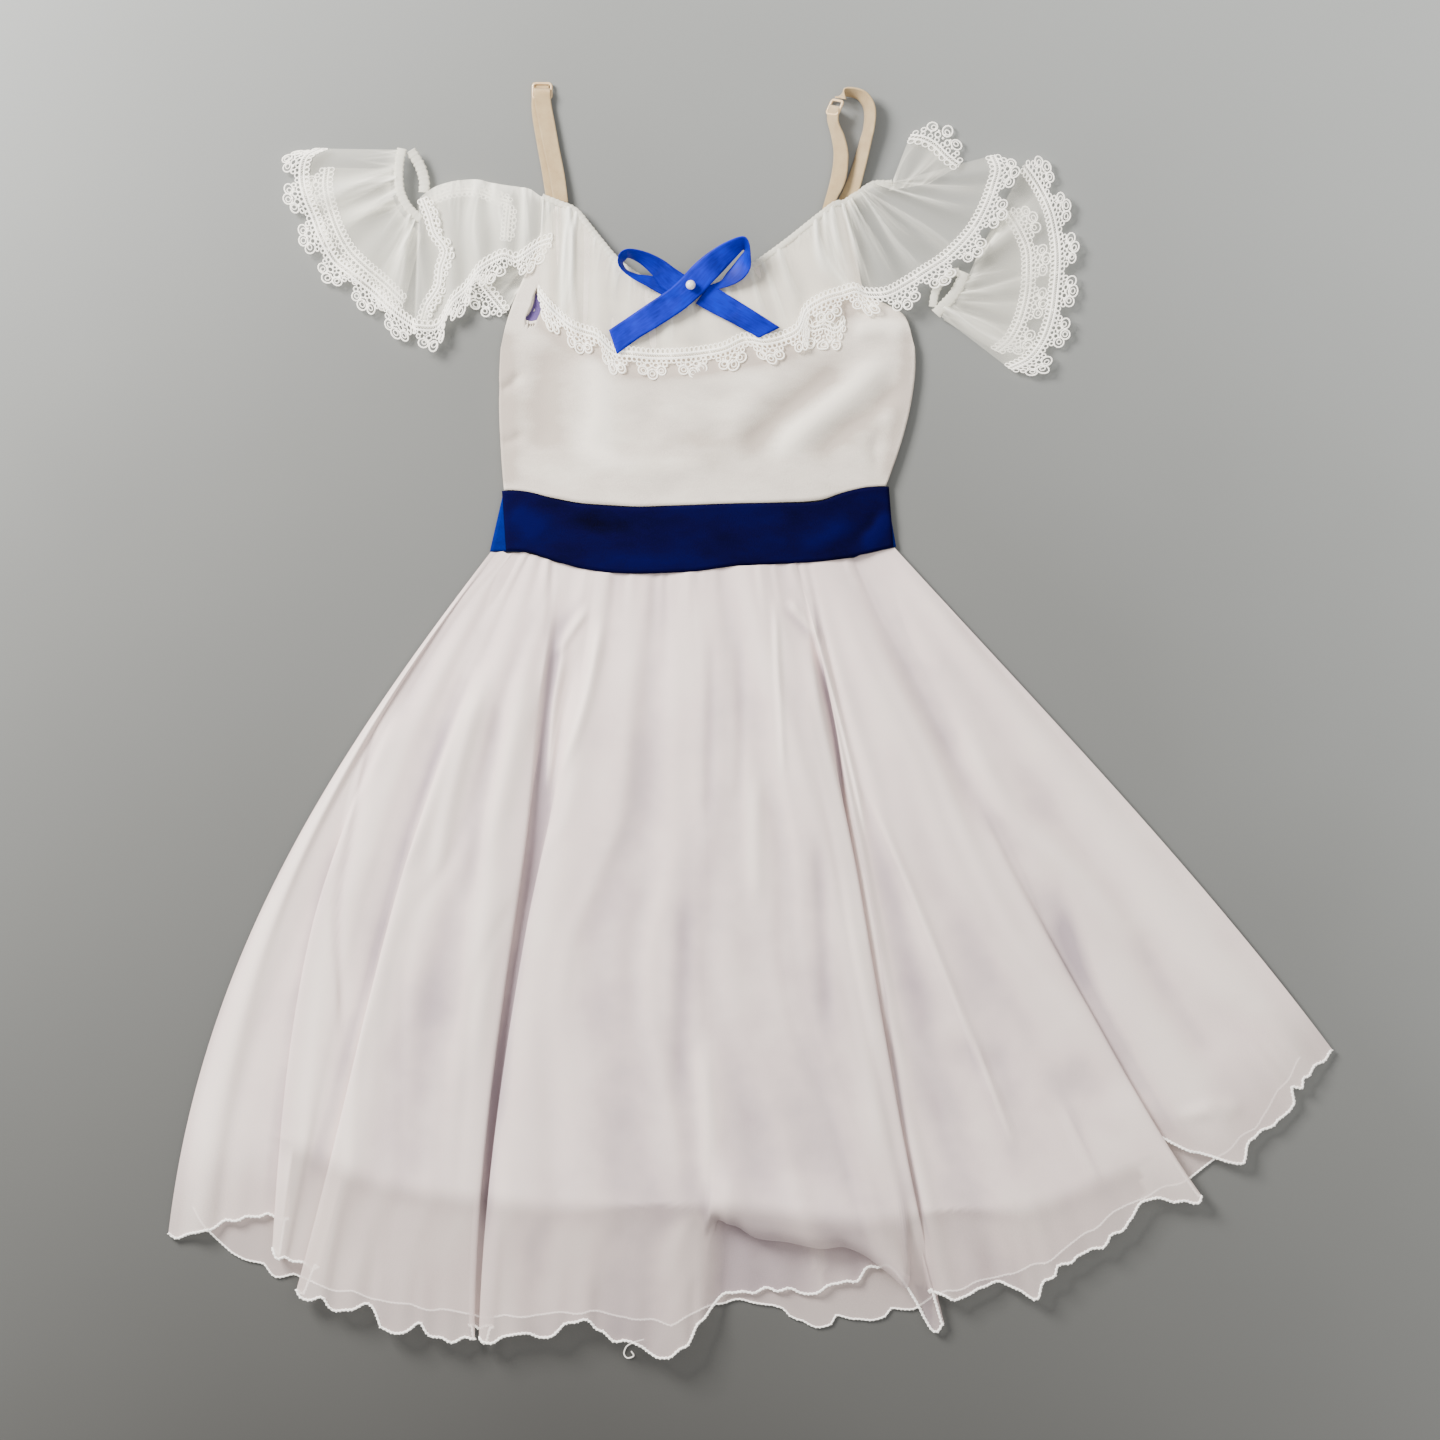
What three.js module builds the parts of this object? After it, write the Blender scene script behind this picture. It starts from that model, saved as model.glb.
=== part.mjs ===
// A child's ballet dress laid flat, in millimetres: +Z up, +Y toward the neckline, +X to the viewer's right.
// Every cloth piece is a thin closed wall. Its upper face comes from a short table of lines or sections,
// and its lower face lies one wall thickness inside it.

import * as THREE from 'three';

// Walls of the cloths and of the small parts
const CHIFFON_WALL = 1.0;
const VELVET_WALL = 1.5;
const LACE_WALL = 1.0;
const WEBBING_WALL = 1.0;
const SATIN_WALL = 0.8;

// Clear space at a seam and between two layers
const SEAM_GAP = 0.5;
const LAYER_GAP = 0.35;

// The front of the waist and bodice swells a little over the back
const DRESS_CENTRE_X = -34;
const DRESS_HALF_WIDTH = 120;
const DRESS_EDGE_HEIGHT = 3.4;
const DRESS_CROWN = 5.2;
const CROWN_FALL_START_Y = 225;
const CROWN_FALL_END_Y = 320;
const CROWN_LEFT_AT_NECK = 0.45;

// The skirt
const SKIRT_STEPS = 13;
const SKIRT_BASE_HEIGHT = 3.8;
const SKIRT_SETTLE = 0.22;
const GATHER_HEIGHT = 0.7;
const GATHER_FADE = 0.18;
const LAP_OPEN_SPACING = 3;
const LAP_INNER_STEP = 0.7;
const LAP_OUTER_STEP = 2.8;
const LAP_RISE_LENGTH = 0.12;
const LAP_SLIDE_LENGTH = 0.25;
const LAP_SPREAD_AT_WAIST = 0.45;
const BACK_STEPS = 6;
const LINING_STEPS = 5;
const LINING_TOP = 2.4;
const LINING_DROP = 3;
const BODICE_STEPS = 7;
const BODICE_BACK_STEPS = 5;
const BAND_STEPS = 3;

// The lace edging: a band with one fan of loops for each repeat
const LACE_REPEAT = 25;
const LACE_GAP = 0.8;
const LACE_SETTLE = 0.3;
const LACE_SHALLOWEST_CROSSING = 0.4;
const LACE_TURN_EASE = 16;
const LACE_BAND_DEPTH = 5.5;
const LACE_LOOP_CENTRE = 10.6;
const LACE_HOLE_RADIUS = 2.5;
const LACE_HOLE_SIDES = 6;
const LACE_PICOTS = 4;
const LACE_PICOT_DEPTH = 0.3;
const LACE_FAN = [
  { along: 0.12, depth: 7.5 },
  { along: 0.21, depth: 10.4 },
  { along: 0.33, depth: 11.0 },
  { along: 0.39, depth: 13.6 },
  { along: 0.5, depth: 14.8 },
  { along: 0.61, depth: 13.6 },
  { along: 0.67, depth: 11.0 },
  { along: 0.79, depth: 10.4 },
  { along: 0.88, depth: 7.5 },
];

// Straps, sliders and the pearl
const SLIDER_WIDTH = 13;
const SLIDER_LENGTH = 11;
const SLIDER_WALL = 1.6;
const SLIDER_RIM = 1.7;
const SLIDER_BAR = 1.6;
const SLIDER_CORNER = 2;
const SLIDER_WINDOW_CORNER = 0.6;
const SLIDER_CORNER_SEGMENTS = 3;
const PEARL_RADIUS = 3;
const PEARL_SIDES = 12;
const PEARL_RINGS = 8;
const PEARL_PLACE = [-37.5, 267];
const PEARL_SEAT = 4.9;
const SLIDER_LEFT_PLACE = [-129.6, 389.2, 2.4];
const SLIDER_RIGHT_PLACE = [51.5, 378.4, 5.8];
const SLIDER_RIGHT_TILT = -52;
const SLIDER_RIGHT_TURN = -24;

const COLOURS = {
  bodice: { color: '#ece8de', roughness: 0.85 },
  waistband: { color: '#080864', roughness: 0.7 },
  skirt: { color: '#e2dde1', roughness: 0.8 },
  lining: { color: '#dcd8dc', roughness: 0.8 },
  ruffle: { color: '#e2e3db', roughness: 0.75 },
  lace: { color: '#f1ede3', roughness: 0.8 },
  webbing: { color: '#eedec0', roughness: 0.7 },
  slider: { color: '#e6cfa6', roughness: 0.35 },
  satin: { color: '#0046d7', roughness: 0.3 },
  pearl: { color: '#f3f1ee', roughness: 0.2 },
};

// The waistband's upper and lower edges, from left to right
const BAND_SECTIONS = [
  { upper: [-152.5, 141.5], lower: [-150, 104.5] },
  { upper: [-140, 141], lower: [-138, 103.5] },
  { upper: [-125, 137], lower: [-120, 97.5] },
  { upper: [-108, 133.5], lower: [-103, 93] },
  { upper: [-90, 132], lower: [-88, 91] },
  { upper: [-70, 131], lower: [-70, 90.3] },
  { upper: [-38, 132], lower: [-36, 91.5] },
  { upper: [-12, 133], lower: [-12, 95] },
  { upper: [15, 133.5], lower: [15, 96.3] },
  { upper: [41, 134.5], lower: [42, 97.8] },
  { upper: [58, 140.5], lower: [62, 100.5] },
  { upper: [72, 143.5], lower: [76, 104] },
  { upper: [83, 144], lower: [86, 106.5] },
];
const BACK_BAND_LEFT = { upper: [-154, 139], lower: [-162, 104] };
const BACK_BAND_RIGHT = { upper: [83.5, 141], lower: [89.5, 107] };

// The bodice's lines from the waistband up to the armhole, shoulder or neckline, from left to right.
// backTop is where the back panel's line ends.
const BODICE_LINES = [
  { waistX: -153, middle: [-156, 190], top: [-155, 230], backTop: [-154, 229] },
  { waistX: -145, middle: [-148, 192], top: [-151, 247], backTop: [-150, 246] },
  { waistX: -136, middle: [-140, 198], top: [-144, 266], backTop: [-143, 265] },
  { waistX: -127, middle: [-133, 208], top: [-136, 284], backTop: [-135, 283] },
  { waistX: -117, middle: [-124, 218], top: [-129, 304], backTop: [-128, 303] },
  { waistX: -106, middle: [-114, 222], top: [-119, 319], backTop: [-120, 318] },
  { waistX: -95, middle: [-104, 222], top: [-108, 315], backTop: [-110, 311] },
  { waistX: -83, middle: [-91, 212], top: [-95, 298], backTop: [-97, 292] },
  { waistX: -70, middle: [-77, 204], top: [-80, 281], backTop: [-81, 273] },
  { waistX: -54, middle: [-59, 200], top: [-62, 270], backTop: [-62, 260] },
  { waistX: -37, middle: [-39, 198], top: [-41, 266], backTop: [-41, 255] },
  { waistX: -21, middle: [-21, 200], top: [-19, 270], backTop: [-20, 259] },
  { waistX: -6, middle: [-3, 204], top: [3, 282], backTop: [1, 272] },
  { waistX: 8, middle: [14, 208], top: [21, 294], backTop: [19, 287] },
  { waistX: 21, middle: [29, 216], top: [39, 309], backTop: [37, 304] },
  { waistX: 33, middle: [42, 222], top: [52, 319], backTop: [52, 317] },
  { waistX: 44, middle: [54, 222], top: [58, 313], backTop: [58, 312] },
  { waistX: 53, middle: [63, 206], top: [65, 286], backTop: [64, 285] },
  { waistX: 62, middle: [73, 198], top: [70, 264], backTop: [69, 263] },
  { waistX: 70, middle: [83, 196], top: [83, 257], backTop: [82, 256] },
  { waistX: 77, middle: [91, 194], top: [95, 249], backTop: [94, 248] },
  { waistX: 83, middle: [98, 192], top: [101, 230], backTop: [100, 229] },
];

// Lines of the skirt's front from the waistband to the hem, in the order that the cloth runs, left to right.
// upper and lower lie a third and two thirds of the way down. rise is the height over the lowest front cloth.
// At a lap one panel lies over the next: over is 1 where the right panel is on top and -1 where the left one is,
// step is how far the upper panel stands over the lower one, tuck how far the cloth runs under it, and start
// how far down the lap opens.
const SKIRT_FRONT_LINES = [
  { name: 'left_edge', waistX: -161.5, upper: [-252, -24], lower: [-322, -161], hem: [-361, -318], rise: -2.3 },
  { name: 'left_flare', waistX: -159.5, upper: [-248.5, -26.5], lower: [-310, -163], hem: [-339, -320], rise: 3.5 },
  { name: 'left_flare_dip', waistX: -157.5, upper: [-245.5, -28.5], lower: [-299, -166], hem: [-321, -316], rise: 1 },
  { name: 'left_lap', waistX: -152.5, upper: [-240, -32], lower: [-281, -176], hem: [-296, -327], rise: 0.6,
    over: 1, step: 4.2, tuck: 9, start: 0.2 },
  { name: 'left_panel_crest', waistX: -147, upper: [-222, -36], lower: [-262, -180], hem: [-290, -339], rise: 6 },
  { name: 'left_panel_dip', waistX: -144.5, upper: [-211, -38], lower: [-252, -184], hem: [-286, -344], rise: 4.2 },
  { name: 'second_lap', waistX: -139, upper: [-200, -44], lower: [-240, -190], hem: [-280, -350], rise: 3.6,
    over: 1, step: 4.4, tuck: 9, start: 0.12 },
  { name: 'second_panel', waistX: -133.5, upper: [-184, -50], lower: [-227, -200], hem: [-259, -362], rise: 9.2 },
  { name: 'second_panel_dip', waistX: -130.5, upper: [-171, -54], lower: [-211, -208], hem: [-237, -362], rise: 7 },
  { name: 'second_panel_crest', waistX: -127.5, upper: [-159, -57], lower: [-194, -214], hem: [-213, -377], rise: 9 },
  { name: 'second_panel_right', waistX: -124.5, upper: [-148, -60], lower: [-177, -220], hem: [-190, -383], rise: 8 },
  { name: 'valley_left', waistX: -118.5, upper: [-137, -62], lower: [-160, -223], hem: [-171, -383], rise: 0.4,
    over: -1, step: 6, tuck: 4, start: 0.04 },
  { name: 'valley', waistX: -107, upper: [-131.5, -64], lower: [-157, -224], hem: [-169.5, -382], rise: 0 },
  { name: 'valley_right', waistX: -97, upper: [-127, -66], lower: [-154, -224], hem: [-168, -382], rise: 0.4,
    over: 1, step: 7, tuck: 8, start: 0.1 },
  { name: 'centre_1', waistX: -89, upper: [-114, -67], lower: [-139, -225], hem: [-154, -378], rise: 9.5 },
  { name: 'centre_2', waistX: -79.5, upper: [-98, -68], lower: [-118, -226], hem: [-131, -379], rise: 8 },
  { name: 'centre_3', waistX: -69.5, upper: [-81, -68], lower: [-96, -227], hem: [-107, -370], rise: 10 },
  { name: 'centre_4', waistX: -59.5, upper: [-65, -68], lower: [-75, -228], hem: [-86, -382], rise: 8.4 },
  { name: 'centre_5', waistX: -49.5, upper: [-50, -68], lower: [-54, -229], hem: [-57, -393], rise: 10.5 },
  { name: 'centre_6', waistX: -40, upper: [-36, -68], lower: [-36, -226], hem: [-37, -380], rise: 8.2 },
  { name: 'centre_7', waistX: -30.5, upper: [-22, -66], lower: [-17, -220], hem: [-21, -361], rise: 10 },
  { name: 'centre_8', waistX: -21, upper: [-8, -65], lower: [2, -214], hem: [5, -355], rise: 8.4 },
  { name: 'centre_9', waistX: -11.5, upper: [6, -64], lower: [21, -212], hem: [33, -354], rise: 10.4 },
  { name: 'centre_10', waistX: -2, upper: [19, -63], lower: [40, -211], hem: [60, -350], rise: 9 },
  { name: 'centre_11', waistX: 8, upper: [32, -62], lower: [58, -212], hem: [84, -352], rise: 10.6 },
  { name: 'centre_12', waistX: 17, upper: [45, -61], lower: [73, -214], hem: [103, -362], rise: 9.6 },
  { name: 'centre_right', waistX: 25.5, upper: [59, -60], lower: [86, -217], hem: [119, -373], rise: 0.6,
    over: -1, step: 6.4, tuck: 5, start: 0.26 },
  { name: 'right_dip', waistX: 33, upper: [66, -55], lower: [98, -212], hem: [132, -357], rise: 1.6 },
  { name: 'right_rise', waistX: 36, upper: [71, -50], lower: [115, -205], hem: [156, -351], rise: 3.2 },
  { name: 'pinch', waistX: 39.5, upper: [77, -46], lower: [132, -197], hem: [181, -346], rise: 7.2 },
  { name: 'right_soft_1', waistX: 44.5, upper: [86, -42], lower: [147, -192], hem: [204, -331], rise: 4.6 },
  { name: 'right_soft_2', waistX: 50.5, upper: [99, -37], lower: [166, -187], hem: [226, -312], rise: 6.2 },
  { name: 'right_soft_3', waistX: 57, upper: [114, -32], lower: [185, -179], hem: [248, -296], rise: 5.4 },
  { name: 'right_lap', waistX: 65.5, upper: [131, -26], lower: [205, -172], hem: [277, -293], rise: 1,
    over: -1, step: 4.2, tuck: 6, start: 0.35 },
  { name: 'right_flare_1', waistX: 73, upper: [146, -18], lower: [225, -150], hem: [303, -272], rise: 3.4 },
  { name: 'right_flare_2', waistX: 78.5, upper: [158, -10], lower: [242, -131], hem: [322, -250], rise: 1.6 },
  { name: 'right_flare_3', waistX: 83.5, upper: [170, -2], lower: [258, -114], hem: [345, -220], rise: 2.6 },
  { name: 'right_edge', waistX: 88.5, upper: [181, 6], lower: [273, -97], hem: [360, -205], rise: -2.3 },
];

// Lines of the skirt's back, which lies flat underneath
const SKIRT_BACK_LINES = [
  { waistX: -157, upper: [-245, -28], lower: [-313, -163], hem: [-346, -302] },
  { waistX: -150, upper: [-232, -32], lower: [-296, -170], hem: [-328, -318] },
  { waistX: -140, upper: [-214, -38], lower: [-270, -178], hem: [-302, -338] },
  { waistX: -128, upper: [-190, -44], lower: [-238, -190], hem: [-268, -350] },
  { waistX: -112, upper: [-152, -52], lower: [-190, -200], hem: [-216, -362] },
  { waistX: -92, upper: [-115, -56], lower: [-140, -208], hem: [-158, -370] },
  { waistX: -70, upper: [-80, -58], lower: [-92, -212], hem: [-100, -366] },
  { waistX: -48, upper: [-48, -60], lower: [-50, -214], hem: [-50, -374] },
  { waistX: -28, upper: [-18, -60], lower: [-12, -212], hem: [-10, -361] },
  { waistX: -10, upper: [10, -58], lower: [22, -208], hem: [24, -367] },
  { waistX: 8, upper: [34, -56], lower: [54, -206], hem: [52, -377] },
  { waistX: 24, upper: [58, -52], lower: [84, -202], hem: [98, -367] },
  { waistX: 38, upper: [82, -46], lower: [118, -196], hem: [134, -350] },
  { waistX: 50, upper: [104, -38], lower: [154, -184], hem: [182, -336] },
  { waistX: 62, upper: [128, -28], lower: [192, -166], hem: [232, -300] },
  { waistX: 72, upper: [148, -18], lower: [222, -144], hem: [274, -282] },
  { waistX: 80, upper: [162, -8], lower: [246, -122], hem: [312, -252] },
  { waistX: 84, upper: [173, 2], lower: [262, -101], hem: [340, -209] },
];

// Lines of the lining between the two
const LINING_LINES = [
  { waistX: -148, upper: [-212, -20], lower: [-258, -128], hem: [-284, -262] },
  { waistX: -130, upper: [-178, -26], lower: [-216, -142], hem: [-240, -282] },
  { waistX: -108, upper: [-138, -32], lower: [-164, -150], hem: [-184, -294] },
  { waistX: -80, upper: [-94, -36], lower: [-108, -156], hem: [-120, -300] },
  { waistX: -50, upper: [-50, -38], lower: [-52, -158], hem: [-54, -299] },
  { waistX: -20, upper: [-8, -38], lower: [0, -156], hem: [4, -301] },
  { waistX: 8, upper: [34, -36], lower: [52, -152], hem: [62, -308] },
  { waistX: 34, upper: [74, -30], lower: [104, -144], hem: [122, -303] },
  { waistX: 54, upper: [108, -20], lower: [150, -132], hem: [176, -300] },
  { waistX: 76, upper: [146, -6], lower: [206, -112], hem: [240, -272] },
];

// Ruffles: each row runs from the gathered edge to the edge that carries the lace.
// lift raises the lace edge where it lies over a fold.
const NECK_RUFFLE = [
  { inner: [-129.4, 323], outer: [-132, 264] },
  { inner: [-125.4, 321.5], outer: [-126, 256] },
  { inner: [-119, 319], outer: [-119, 249] },
  { inner: [-109, 314.5], outer: [-111, 242] },
  { inner: [-101, 305], outer: [-103, 239] },
  { inner: [-93, 295], outer: [-95, 236] },
  { inner: [-85, 285.5], outer: [-85, 227] },
  { inner: [-75, 276.5], outer: [-73, 225] },
  { inner: [-64, 270.5], outer: [-60, 224] },
  { inner: [-52, 267], outer: [-46, 224] },
  { inner: [-40, 265.5], outer: [-32, 225.5] },
  { inner: [-28, 267], outer: [-17, 228] },
  { inner: [-17, 270.5], outer: [-4, 234] },
  { inner: [-7, 276], outer: [8, 232.5] },
  { inner: [3, 281.5], outer: [19, 235], lift: 0.8 },
  { inner: [13, 288.5], outer: [29, 240], lift: 1.8 },
  { inner: [23, 296], outer: [34, 252], lift: 1.8 },
  { inner: [33, 304], outer: [45, 259], lift: 1.8 },
  { inner: [43, 312], outer: [57, 263], lift: 1.8 },
  { inner: [51.5, 318.4], outer: [64.5, 265], lift: 1.4 },
  { inner: [57, 319.3], outer: [71.6, 262.4], lift: 1 },
];
const RIGHT_FAN = [
  { inner: [57.9, 319.8], outer: [72.6, 262] },
  { inner: [60.6, 321.4], outer: [84, 262.6] },
  { inner: [63.5, 323.6], outer: [96, 269] },
  { inner: [66.5, 325], outer: [108, 276.5] },
  { inner: [69.5, 327.5], outer: [119, 284] },
  { inner: [72.5, 329.5], outer: [129, 293] },
  { inner: [75.5, 331], outer: [138, 304] },
  { inner: [78.5, 331.5], outer: [145, 317] },
  { inner: [81.5, 331.5], outer: [151, 331] },
  { inner: [84.5, 331.5], outer: [159, 348] },
];
const RIGHT_BACK = [
  { inner: [85, 327], outer: [98, 361] },
  { inner: [90, 328], outer: [106, 360] },
  { inner: [96, 329], outer: [114, 356] },
  { inner: [102, 330], outer: [121, 349] },
  { inner: [109, 331], outer: [129, 343] },
];
const RIGHT_BELL = [
  { inner: [117, 249.5], outer: [160, 217] },
  { inner: [120.5, 253], outer: [172, 223] },
  { inner: [124.5, 257], outer: [181, 235] },
  { inner: [128, 261], outer: [186, 250] },
  { inner: [131, 265], outer: [188.5, 267] },
  { inner: [134, 269.5], outer: [189.5, 284] },
  { inner: [136.5, 275], outer: [188.5, 300] },
  { inner: [139, 282], outer: [184.5, 316] },
  { inner: [142, 290], outer: [177.5, 331] },
  { inner: [146, 299], outer: [168.5, 343] },
];
const RIGHT_BELL_BACK = [
  { inner: [119, 247.5], outer: [152, 228] },
  { inner: [123, 252], outer: [161, 236] },
  { inner: [127, 256.5], outer: [167, 248] },
  { inner: [130.5, 262], outer: [171, 264] },
  { inner: [134, 269], outer: [172, 280] },
  { inner: [137, 277], outer: [171, 292] },
  { inner: [140, 286], outer: [166, 304] },
  { inner: [143, 295], outer: [159, 315] },
];
const LEFT_BELL = [
  { inner: [-220, 352], outer: [-266, 353.5] },
  { inner: [-221.5, 346], outer: [-276, 347.5] },
  { inner: [-222, 340], outer: [-278.5, 336] },
  { inner: [-222, 334], outer: [-276, 324] },
  { inner: [-221.5, 328.5], outer: [-271, 311] },
  { inner: [-220, 323], outer: [-266, 298] },
  { inner: [-218, 318], outer: [-258, 284] },
  { inner: [-215, 313], outer: [-247, 275] },
  { inner: [-211, 308.5], outer: [-235, 265.5] },
  { inner: [-208.4, 305.6], outer: [-222, 253] },
  { inner: [-205, 302.6], outer: [-207.8, 242.5] },
];
const LEFT_BELL_BACK = [
  { inner: [-223, 341], outer: [-263, 342] },
  { inner: [-223.5, 334], outer: [-264, 330] },
  { inner: [-223, 328], outer: [-261, 316] },
  { inner: [-221, 321], outer: [-256, 302] },
  { inner: [-218, 315], outer: [-249, 290] },
  { inner: [-214, 310], outer: [-239, 280] },
  { inner: [-209, 305], outer: [-227, 270] },
  { inner: [-204, 300.5], outer: [-215, 258] },
];
const LEFT_BRIDGE = [
  { inner: [-203.9, 323], outer: [-206.2, 242] },
  { inner: [-196, 329], outer: [-194, 243] },
  { inner: [-187, 332], outer: [-185, 258] },
  { inner: [-178, 333.5], outer: [-177, 266] },
  { inner: [-169, 333.5], outer: [-169, 277] },
  { inner: [-160, 331.5], outer: [-161, 283] },
  { inner: [-151, 330], outer: [-153, 286] },
  { inner: [-143, 329], outer: [-146, 284] },
  { inner: [-136.5, 327.5], outer: [-140, 287] },
  { inner: [-130.1, 323.4], outer: [-131.4, 293.4] },
];
const LEFT_BACK = [
  { inner: [-133.6, 289.4], outer: [-171, 274.5] },
  { inner: [-136.6, 281.4], outer: [-165, 267] },
  { inner: [-140.6, 272.4], outer: [-158, 258.5] },
  { inner: [-145, 262.4], outer: [-152.8, 251.5] },
];
// The turned-up end of the neck ruffle's lace lies in a small heap of its own
const NECK_FLAP = [
  { inner: [36, 251], outer: [33, 243] },
  { inner: [44, 252], outer: [44, 242] },
  { inner: [53, 254], outer: [57, 244] },
];

// Ribbon stretches: each row gives the two edges as x, y, z
const STRAP_LEFT_FRONT = [
  { one: [-134, 383, 2.7], other: [-123.8, 382.6, 2.7] },
  { one: [-131.6, 368, 3.0], other: [-121.4, 367.4, 3.0] },
  { one: [-129, 355, 3.2], other: [-119, 354, 3.2] },
  { one: [-125.4, 338, 3.6], other: [-115.6, 336.6, 3.6] },
  { one: [-122.6, 321.5, 4.4], other: [-113.4, 319.5, 4.6] },
];
const STRAP_LEFT_BACK = [
  { one: [-135.5, 394.5, 1.1], other: [-125.2, 394.3, 1.1] },
  { one: [-136.2, 378, 1.1], other: [-126, 377.6, 1.1] },
  { one: [-133.6, 360, 1.1], other: [-123.6, 359, 1.1] },
  { one: [-130, 340, 1.1], other: [-120.2, 338.6, 1.1] },
  { one: [-127, 320.5, 1.2], other: [-117.6, 320, 1.2] },
];
const STRAP_RIGHT_FRONT = [
  { one: [46.8, 372.2, 1.8], other: [53.6, 369.4, 9] },
  { one: [50, 360.4, 2], other: [57.6, 359.8, 8] },
  { one: [51.2, 349, 2.2], other: [59.8, 348.6, 7] },
  { one: [49, 334, 2.8], other: [58.2, 333, 5.4] },
  { one: [43.4, 313.8, 4.8], other: [51.8, 320, 4.9] },
];
const STRAP_RIGHT_BACK = [
  { one: [51.7, 385, 1.8], other: [58.5, 382.6, 9.6] },
  { one: [57.6, 385.8, 1.7], other: [57.8, 389.2, 9.2] },
  { one: [63.8, 384.8, 1.5], other: [66, 389, 9.4] },
  { one: [67.4, 382, 1.4], other: [72, 385.6, 9.4] },
  { one: [69.6, 376.6, 1.4], other: [76, 377.6, 9.2] },
  { one: [69.2, 367, 1.4], other: [75.6, 366.8, 8.8] },
  { one: [66.8, 358, 1.3], other: [73.6, 357, 8.0] },
  { one: [62.4, 343, 1.2], other: [70, 341, 6.6] },
  { one: [57.4, 329.6, 1.2], other: [65.8, 325.6, 3.4] },
  { one: [51.6, 317.9, 1.4], other: [59, 312.3, 1.4] },
];
// The bow: heights here are over the ruffle underneath
const BOW_FRONT_STRAND = [
  { one: [-88, 240, 1.2], other: [-83, 225, 1.2] },
  { one: [-76, 248, 1.2], other: [-70, 234.5, 1.2] },
  { one: [-64, 256, 2.8], other: [-56, 243, 1.8] },
  { one: [-52, 264, 4.4], other: [-42, 252, 3.6] },
  { one: [-43, 272, 4.8], other: [-32, 260.5, 4.2] },
  { one: [-36, 279.5, 4.8], other: [-25.5, 267.5, 4.2] },
  { one: [-27, 287, 6.6], other: [-17.5, 276, 3.8] },
  { one: [-16.5, 293, 10], other: [-10.6, 284, 3.2] },
  { one: [-6, 296.4, 13], other: [-5.6, 289.6, 2.4] },
  { one: [-1.8, 294, 13], other: [-3.6, 288.2, 1.8] },
  { one: [-0.4, 287, 11], other: [-5, 284.6, 1.4] },
  { one: [-0.6, 278, 8], other: [-9, 281, 1.3] },
  { one: [-4.6, 272, 4.4], other: [-13.4, 276.6, 1.3] },
  { one: [-12, 268.2, 1.9], other: [-18.2, 272.6, 1.3] },
];
const BOW_BACK_LOOP = [
  { one: [-37, 271, 2.7], other: [-45.4, 258.6, 2.7] },
  { one: [-47, 277.6, 2.9], other: [-55, 265.6, 2.7] },
  { one: [-55, 283.2, 4.8], other: [-61.4, 274, 2.8] },
  { one: [-65, 287.2, 10], other: [-68.6, 281, 2.8] },
  { one: [-75, 288.8, 13], other: [-75.6, 284.8, 2.4] },
  { one: [-80.6, 286.6, 13], other: [-78.4, 283.2, 1.8] },
  { one: [-82.6, 281.4, 12], other: [-79, 280, 1.4] },
  { one: [-80.6, 275.4, 8.4], other: [-76.6, 275.6, 1.2] },
  { one: [-74, 269.2, 4], other: [-69.6, 272.6, 1.2] },
  { one: [-67, 263.6, 1.4], other: [-62, 270.4, 1.2] },
];
const BOW_RIGHT_TAIL = [
  { one: [-25.5, 268, 1.2], other: [-34.6, 256.4, 1.2] },
  { one: [-19, 264.4, 1.2], other: [-26.6, 251.6, 1.2] },
  { one: [-2, 254, 1.2], other: [-11, 243.6, 1.2] },
  { one: [17.5, 241.5, 1.4], other: [4.5, 235, 1.2] },
];
const CASING_LEFT_FRONT = [
  { one: [-213.6, 352.6, 8.5], other: [-218, 352.4, 8.5] },
  { one: [-215.2, 344, 9], other: [-219.6, 344.2, 9] },
  { one: [-215.8, 334, 9], other: [-220, 334, 9] },
  { one: [-214.6, 325.4, 9], other: [-218.6, 324.2, 9] },
  { one: [-210.4, 317.4, 8.6], other: [-213.6, 314.6, 8.6] },
  { one: [-203.2, 310.4, 8], other: [-205.4, 307, 8] },
];
const CASING_LEFT_BACK = [
  { one: [-212.9, 351.9, 8.1], other: [-208.4, 351.5, 6] },
  { one: [-207, 343, 6.6], other: [-202.8, 341, 4.4] },
  { one: [-204.4, 333.6, 5.6], other: [-200.4, 331.8, 3.6] },
  { one: [-204.8, 326.6, 5.2], other: [-200.8, 325.6, 3.2] },
];
const CASING_RIGHT_FRONT = [
  { one: [112.2, 252, 5.4], other: [115.9, 249.5, 5.4] },
  { one: [116.8, 257.4, 5.7], other: [120.9, 254.4, 5.7] },
  { one: [122.4, 263.4, 5.9], other: [126.7, 260.6, 5.9] },
  { one: [126.4, 270, 5.9], other: [131.1, 268, 5.9] },
  { one: [129.4, 277.2, 5.8], other: [134.3, 275.6, 5.8] },
];
const CASING_RIGHT_BACK = [
  { one: [110.8, 254.2, 5.2], other: [113.6, 256.4, 3.4] },
  { one: [111.8, 264, 4.6], other: [115.6, 264.4, 2.6] },
  { one: [116, 272, 4.6], other: [119.4, 270.2, 2.8] },
  { one: [122, 276.8, 4.9], other: [124, 274, 3.2] },
  { one: [128.7, 278.2, 5.5], other: [128.6, 276.4, 4.2] },
];

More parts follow.
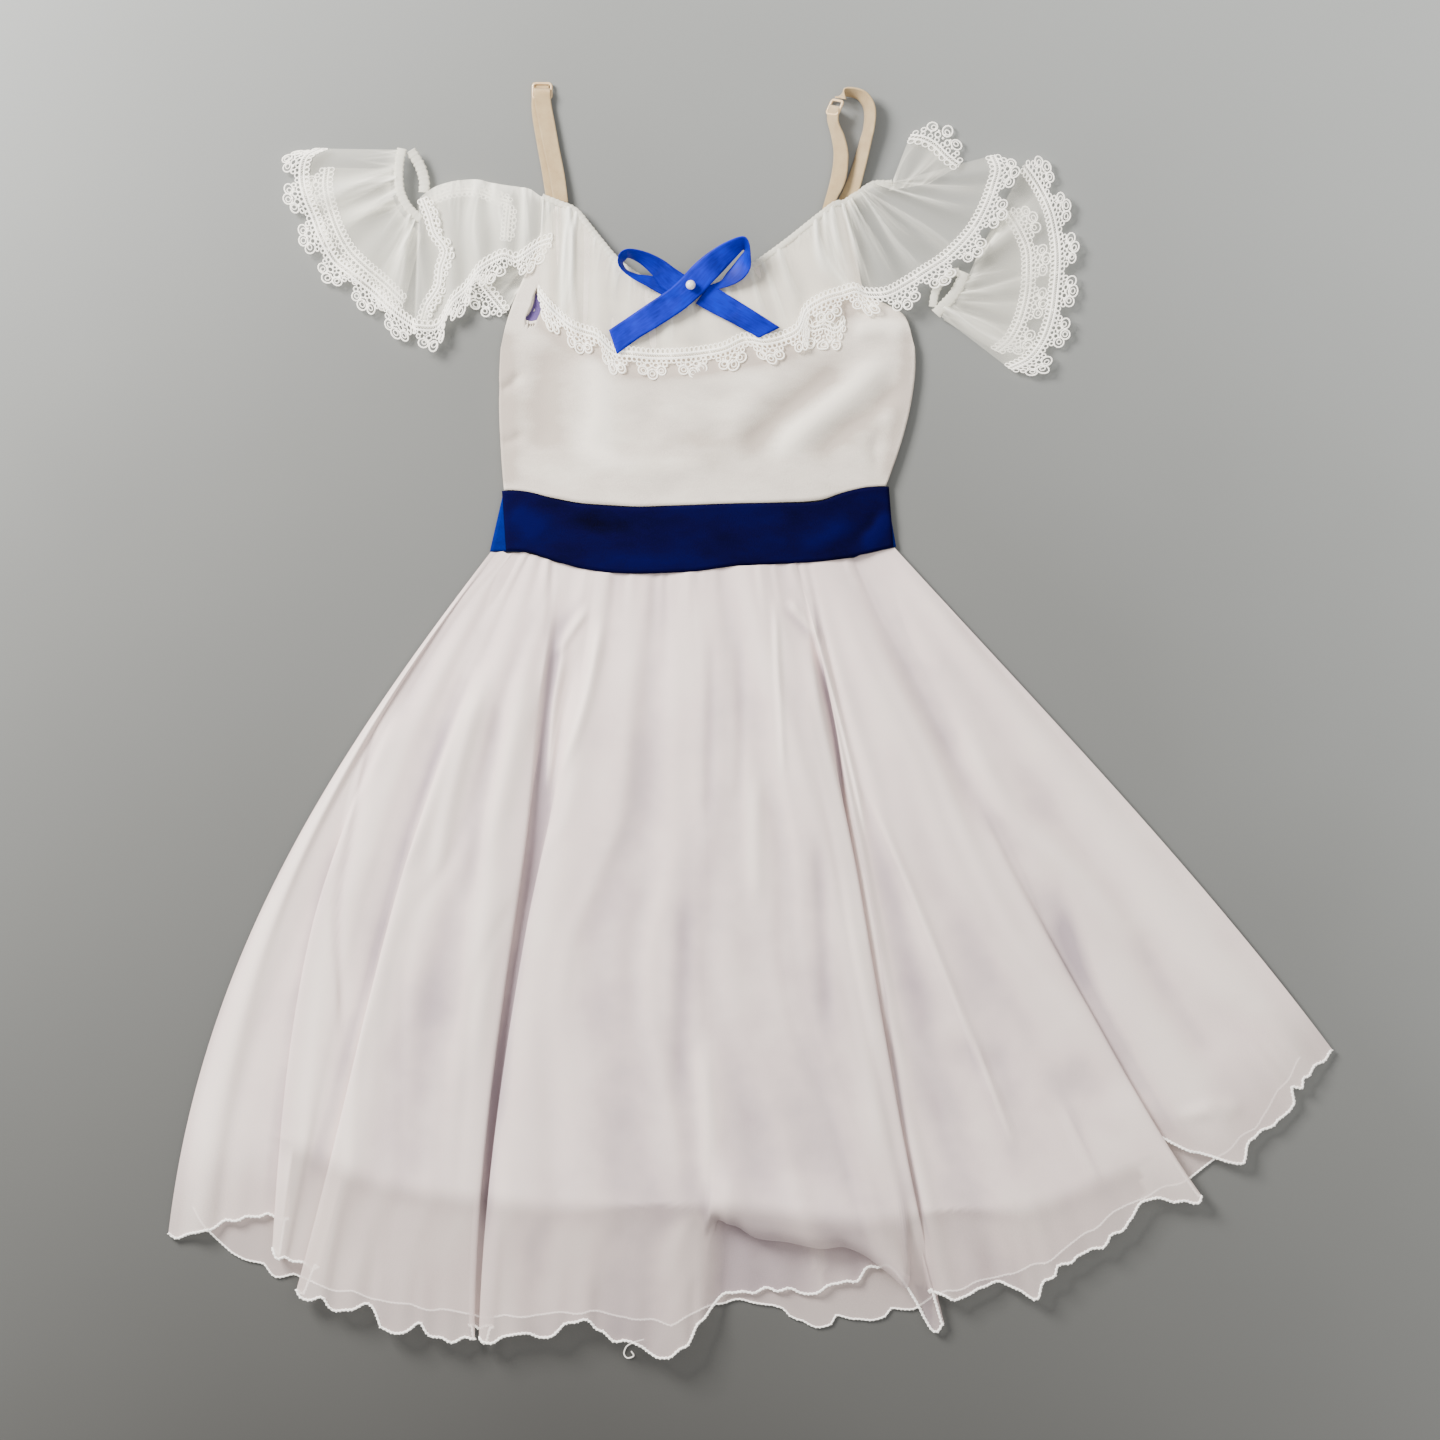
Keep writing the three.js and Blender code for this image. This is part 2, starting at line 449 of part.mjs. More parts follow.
// Levels of the arm ruffles' layers over the surface, at the gathered and at the lace edge
const LEVELS = {
  right_back: { inner: 4.8, outer: 1.6, wave: 0.8 },
  right_bell_back: { inner: 1.6, outer: 1.1, wave: 0.6 },
  right_bell: { inner: 5, outer: 2.8, wave: 2.4 },
  right_fan: { inner: 6.6, outer: 7.6, wave: 2.2 },
  left_bell_back: { inner: 1.6, outer: 1.1, wave: 0.6 },
  left_bell: { inner: 7.6, outer: 2.8, wave: 2.6 },
  left_bridge: { inner: 6.4, outer: 6.2, wave: 2.2 },
  left_back: { inner: 1.6, outer: 1.2, wave: 0.6 },
};
const NECK_WAVE_INNER = 0.5;
const NECK_WAVE_OUTER = 2.4;
const RUFFLE_STEPS = 4;
const WAVE_AT_GATHERS = 0.4;

function smooth(value) {
  const t = THREE.MathUtils.clamp(value, 0, 1);
  return t * t * (3 - 2 * t);
}

function between(a, b, t) {
  return a + (b - a) * t;
}

function point(x, y, z) {
  return new THREE.Vector3(x, y, z);
}

// The upper face of the front cloth of the bodice and waistband
function dressHeight(x, y) {
  const across = THREE.MathUtils.clamp((x - DRESS_CENTRE_X) / DRESS_HALF_WIDTH, -1, 1);
  const fall = smooth((y - CROWN_FALL_START_Y) / (CROWN_FALL_END_Y - CROWN_FALL_START_Y));
  const crown = DRESS_CROWN * between(1, CROWN_LEFT_AT_NECK, fall);
  return DRESS_EDGE_HEIGHT + crown * (1 - across * across);
}

// The back of the waistband shows past the front's two ends
const BACK_BAND_SECTIONS = [
  BACK_BAND_LEFT,
  ...BAND_SECTIONS.slice(1, -1).map(({ upper, lower }) => ({ upper: [upper[0], upper[1] - 1], lower })),
  BACK_BAND_RIGHT,
];

// The height of a band's upper or lower edge at x, read along its sections
function bandEdge(sections, edge, x) {
  const last = sections.length - 1;
  const next = sections.findIndex((section) => section[edge][0] > x);
  const index = next === -1 ? last : Math.max(next, 1);
  const [x0, y0] = sections[index - 1][edge];
  const [x1, y1] = sections[index][edge];
  return between(y0, y1, THREE.MathUtils.clamp((x - x0) / (x1 - x0), 0, 1));
}

// A closed wall: the upper triangles, the same ones reversed below, and a rim along the border
function closedWall(upper, lower, triangles) {
  const positions = [...upper, ...lower].flatMap((p) => [p.x, p.y, p.z]);
  const count = upper.length;
  const faces = [];
  const borders = new Map();
  for (const [a, b, c] of triangles) {
    faces.push(a, b, c, a + count, c + count, b + count);
    for (const [p, q] of [[a, b], [b, c], [c, a]]) {
      if (!borders.delete(`${q} ${p}`)) borders.set(`${p} ${q}`, [p, q]);
    }
  }
  for (const [p, q] of borders.values()) {
    faces.push(q, p, p + count, q, p + count, q + count);
  }
  const geometry = new THREE.BufferGeometry();
  geometry.setAttribute('position', new THREE.Float32BufferAttribute(positions, 3));
  geometry.setIndex(faces);
  geometry.computeVertexNormals();
  return geometry;
}

// The direction of a run of points at one of them, halfway between the steps on both sides
function runDirection(before, here, after) {
  const direction = point(0, 0, 0);
  if (before) direction.add(here.clone().sub(before).normalize());
  if (after) direction.add(after.clone().sub(here).normalize());
  return direction.normalize();
}

// A wall under a grid of points: grid[column][step], with each point's lower twin square to the surface
function gridWall(grid, wall) {
  const steps = grid[0].length;
  const upper = grid.flat();
  const normals = [];
  let facing = 0;
  grid.forEach((column, i) => {
    column.forEach((here, j) => {
      const across = runDirection(grid[i - 1]?.[j], here, grid[i + 1]?.[j]);
      const along = runDirection(column[j - 1], here, column[j + 1]);
      const normal = along.clone().cross(across).normalize();
      facing += normal.z;
      normals.push(normal);
    });
  });
  const side = Math.sign(facing);
  const lower = upper.map((p, k) => p.clone().addScaledVector(normals[k], -wall * side));
  const triangles = [];
  for (let i = 0; i + 1 < grid.length; i += 1) {
    for (let j = 0; j + 1 < steps; j += 1) {
      const a = i * steps + j;
      const b = a + 1;
      const d = a + steps;
      const c = d + 1;
      if (side > 0) triangles.push([a, b, c], [a, c, d]);
      else triangles.push([a, c, b], [a, d, c]);
    }
  }
  return closedWall(upper, lower, triangles);
}

// A point halfway along a smooth curve through four points
function curveMiddle(before, from, to, after) {
  const start = before ?? from.clone().multiplyScalar(2).sub(to);
  const end = after ?? to.clone().multiplyScalar(2).sub(from);
  return from.clone().add(to).multiplyScalar(9).sub(start).sub(end).divideScalar(16);
}

// Adds one smooth point between each two columns, apart from those inside a lap
function refineColumns(columns, laps) {
  const refined = [];
  columns.forEach((column, i) => {
    refined.push(column);
    const next = columns[i + 1];
    if (!next || (laps[i] && laps[i] === laps[i + 1])) return;
    const before = laps[i] ? undefined : columns[i - 1];
    const after = laps[i + 1] ? undefined : columns[i + 2];
    refined.push(column.map((p, j) => curveMiddle(before?.[j], p, next[j], after?.[j])));
  });
  return refined;
}

// A skirt line at a share of its length: a cubic through its four places
function lineAt(line, waistY, t) {
  const places = [[line.waistX, waistY], line.upper, line.lower, line.hem];
  const knots = [0, 1 / 3, 2 / 3, 1];
  let x = 0;
  let y = 0;
  places.forEach((place, i) => {
    const weight = knots.reduce((w, knot, k) => (k === i ? w : (w * (t - knot)) / (knots[i] - knot)), 1);
    x += place[0] * weight;
    y += place[1] * weight;
  });
  return [x, y];
}

function waistY(x) {
  return bandEdge(BACK_BAND_SECTIONS, 'lower', x) - SEAM_GAP;
}

// The four runs of a lap: along the low cloth, back under the top panel, out again and over.
// Each gives a place across the lap and a height, while it is open and once it is closed.
function lapRuns(line) {
  const spread = LAP_OPEN_SPACING;
  const middle = line.step - LAP_OUTER_STEP;
  const runs = [
    { open: -1.5 * spread, closed: line.tuck, height: 0 },
    { open: -0.5 * spread, closed: line.tuck, height: LAP_INNER_STEP },
    { open: 0.5 * spread, closed: 0, height: middle },
    { open: 1.5 * spread, closed: 0, height: line.step },
  ];
  if (line.over > 0) return runs;
  return runs.reverse().map((run) => ({ open: -run.open, closed: -run.closed, height: run.height }));
}

function skirtFrontHeight(x, y, rise, t, index) {
  const top = dressHeight(x, y) + (index % 2 ? GATHER_HEIGHT : 0) * (1 - smooth(t / GATHER_FADE));
  return between(top, SKIRT_BASE_HEIGHT + rise, smooth(t / SKIRT_SETTLE));
}

function skirtFront() {
  const columns = [];
  const laps = [];
  const shares = Array.from({ length: SKIRT_STEPS + 1 }, (_, j) => j / SKIRT_STEPS);
  SKIRT_FRONT_LINES.forEach((line, index) => {
    const runs = line.over ? lapRuns(line) : [{ open: 0, closed: 0, height: 0 }];
    const direction = point(line.lower[0] - line.waistX, line.lower[1] - waistY(line.waistX), 0).normalize();
    const sideways = point(-direction.y, direction.x, 0);
    for (const run of runs) {
      laps.push(line.over ? line.name : '');
      columns.push(shares.map((t) => {
        const [x, y] = lineAt(line, waistY(line.waistX), t);
        const opened = t - (line.start ?? 0);
        const lifted = smooth(opened / LAP_RISE_LENGTH);
        const slid = smooth((opened - LAP_RISE_LENGTH) / LAP_SLIDE_LENGTH);
        const open = run.open * between(LAP_SPREAD_AT_WAIST, 1, smooth(t / SKIRT_SETTLE));
        const offset = between(open, run.closed, slid);
        const height = skirtFrontHeight(x, y, line.rise, t, index) + run.height * lifted;
        return point(x + sideways.x * offset, y + sideways.y * offset, height);
      }));
    }
  });
  return gridWall(refineColumns(columns, laps), CHIFFON_WALL);
}

// A flat skirt layer from a table of lines, its upper face at one height
function skirtLayer(lines, steps, height, drop) {
  const columns = lines.map((line) => Array.from({ length: steps + 1 }, (_, j) => {
    const [x, y] = lineAt(line, waistY(line.waistX) - drop, j / steps);
    return point(x, y, height);
  }));
  return gridWall(refineColumns(columns, []), CHIFFON_WALL);
}

// A point on a bodice line: a quadratic through its waist, middle and top, from the waist at 0 to the top at 1
function bodicePoint(line, top, t) {
  const waist = [line.waistX, bandEdge(BAND_SECTIONS, 'upper', line.waistX) + SEAM_GAP];
  const [x, y] = [0, 1].map((k) => {
    const low = waist[k] * (t - 0.5) * (t - 1) * 2;
    const middle = line.middle[k] * t * (1 - t) * 4;
    return low + middle + top[k] * t * (t - 0.5) * 2;
  });
  return [x, y];
}

function bodiceColumns(topName, steps, heightAt) {
  return BODICE_LINES.map((line) => Array.from({ length: steps + 1 }, (_, j) => {
    const [x, y] = bodicePoint(line, line[topName], j / steps);
    return point(x, y, heightAt(x, y));
  }));
}

// A band between its sections' upper and lower edges
function bandPanel(sections, heightAt) {
  const columns = sections.map(({ upper, lower }) => Array.from({ length: BAND_STEPS + 1 }, (_, j) => {
    const x = between(upper[0], lower[0], j / BAND_STEPS);
    const y = between(upper[1], lower[1], j / BAND_STEPS);
    return point(x, y, heightAt(x, y));
  }));
  return gridWall(columns, VELVET_WALL);
}

// A ruffle's columns: from each row's gathered edge to its lace edge, with every second row a wave's crest
function ruffleColumns(rows, heightAt) {
  const columns = rows.map(({ inner, outer, lift = 0 }, index) => Array.from({ length: RUFFLE_STEPS + 1 }, (_, j) => {
    const t = j / RUFFLE_STEPS;
    const x = between(inner[0], outer[0], t);
    const y = between(inner[1], outer[1], t);
    return point(x, y, heightAt(x, y, t, index % 2) + lift * t);
  }));
  return refineColumns(columns, []);
}

function layerHeight(level) {
  return (x, y, t, crest) => between(level.inner, level.outer, t) + level.wave * crest * between(WAVE_AT_GATHERS, 1, t);
}

function neckHeight(x, y, t, crest) {
  const wave = between(NECK_WAVE_INNER, NECK_WAVE_OUTER, t) * crest;
  return dressHeight(x, y) + LAYER_GAP + CHIFFON_WALL + wave;
}

// One repeat of the lace, laid out flat: its outline with small picots inside and loops outside, and its hole
function laceRepeat(start, pitch) {
  const outline = [];
  for (let i = LACE_PICOTS; i >= 0; i -= 1) {
    outline.push(new THREE.Vector2(start + (i / LACE_PICOTS) * pitch, i % 2 ? LACE_PICOT_DEPTH : 0));
  }
  outline.push(new THREE.Vector2(start, LACE_BAND_DEPTH));
  for (const { along, depth } of LACE_FAN) outline.push(new THREE.Vector2(start + along * pitch, depth));
  outline.push(new THREE.Vector2(start + pitch, LACE_BAND_DEPTH));
  const hole = [];
  for (let i = 0; i < LACE_HOLE_SIDES; i += 1) {
    const angle = (i / LACE_HOLE_SIDES) * Math.PI * 2;
    const x = start + pitch / 2 + LACE_HOLE_RADIUS * Math.cos(angle);
    hole.push(new THREE.Vector2(x, LACE_LOOP_CENTRE + LACE_HOLE_RADIUS * Math.sin(angle)));
  }
  return { outline, hole };
}

// A lace strip of whole repeats that share their side edges, each triangulated where place() puts it
function laceStrip(length, place) {
  const repeats = Math.max(1, Math.round(length / LACE_REPEAT));
  const pitch = length / repeats;
  const points = [];
  const triangles = [];
  const known = new Map();
  const indexOf = (flat, placed) => {
    const key = `${flat.x.toFixed(4)} ${flat.y.toFixed(4)}`;
    if (!known.has(key)) known.set(key, points.push(placed) - 1);
    return known.get(key);
  };
  for (let i = 0; i < repeats; i += 1) {
    const { outline, hole } = laceRepeat(i * pitch, pitch);
    const flat = [...outline, ...hole];
    const placed = flat.map(place);
    const seen = placed.map((p) => new THREE.Vector2(p.x, p.y));
    const faces = THREE.ShapeUtils.triangulateShape(seen.slice(0, outline.length), [seen.slice(outline.length)]);
    triangles.push(...faces.map((face) => face.map((k) => indexOf(flat[k], placed[k]))));
  }
  return { points, triangles };
}

// Directions along a line, each eased toward those near it, so that the lace's tips don't cross
function easedDirections(directions, lengths) {
  return directions.map((_, i) => {
    const eased = point(0, 0, 0);
    directions.forEach((other, k) => {
      const away = (lengths[k] - lengths[i]) / LACE_TURN_EASE;
      eased.addScaledVector(other, Math.exp(-away * away));
    });
    return eased.normalize();
  });
}

// A lace strip along the outer edge of a ruffle's columns, going on outward from them.
// restAt gives the height that the loops' tips settle to.
function laceAlong(columns, restAt) {
  const edge = columns.map((column) => column[column.length - 1]);
  const lengths = [0];
  for (let i = 1; i < edge.length; i += 1) {
    lengths.push(lengths[i - 1] + Math.hypot(edge[i].x - edge[i - 1].x, edge[i].y - edge[i - 1].y));
  }
  const total = lengths[lengths.length - 1];
  const outward = easedDirections(columns.map((column) => {
    const direction = column[column.length - 1].clone().sub(column[column.length - 3]);
    return direction.setZ(0).normalize();
  }), lengths);
  // The clear space is kept square to the edge, however the column meets it
  const clear = edge.map((here, i) => {
    const run = runDirection(edge[i - 1], here, edge[i + 1]).setZ(0).normalize();
    return LACE_GAP / Math.max(Math.abs(run.clone().cross(outward[i]).z), LACE_SHALLOWEST_CROSSING);
  });
  const place = (flat) => {
    const next = Math.min(Math.max(lengths.findIndex((l) => l >= flat.x), 1), edge.length - 1);
    const share = (flat.x - lengths[next - 1]) / (lengths[next] - lengths[next - 1]);
    const base = edge[next - 1].clone().lerp(edge[next], share);
    const away = outward[next - 1].clone().lerp(outward[next], share).normalize();
    const placed = base.clone().addScaledVector(away, between(clear[next - 1], clear[next], share) + flat.y);
    const spare = base.z - restAt(base.x, base.y);
    placed.z = restAt(placed.x, placed.y) + spare * (1 - (LACE_SETTLE * flat.y) / LACE_LOOP_CENTRE);
    return placed;
  };
  const { points: upper, triangles } = laceStrip(total, place);
  const lower = upper.map((p) => point(p.x, p.y, p.z - LACE_WALL));
  const [a, b, c] = triangles[0].map((k) => upper[k]);
  const facing = b.clone().sub(a).cross(c.clone().sub(a)).z;
  const turned = facing > 0 ? triangles : triangles.map(([p, q, r]) => [p, r, q]);
  return closedWall(upper, lower, turned);
}

// A ribbon between two edges, with a middle run so that it can bend across
function ribbon(rows, wall, baseAt = () => 0) {
  const columns = rows.map(({ one, other }) => {
    const first = point(one[0], one[1], one[2] + baseAt(one[0], one[1]));
    const last = point(other[0], other[1], other[2] + baseAt(other[0], other[1]));
    return [first, first.clone().lerp(last, 0.5), last];
  });
  return gridWall(refineColumns(columns, []), wall);
}

// A flat slider: a rounded frame with a bar across its middle
function sliderShape() {
  const frame = roundedRectangle(new THREE.Shape(), SLIDER_WIDTH, SLIDER_LENGTH, SLIDER_CORNER, 0);
  const windowLength = (SLIDER_LENGTH - 2 * SLIDER_RIM - SLIDER_BAR) / 2;
  const windowWidth = SLIDER_WIDTH - 2 * SLIDER_RIM;
  for (const side of [-1, 1]) {
    const centre = (side * (SLIDER_BAR + windowLength)) / 2;
    frame.holes.push(roundedRectangle(new THREE.Path(), windowWidth, windowLength, SLIDER_WINDOW_CORNER, centre));
  }
  return frame;
}

function roundedRectangle(path, width, length, corner, centreY) {
  const x = width / 2;
  const low = centreY - length / 2;
  const high = centreY + length / 2;
  path.moveTo(-x + corner, low);
  path.lineTo(x - corner, low);
  path.quadraticCurveTo(x, low, x, low + corner);
  path.lineTo(x, high - corner);
  path.quadraticCurveTo(x, high, x - corner, high);
  path.lineTo(-x + corner, high);
  path.quadraticCurveTo(-x, high, -x, high - corner);
  path.lineTo(-x, low + corner);
  path.quadraticCurveTo(-x, low, -x + corner, low);
  return path;
}

function slider() {
  const geometry = new THREE.ExtrudeGeometry(sliderShape(), {
    depth: SLIDER_WALL, bevelEnabled: false, curveSegments: SLIDER_CORNER_SEGMENTS,
  });
  return geometry.translate(0, 0, -SLIDER_WALL / 2);
}

const dress = new THREE.Group();

function add(name, geometry, colour) {
  const mesh = new THREE.Mesh(geometry, new THREE.MeshStandardMaterial({ ...COLOURS[colour], metalness: 0 }));
  mesh.name = name;
  dress.add(mesh);
  return mesh;
}

function buildSkirt() {
  add('skirt_back', skirtLayer(SKIRT_BACK_LINES, BACK_STEPS, CHIFFON_WALL, 0), 'skirt');
  add('skirt_lining', skirtLayer(LINING_LINES, LINING_STEPS, LINING_TOP, LINING_DROP), 'lining');
  add('skirt_front', skirtFront(), 'skirt');
}

function buildBodice() {
  const flat = () => VELVET_WALL;
  const back = bodiceColumns('backTop', BODICE_BACK_STEPS, flat);
  const front = refineColumns(bodiceColumns('top', BODICE_STEPS, dressHeight), []);
  add('bodice_back', gridWall(back, VELVET_WALL), 'bodice');
  add('waistband_back', bandPanel(BACK_BAND_SECTIONS, flat), 'waistband');
  add('bodice_front', gridWall(front, VELVET_WALL), 'bodice');
  add('waistband_front', bandPanel(BAND_SECTIONS, dressHeight), 'waistband');
}

// A ruffle and the lace on its edge, both on one set of columns
function buildRuffle(name, rows, heightAt, restAt) {
  const columns = ruffleColumns(rows, heightAt);
  add(`ruffle_${name}`, gridWall(columns, CHIFFON_WALL), 'ruffle');
  add(`lace_${name}`, laceAlong(columns, restAt), 'lace');
}

function buildRuffles() {
  const onDress = (x, y) => dressHeight(x, y) + LAYER_GAP + CHIFFON_WALL;
  const armPieces = {
    right_back: RIGHT_BACK,
    right_bell_back: RIGHT_BELL_BACK,
    right_bell: RIGHT_BELL,
    right_fan: RIGHT_FAN,
    left_bell_back: LEFT_BELL_BACK,
    left_bell: LEFT_BELL,
    left_bridge: LEFT_BRIDGE,
    left_back: LEFT_BACK,
  };
  buildRuffle('neck', NECK_RUFFLE, neckHeight, onDress);
  for (const [name, rows] of Object.entries(armPieces)) {
    const level = LEVELS[name];
    buildRuffle(name, rows, layerHeight(level), () => level.outer);
  }
  buildRuffle('neck_flap', NECK_FLAP, onDress, onDress);
  add('casing_left_front', ribbon(CASING_LEFT_FRONT, CHIFFON_WALL), 'ruffle');
  add('casing_left_back', ribbon(CASING_LEFT_BACK, CHIFFON_WALL), 'ruffle');
  add('casing_right_front', ribbon(CASING_RIGHT_FRONT, CHIFFON_WALL), 'ruffle');
  add('casing_right_back', ribbon(CASING_RIGHT_BACK, CHIFFON_WALL), 'ruffle');
}

function buildStraps() {
  add('strap_left_front', ribbon(STRAP_LEFT_FRONT, WEBBING_WALL), 'webbing');
  add('strap_left_back', ribbon(STRAP_LEFT_BACK, WEBBING_WALL), 'webbing');
  add('strap_right_front', ribbon(STRAP_RIGHT_FRONT, WEBBING_WALL), 'webbing');
  add('strap_right_back', ribbon(STRAP_RIGHT_BACK, WEBBING_WALL), 'webbing');
  const left = add('slider_left', slider(), 'slider');
  left.position.set(...SLIDER_LEFT_PLACE);
  const right = add('slider_right', slider(), 'slider');
  right.position.set(...SLIDER_RIGHT_PLACE);
  const [tilt, turn] = [SLIDER_RIGHT_TILT, SLIDER_RIGHT_TURN].map(THREE.MathUtils.degToRad);
  right.rotation.set(0, tilt, turn, 'ZYX');
}

function buildBow() {
  const onRuffle = (x, y) => dressHeight(x, y) + LAYER_GAP + CHIFFON_WALL + NECK_WAVE_OUTER;
  add('bow_front_strand', ribbon(BOW_FRONT_STRAND, SATIN_WALL, onRuffle), 'satin');
  add('bow_back_loop', ribbon(BOW_BACK_LOOP, SATIN_WALL, onRuffle), 'satin');
  add('bow_right_tail', ribbon(BOW_RIGHT_TAIL, SATIN_WALL, onRuffle), 'satin');
  const pearl = add('bow_pearl', new THREE.SphereGeometry(PEARL_RADIUS, PEARL_SIDES, PEARL_RINGS), 'pearl');
  pearl.position.set(...PEARL_PLACE, onRuffle(...PEARL_PLACE) + PEARL_SEAT + PEARL_RADIUS);
}

// Moves the whole dress so that its box stands on the surface, centred over the origin
function centreOnSurface() {
  dress.updateMatrixWorld(true);
  const box = new THREE.Box3().setFromObject(dress, true);
  const centre = box.getCenter(new THREE.Vector3());
  dress.position.set(-centre.x, -centre.y, -box.min.z);
}

buildSkirt();
buildBodice();
buildRuffles();
buildStraps();
buildBow();
centreOnSurface();

export default dress;
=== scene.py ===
"""A child's ballet dress laid flat on a pale surface and seen from straight above.

The dress has a velvet bodice, a blue velvet waistband, a sheer skirt over a lining, gathered sheer
ruffles edged with lace, elastic straps with sliders, and a satin bow with a pearl. Tables are in
millimetres, in the pattern's own frame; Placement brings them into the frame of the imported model.
"""

from __future__ import annotations

import logging
import math
from dataclasses import dataclass, field
from enum import Enum
from typing import Callable, Iterable, Optional, Sequence

import bpy
import numpy as np
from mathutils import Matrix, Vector

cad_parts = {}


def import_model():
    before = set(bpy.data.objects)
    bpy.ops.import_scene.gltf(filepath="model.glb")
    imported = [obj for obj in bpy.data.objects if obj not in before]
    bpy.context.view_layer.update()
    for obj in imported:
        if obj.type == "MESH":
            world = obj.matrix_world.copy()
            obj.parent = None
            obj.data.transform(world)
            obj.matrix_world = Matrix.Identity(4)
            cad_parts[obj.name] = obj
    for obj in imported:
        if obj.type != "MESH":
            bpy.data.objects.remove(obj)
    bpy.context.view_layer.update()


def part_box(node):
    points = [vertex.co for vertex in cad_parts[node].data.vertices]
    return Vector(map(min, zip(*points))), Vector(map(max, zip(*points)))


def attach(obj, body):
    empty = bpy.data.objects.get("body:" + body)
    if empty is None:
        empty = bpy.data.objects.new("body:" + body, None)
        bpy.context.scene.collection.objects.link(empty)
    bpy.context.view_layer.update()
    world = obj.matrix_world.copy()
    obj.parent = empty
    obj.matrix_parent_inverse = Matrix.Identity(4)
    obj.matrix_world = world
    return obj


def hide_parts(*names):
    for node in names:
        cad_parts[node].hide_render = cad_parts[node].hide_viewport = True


log = logging.getLogger("dress")

MM = 0.001
FULL_TURN = 2 * math.pi
# Middle value of the painted light and shade layer: neither light nor shade painted
MIDDLE_PAINTED_SHADING = 0.5
CORD_COVER = 0.62
BODY = "root"

Array = np.ndarray
Values = np.ndarray | float
Material = bpy.types.Material
Object = bpy.types.Object
Socket = bpy.types.NodeSocket
Pair = tuple[float, float]
Triple = tuple[float, float, float]
HeightAt = Callable[[Array, Array], Array]
# A flat thread: its points along and deep, its radius, and whether it is a closed loop
FlatThread = tuple[Array, float, bool]


# Shaping helpers


def smooth(value: Values) -> Array:
    """Returns value eased from 0 to 1 with level ends."""
    t = np.clip(value, 0.0, 1.0)
    return t * t * (3.0 - 2.0 * t)


def between(a: Values, b: Values, t: Values) -> Array:
    """Returns the value a share t of the way from a to b."""
    return a + (b - a) * t


def bell(value: Values) -> Array:
    """Returns a soft hump that is 1 at 0 and fades on both sides."""
    return np.exp(-np.square(value))


def unit(vectors: Array) -> Array:
    """Returns the vectors at length one."""
    lengths = np.linalg.norm(vectors, axis=-1, keepdims=True)
    return vectors / np.maximum(lengths, 1e-9)


def spline(points: Array, spans: int) -> Array:
    """Rounds a run of points.

    Args:
        points: The run's points, along the first axis.
        spans: How many spans each step of the run is cut into.

    Returns:
        The finer run, which passes through every given point.
    """
    if len(points) < 2 or spans < 2:
        return points
    first = 2 * points[:1] - points[1:2]
    last = 2 * points[-1:] - points[-2:-1]
    p = np.concatenate([first, points, last])
    t = (np.arange(spans) / spans).reshape((1, spans) + (1,) * (points.ndim - 1))
    p0, p1, p2, p3 = (p[i:len(p) - 3 + i, None] for i in range(4))
    run = 0.5 * (
        2 * p1
        + (p2 - p0) * t
        + (2 * p0 - 5 * p1 + 4 * p2 - p3) * t**2
        + (3 * p1 - p0 - 3 * p2 + p3) * t**3
    )
    run = run.reshape((-1,) + points.shape[1:])
    return np.concatenate([run, points[-1:]])


def eased(values: Array, rounds: int) -> Array:
    """Evens out a run along its first axis and leaves its two ends where they are."""
    for _ in range(rounds):
        inner = (values[:-2] + 2 * values[1:-1] + values[2:]) / 4
        values = np.concatenate([values[:1], inner, values[-1:]])
    return values


def lengths_along(points: Array) -> Array:
    """Returns the distance run at each point of a line."""
    steps = np.linalg.norm(np.diff(points, axis=0), axis=1)
    return np.concatenate([[0.0], np.cumsum(steps)])


def resampled(points: Array, spacing: float) -> Array:
    """Returns a line's points at an even spacing, with both ends kept."""
    run = lengths_along(points)
    count = max(2, int(round(run[-1] / spacing)) + 1)
    places = np.linspace(0.0, run[-1], count)
    return np.stack([np.interp(places, run, points[:, k]) for k in range(points.shape[1])], axis=1)


def directions(points: Array) -> Array:
    """Returns the direction of a line at each of its points."""
    return unit(np.gradient(points, axis=0))


def distance_to_line(x: Array, y: Array, line: Array) -> tuple[Array, Array]:
    """Measures points against a line on the plan.

    Args:
        x: The points' places across the plan.
        y: The points' places along the plan.
        line: The line's points, two numbers each.

    Returns:
        The signed distance to the line, positive on its left, and the share of the line run there.
    """
    run = lengths_along(line)
    best = np.full(x.shape, np.inf)
    signed = np.zeros(x.shape)
    share = np.zeros(x.shape)
    for i in range(len(line) - 1):
        (ax, ay), (bx, by) = line[i], line[i + 1]
        dx, dy = bx - ax, by - ay
        span = math.hypot(dx, dy)
        t = np.clip(((x - ax) * dx + (y - ay) * dy) / (span * span), 0.0, 1.0)
        away = np.hypot(x - ax - t * dx, y - ay - t * dy)
        side = np.sign(dx * (y - ay) - dy * (x - ax))
        nearer = away < best
        best = np.where(nearer, away, best)
        signed = np.where(nearer, away * side, signed)
        share = np.where(nearer, (run[i] + t * span) / run[-1], share)
    return signed, share


@dataclass(frozen=True)
class Placement:
    """Brings the tables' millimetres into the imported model's frame."""

    shift_x: float
    shift_y: float

    @staticmethod
    def from_pearl(pearl_x: float, pearl_y: float) -> "Placement":
        """Returns the placement that puts the pearl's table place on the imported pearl."""
        low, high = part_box("bow_pearl")
        centre = (low + high) / 2
        return Placement(centre.x / MM - pearl_x, centre.y / MM - pearl_y)

    def place(self, points: Array) -> Array:
        """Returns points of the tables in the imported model's frame, in metres."""
        return (points + np.array([self.shift_x, self.shift_y, 0.0])) * MM


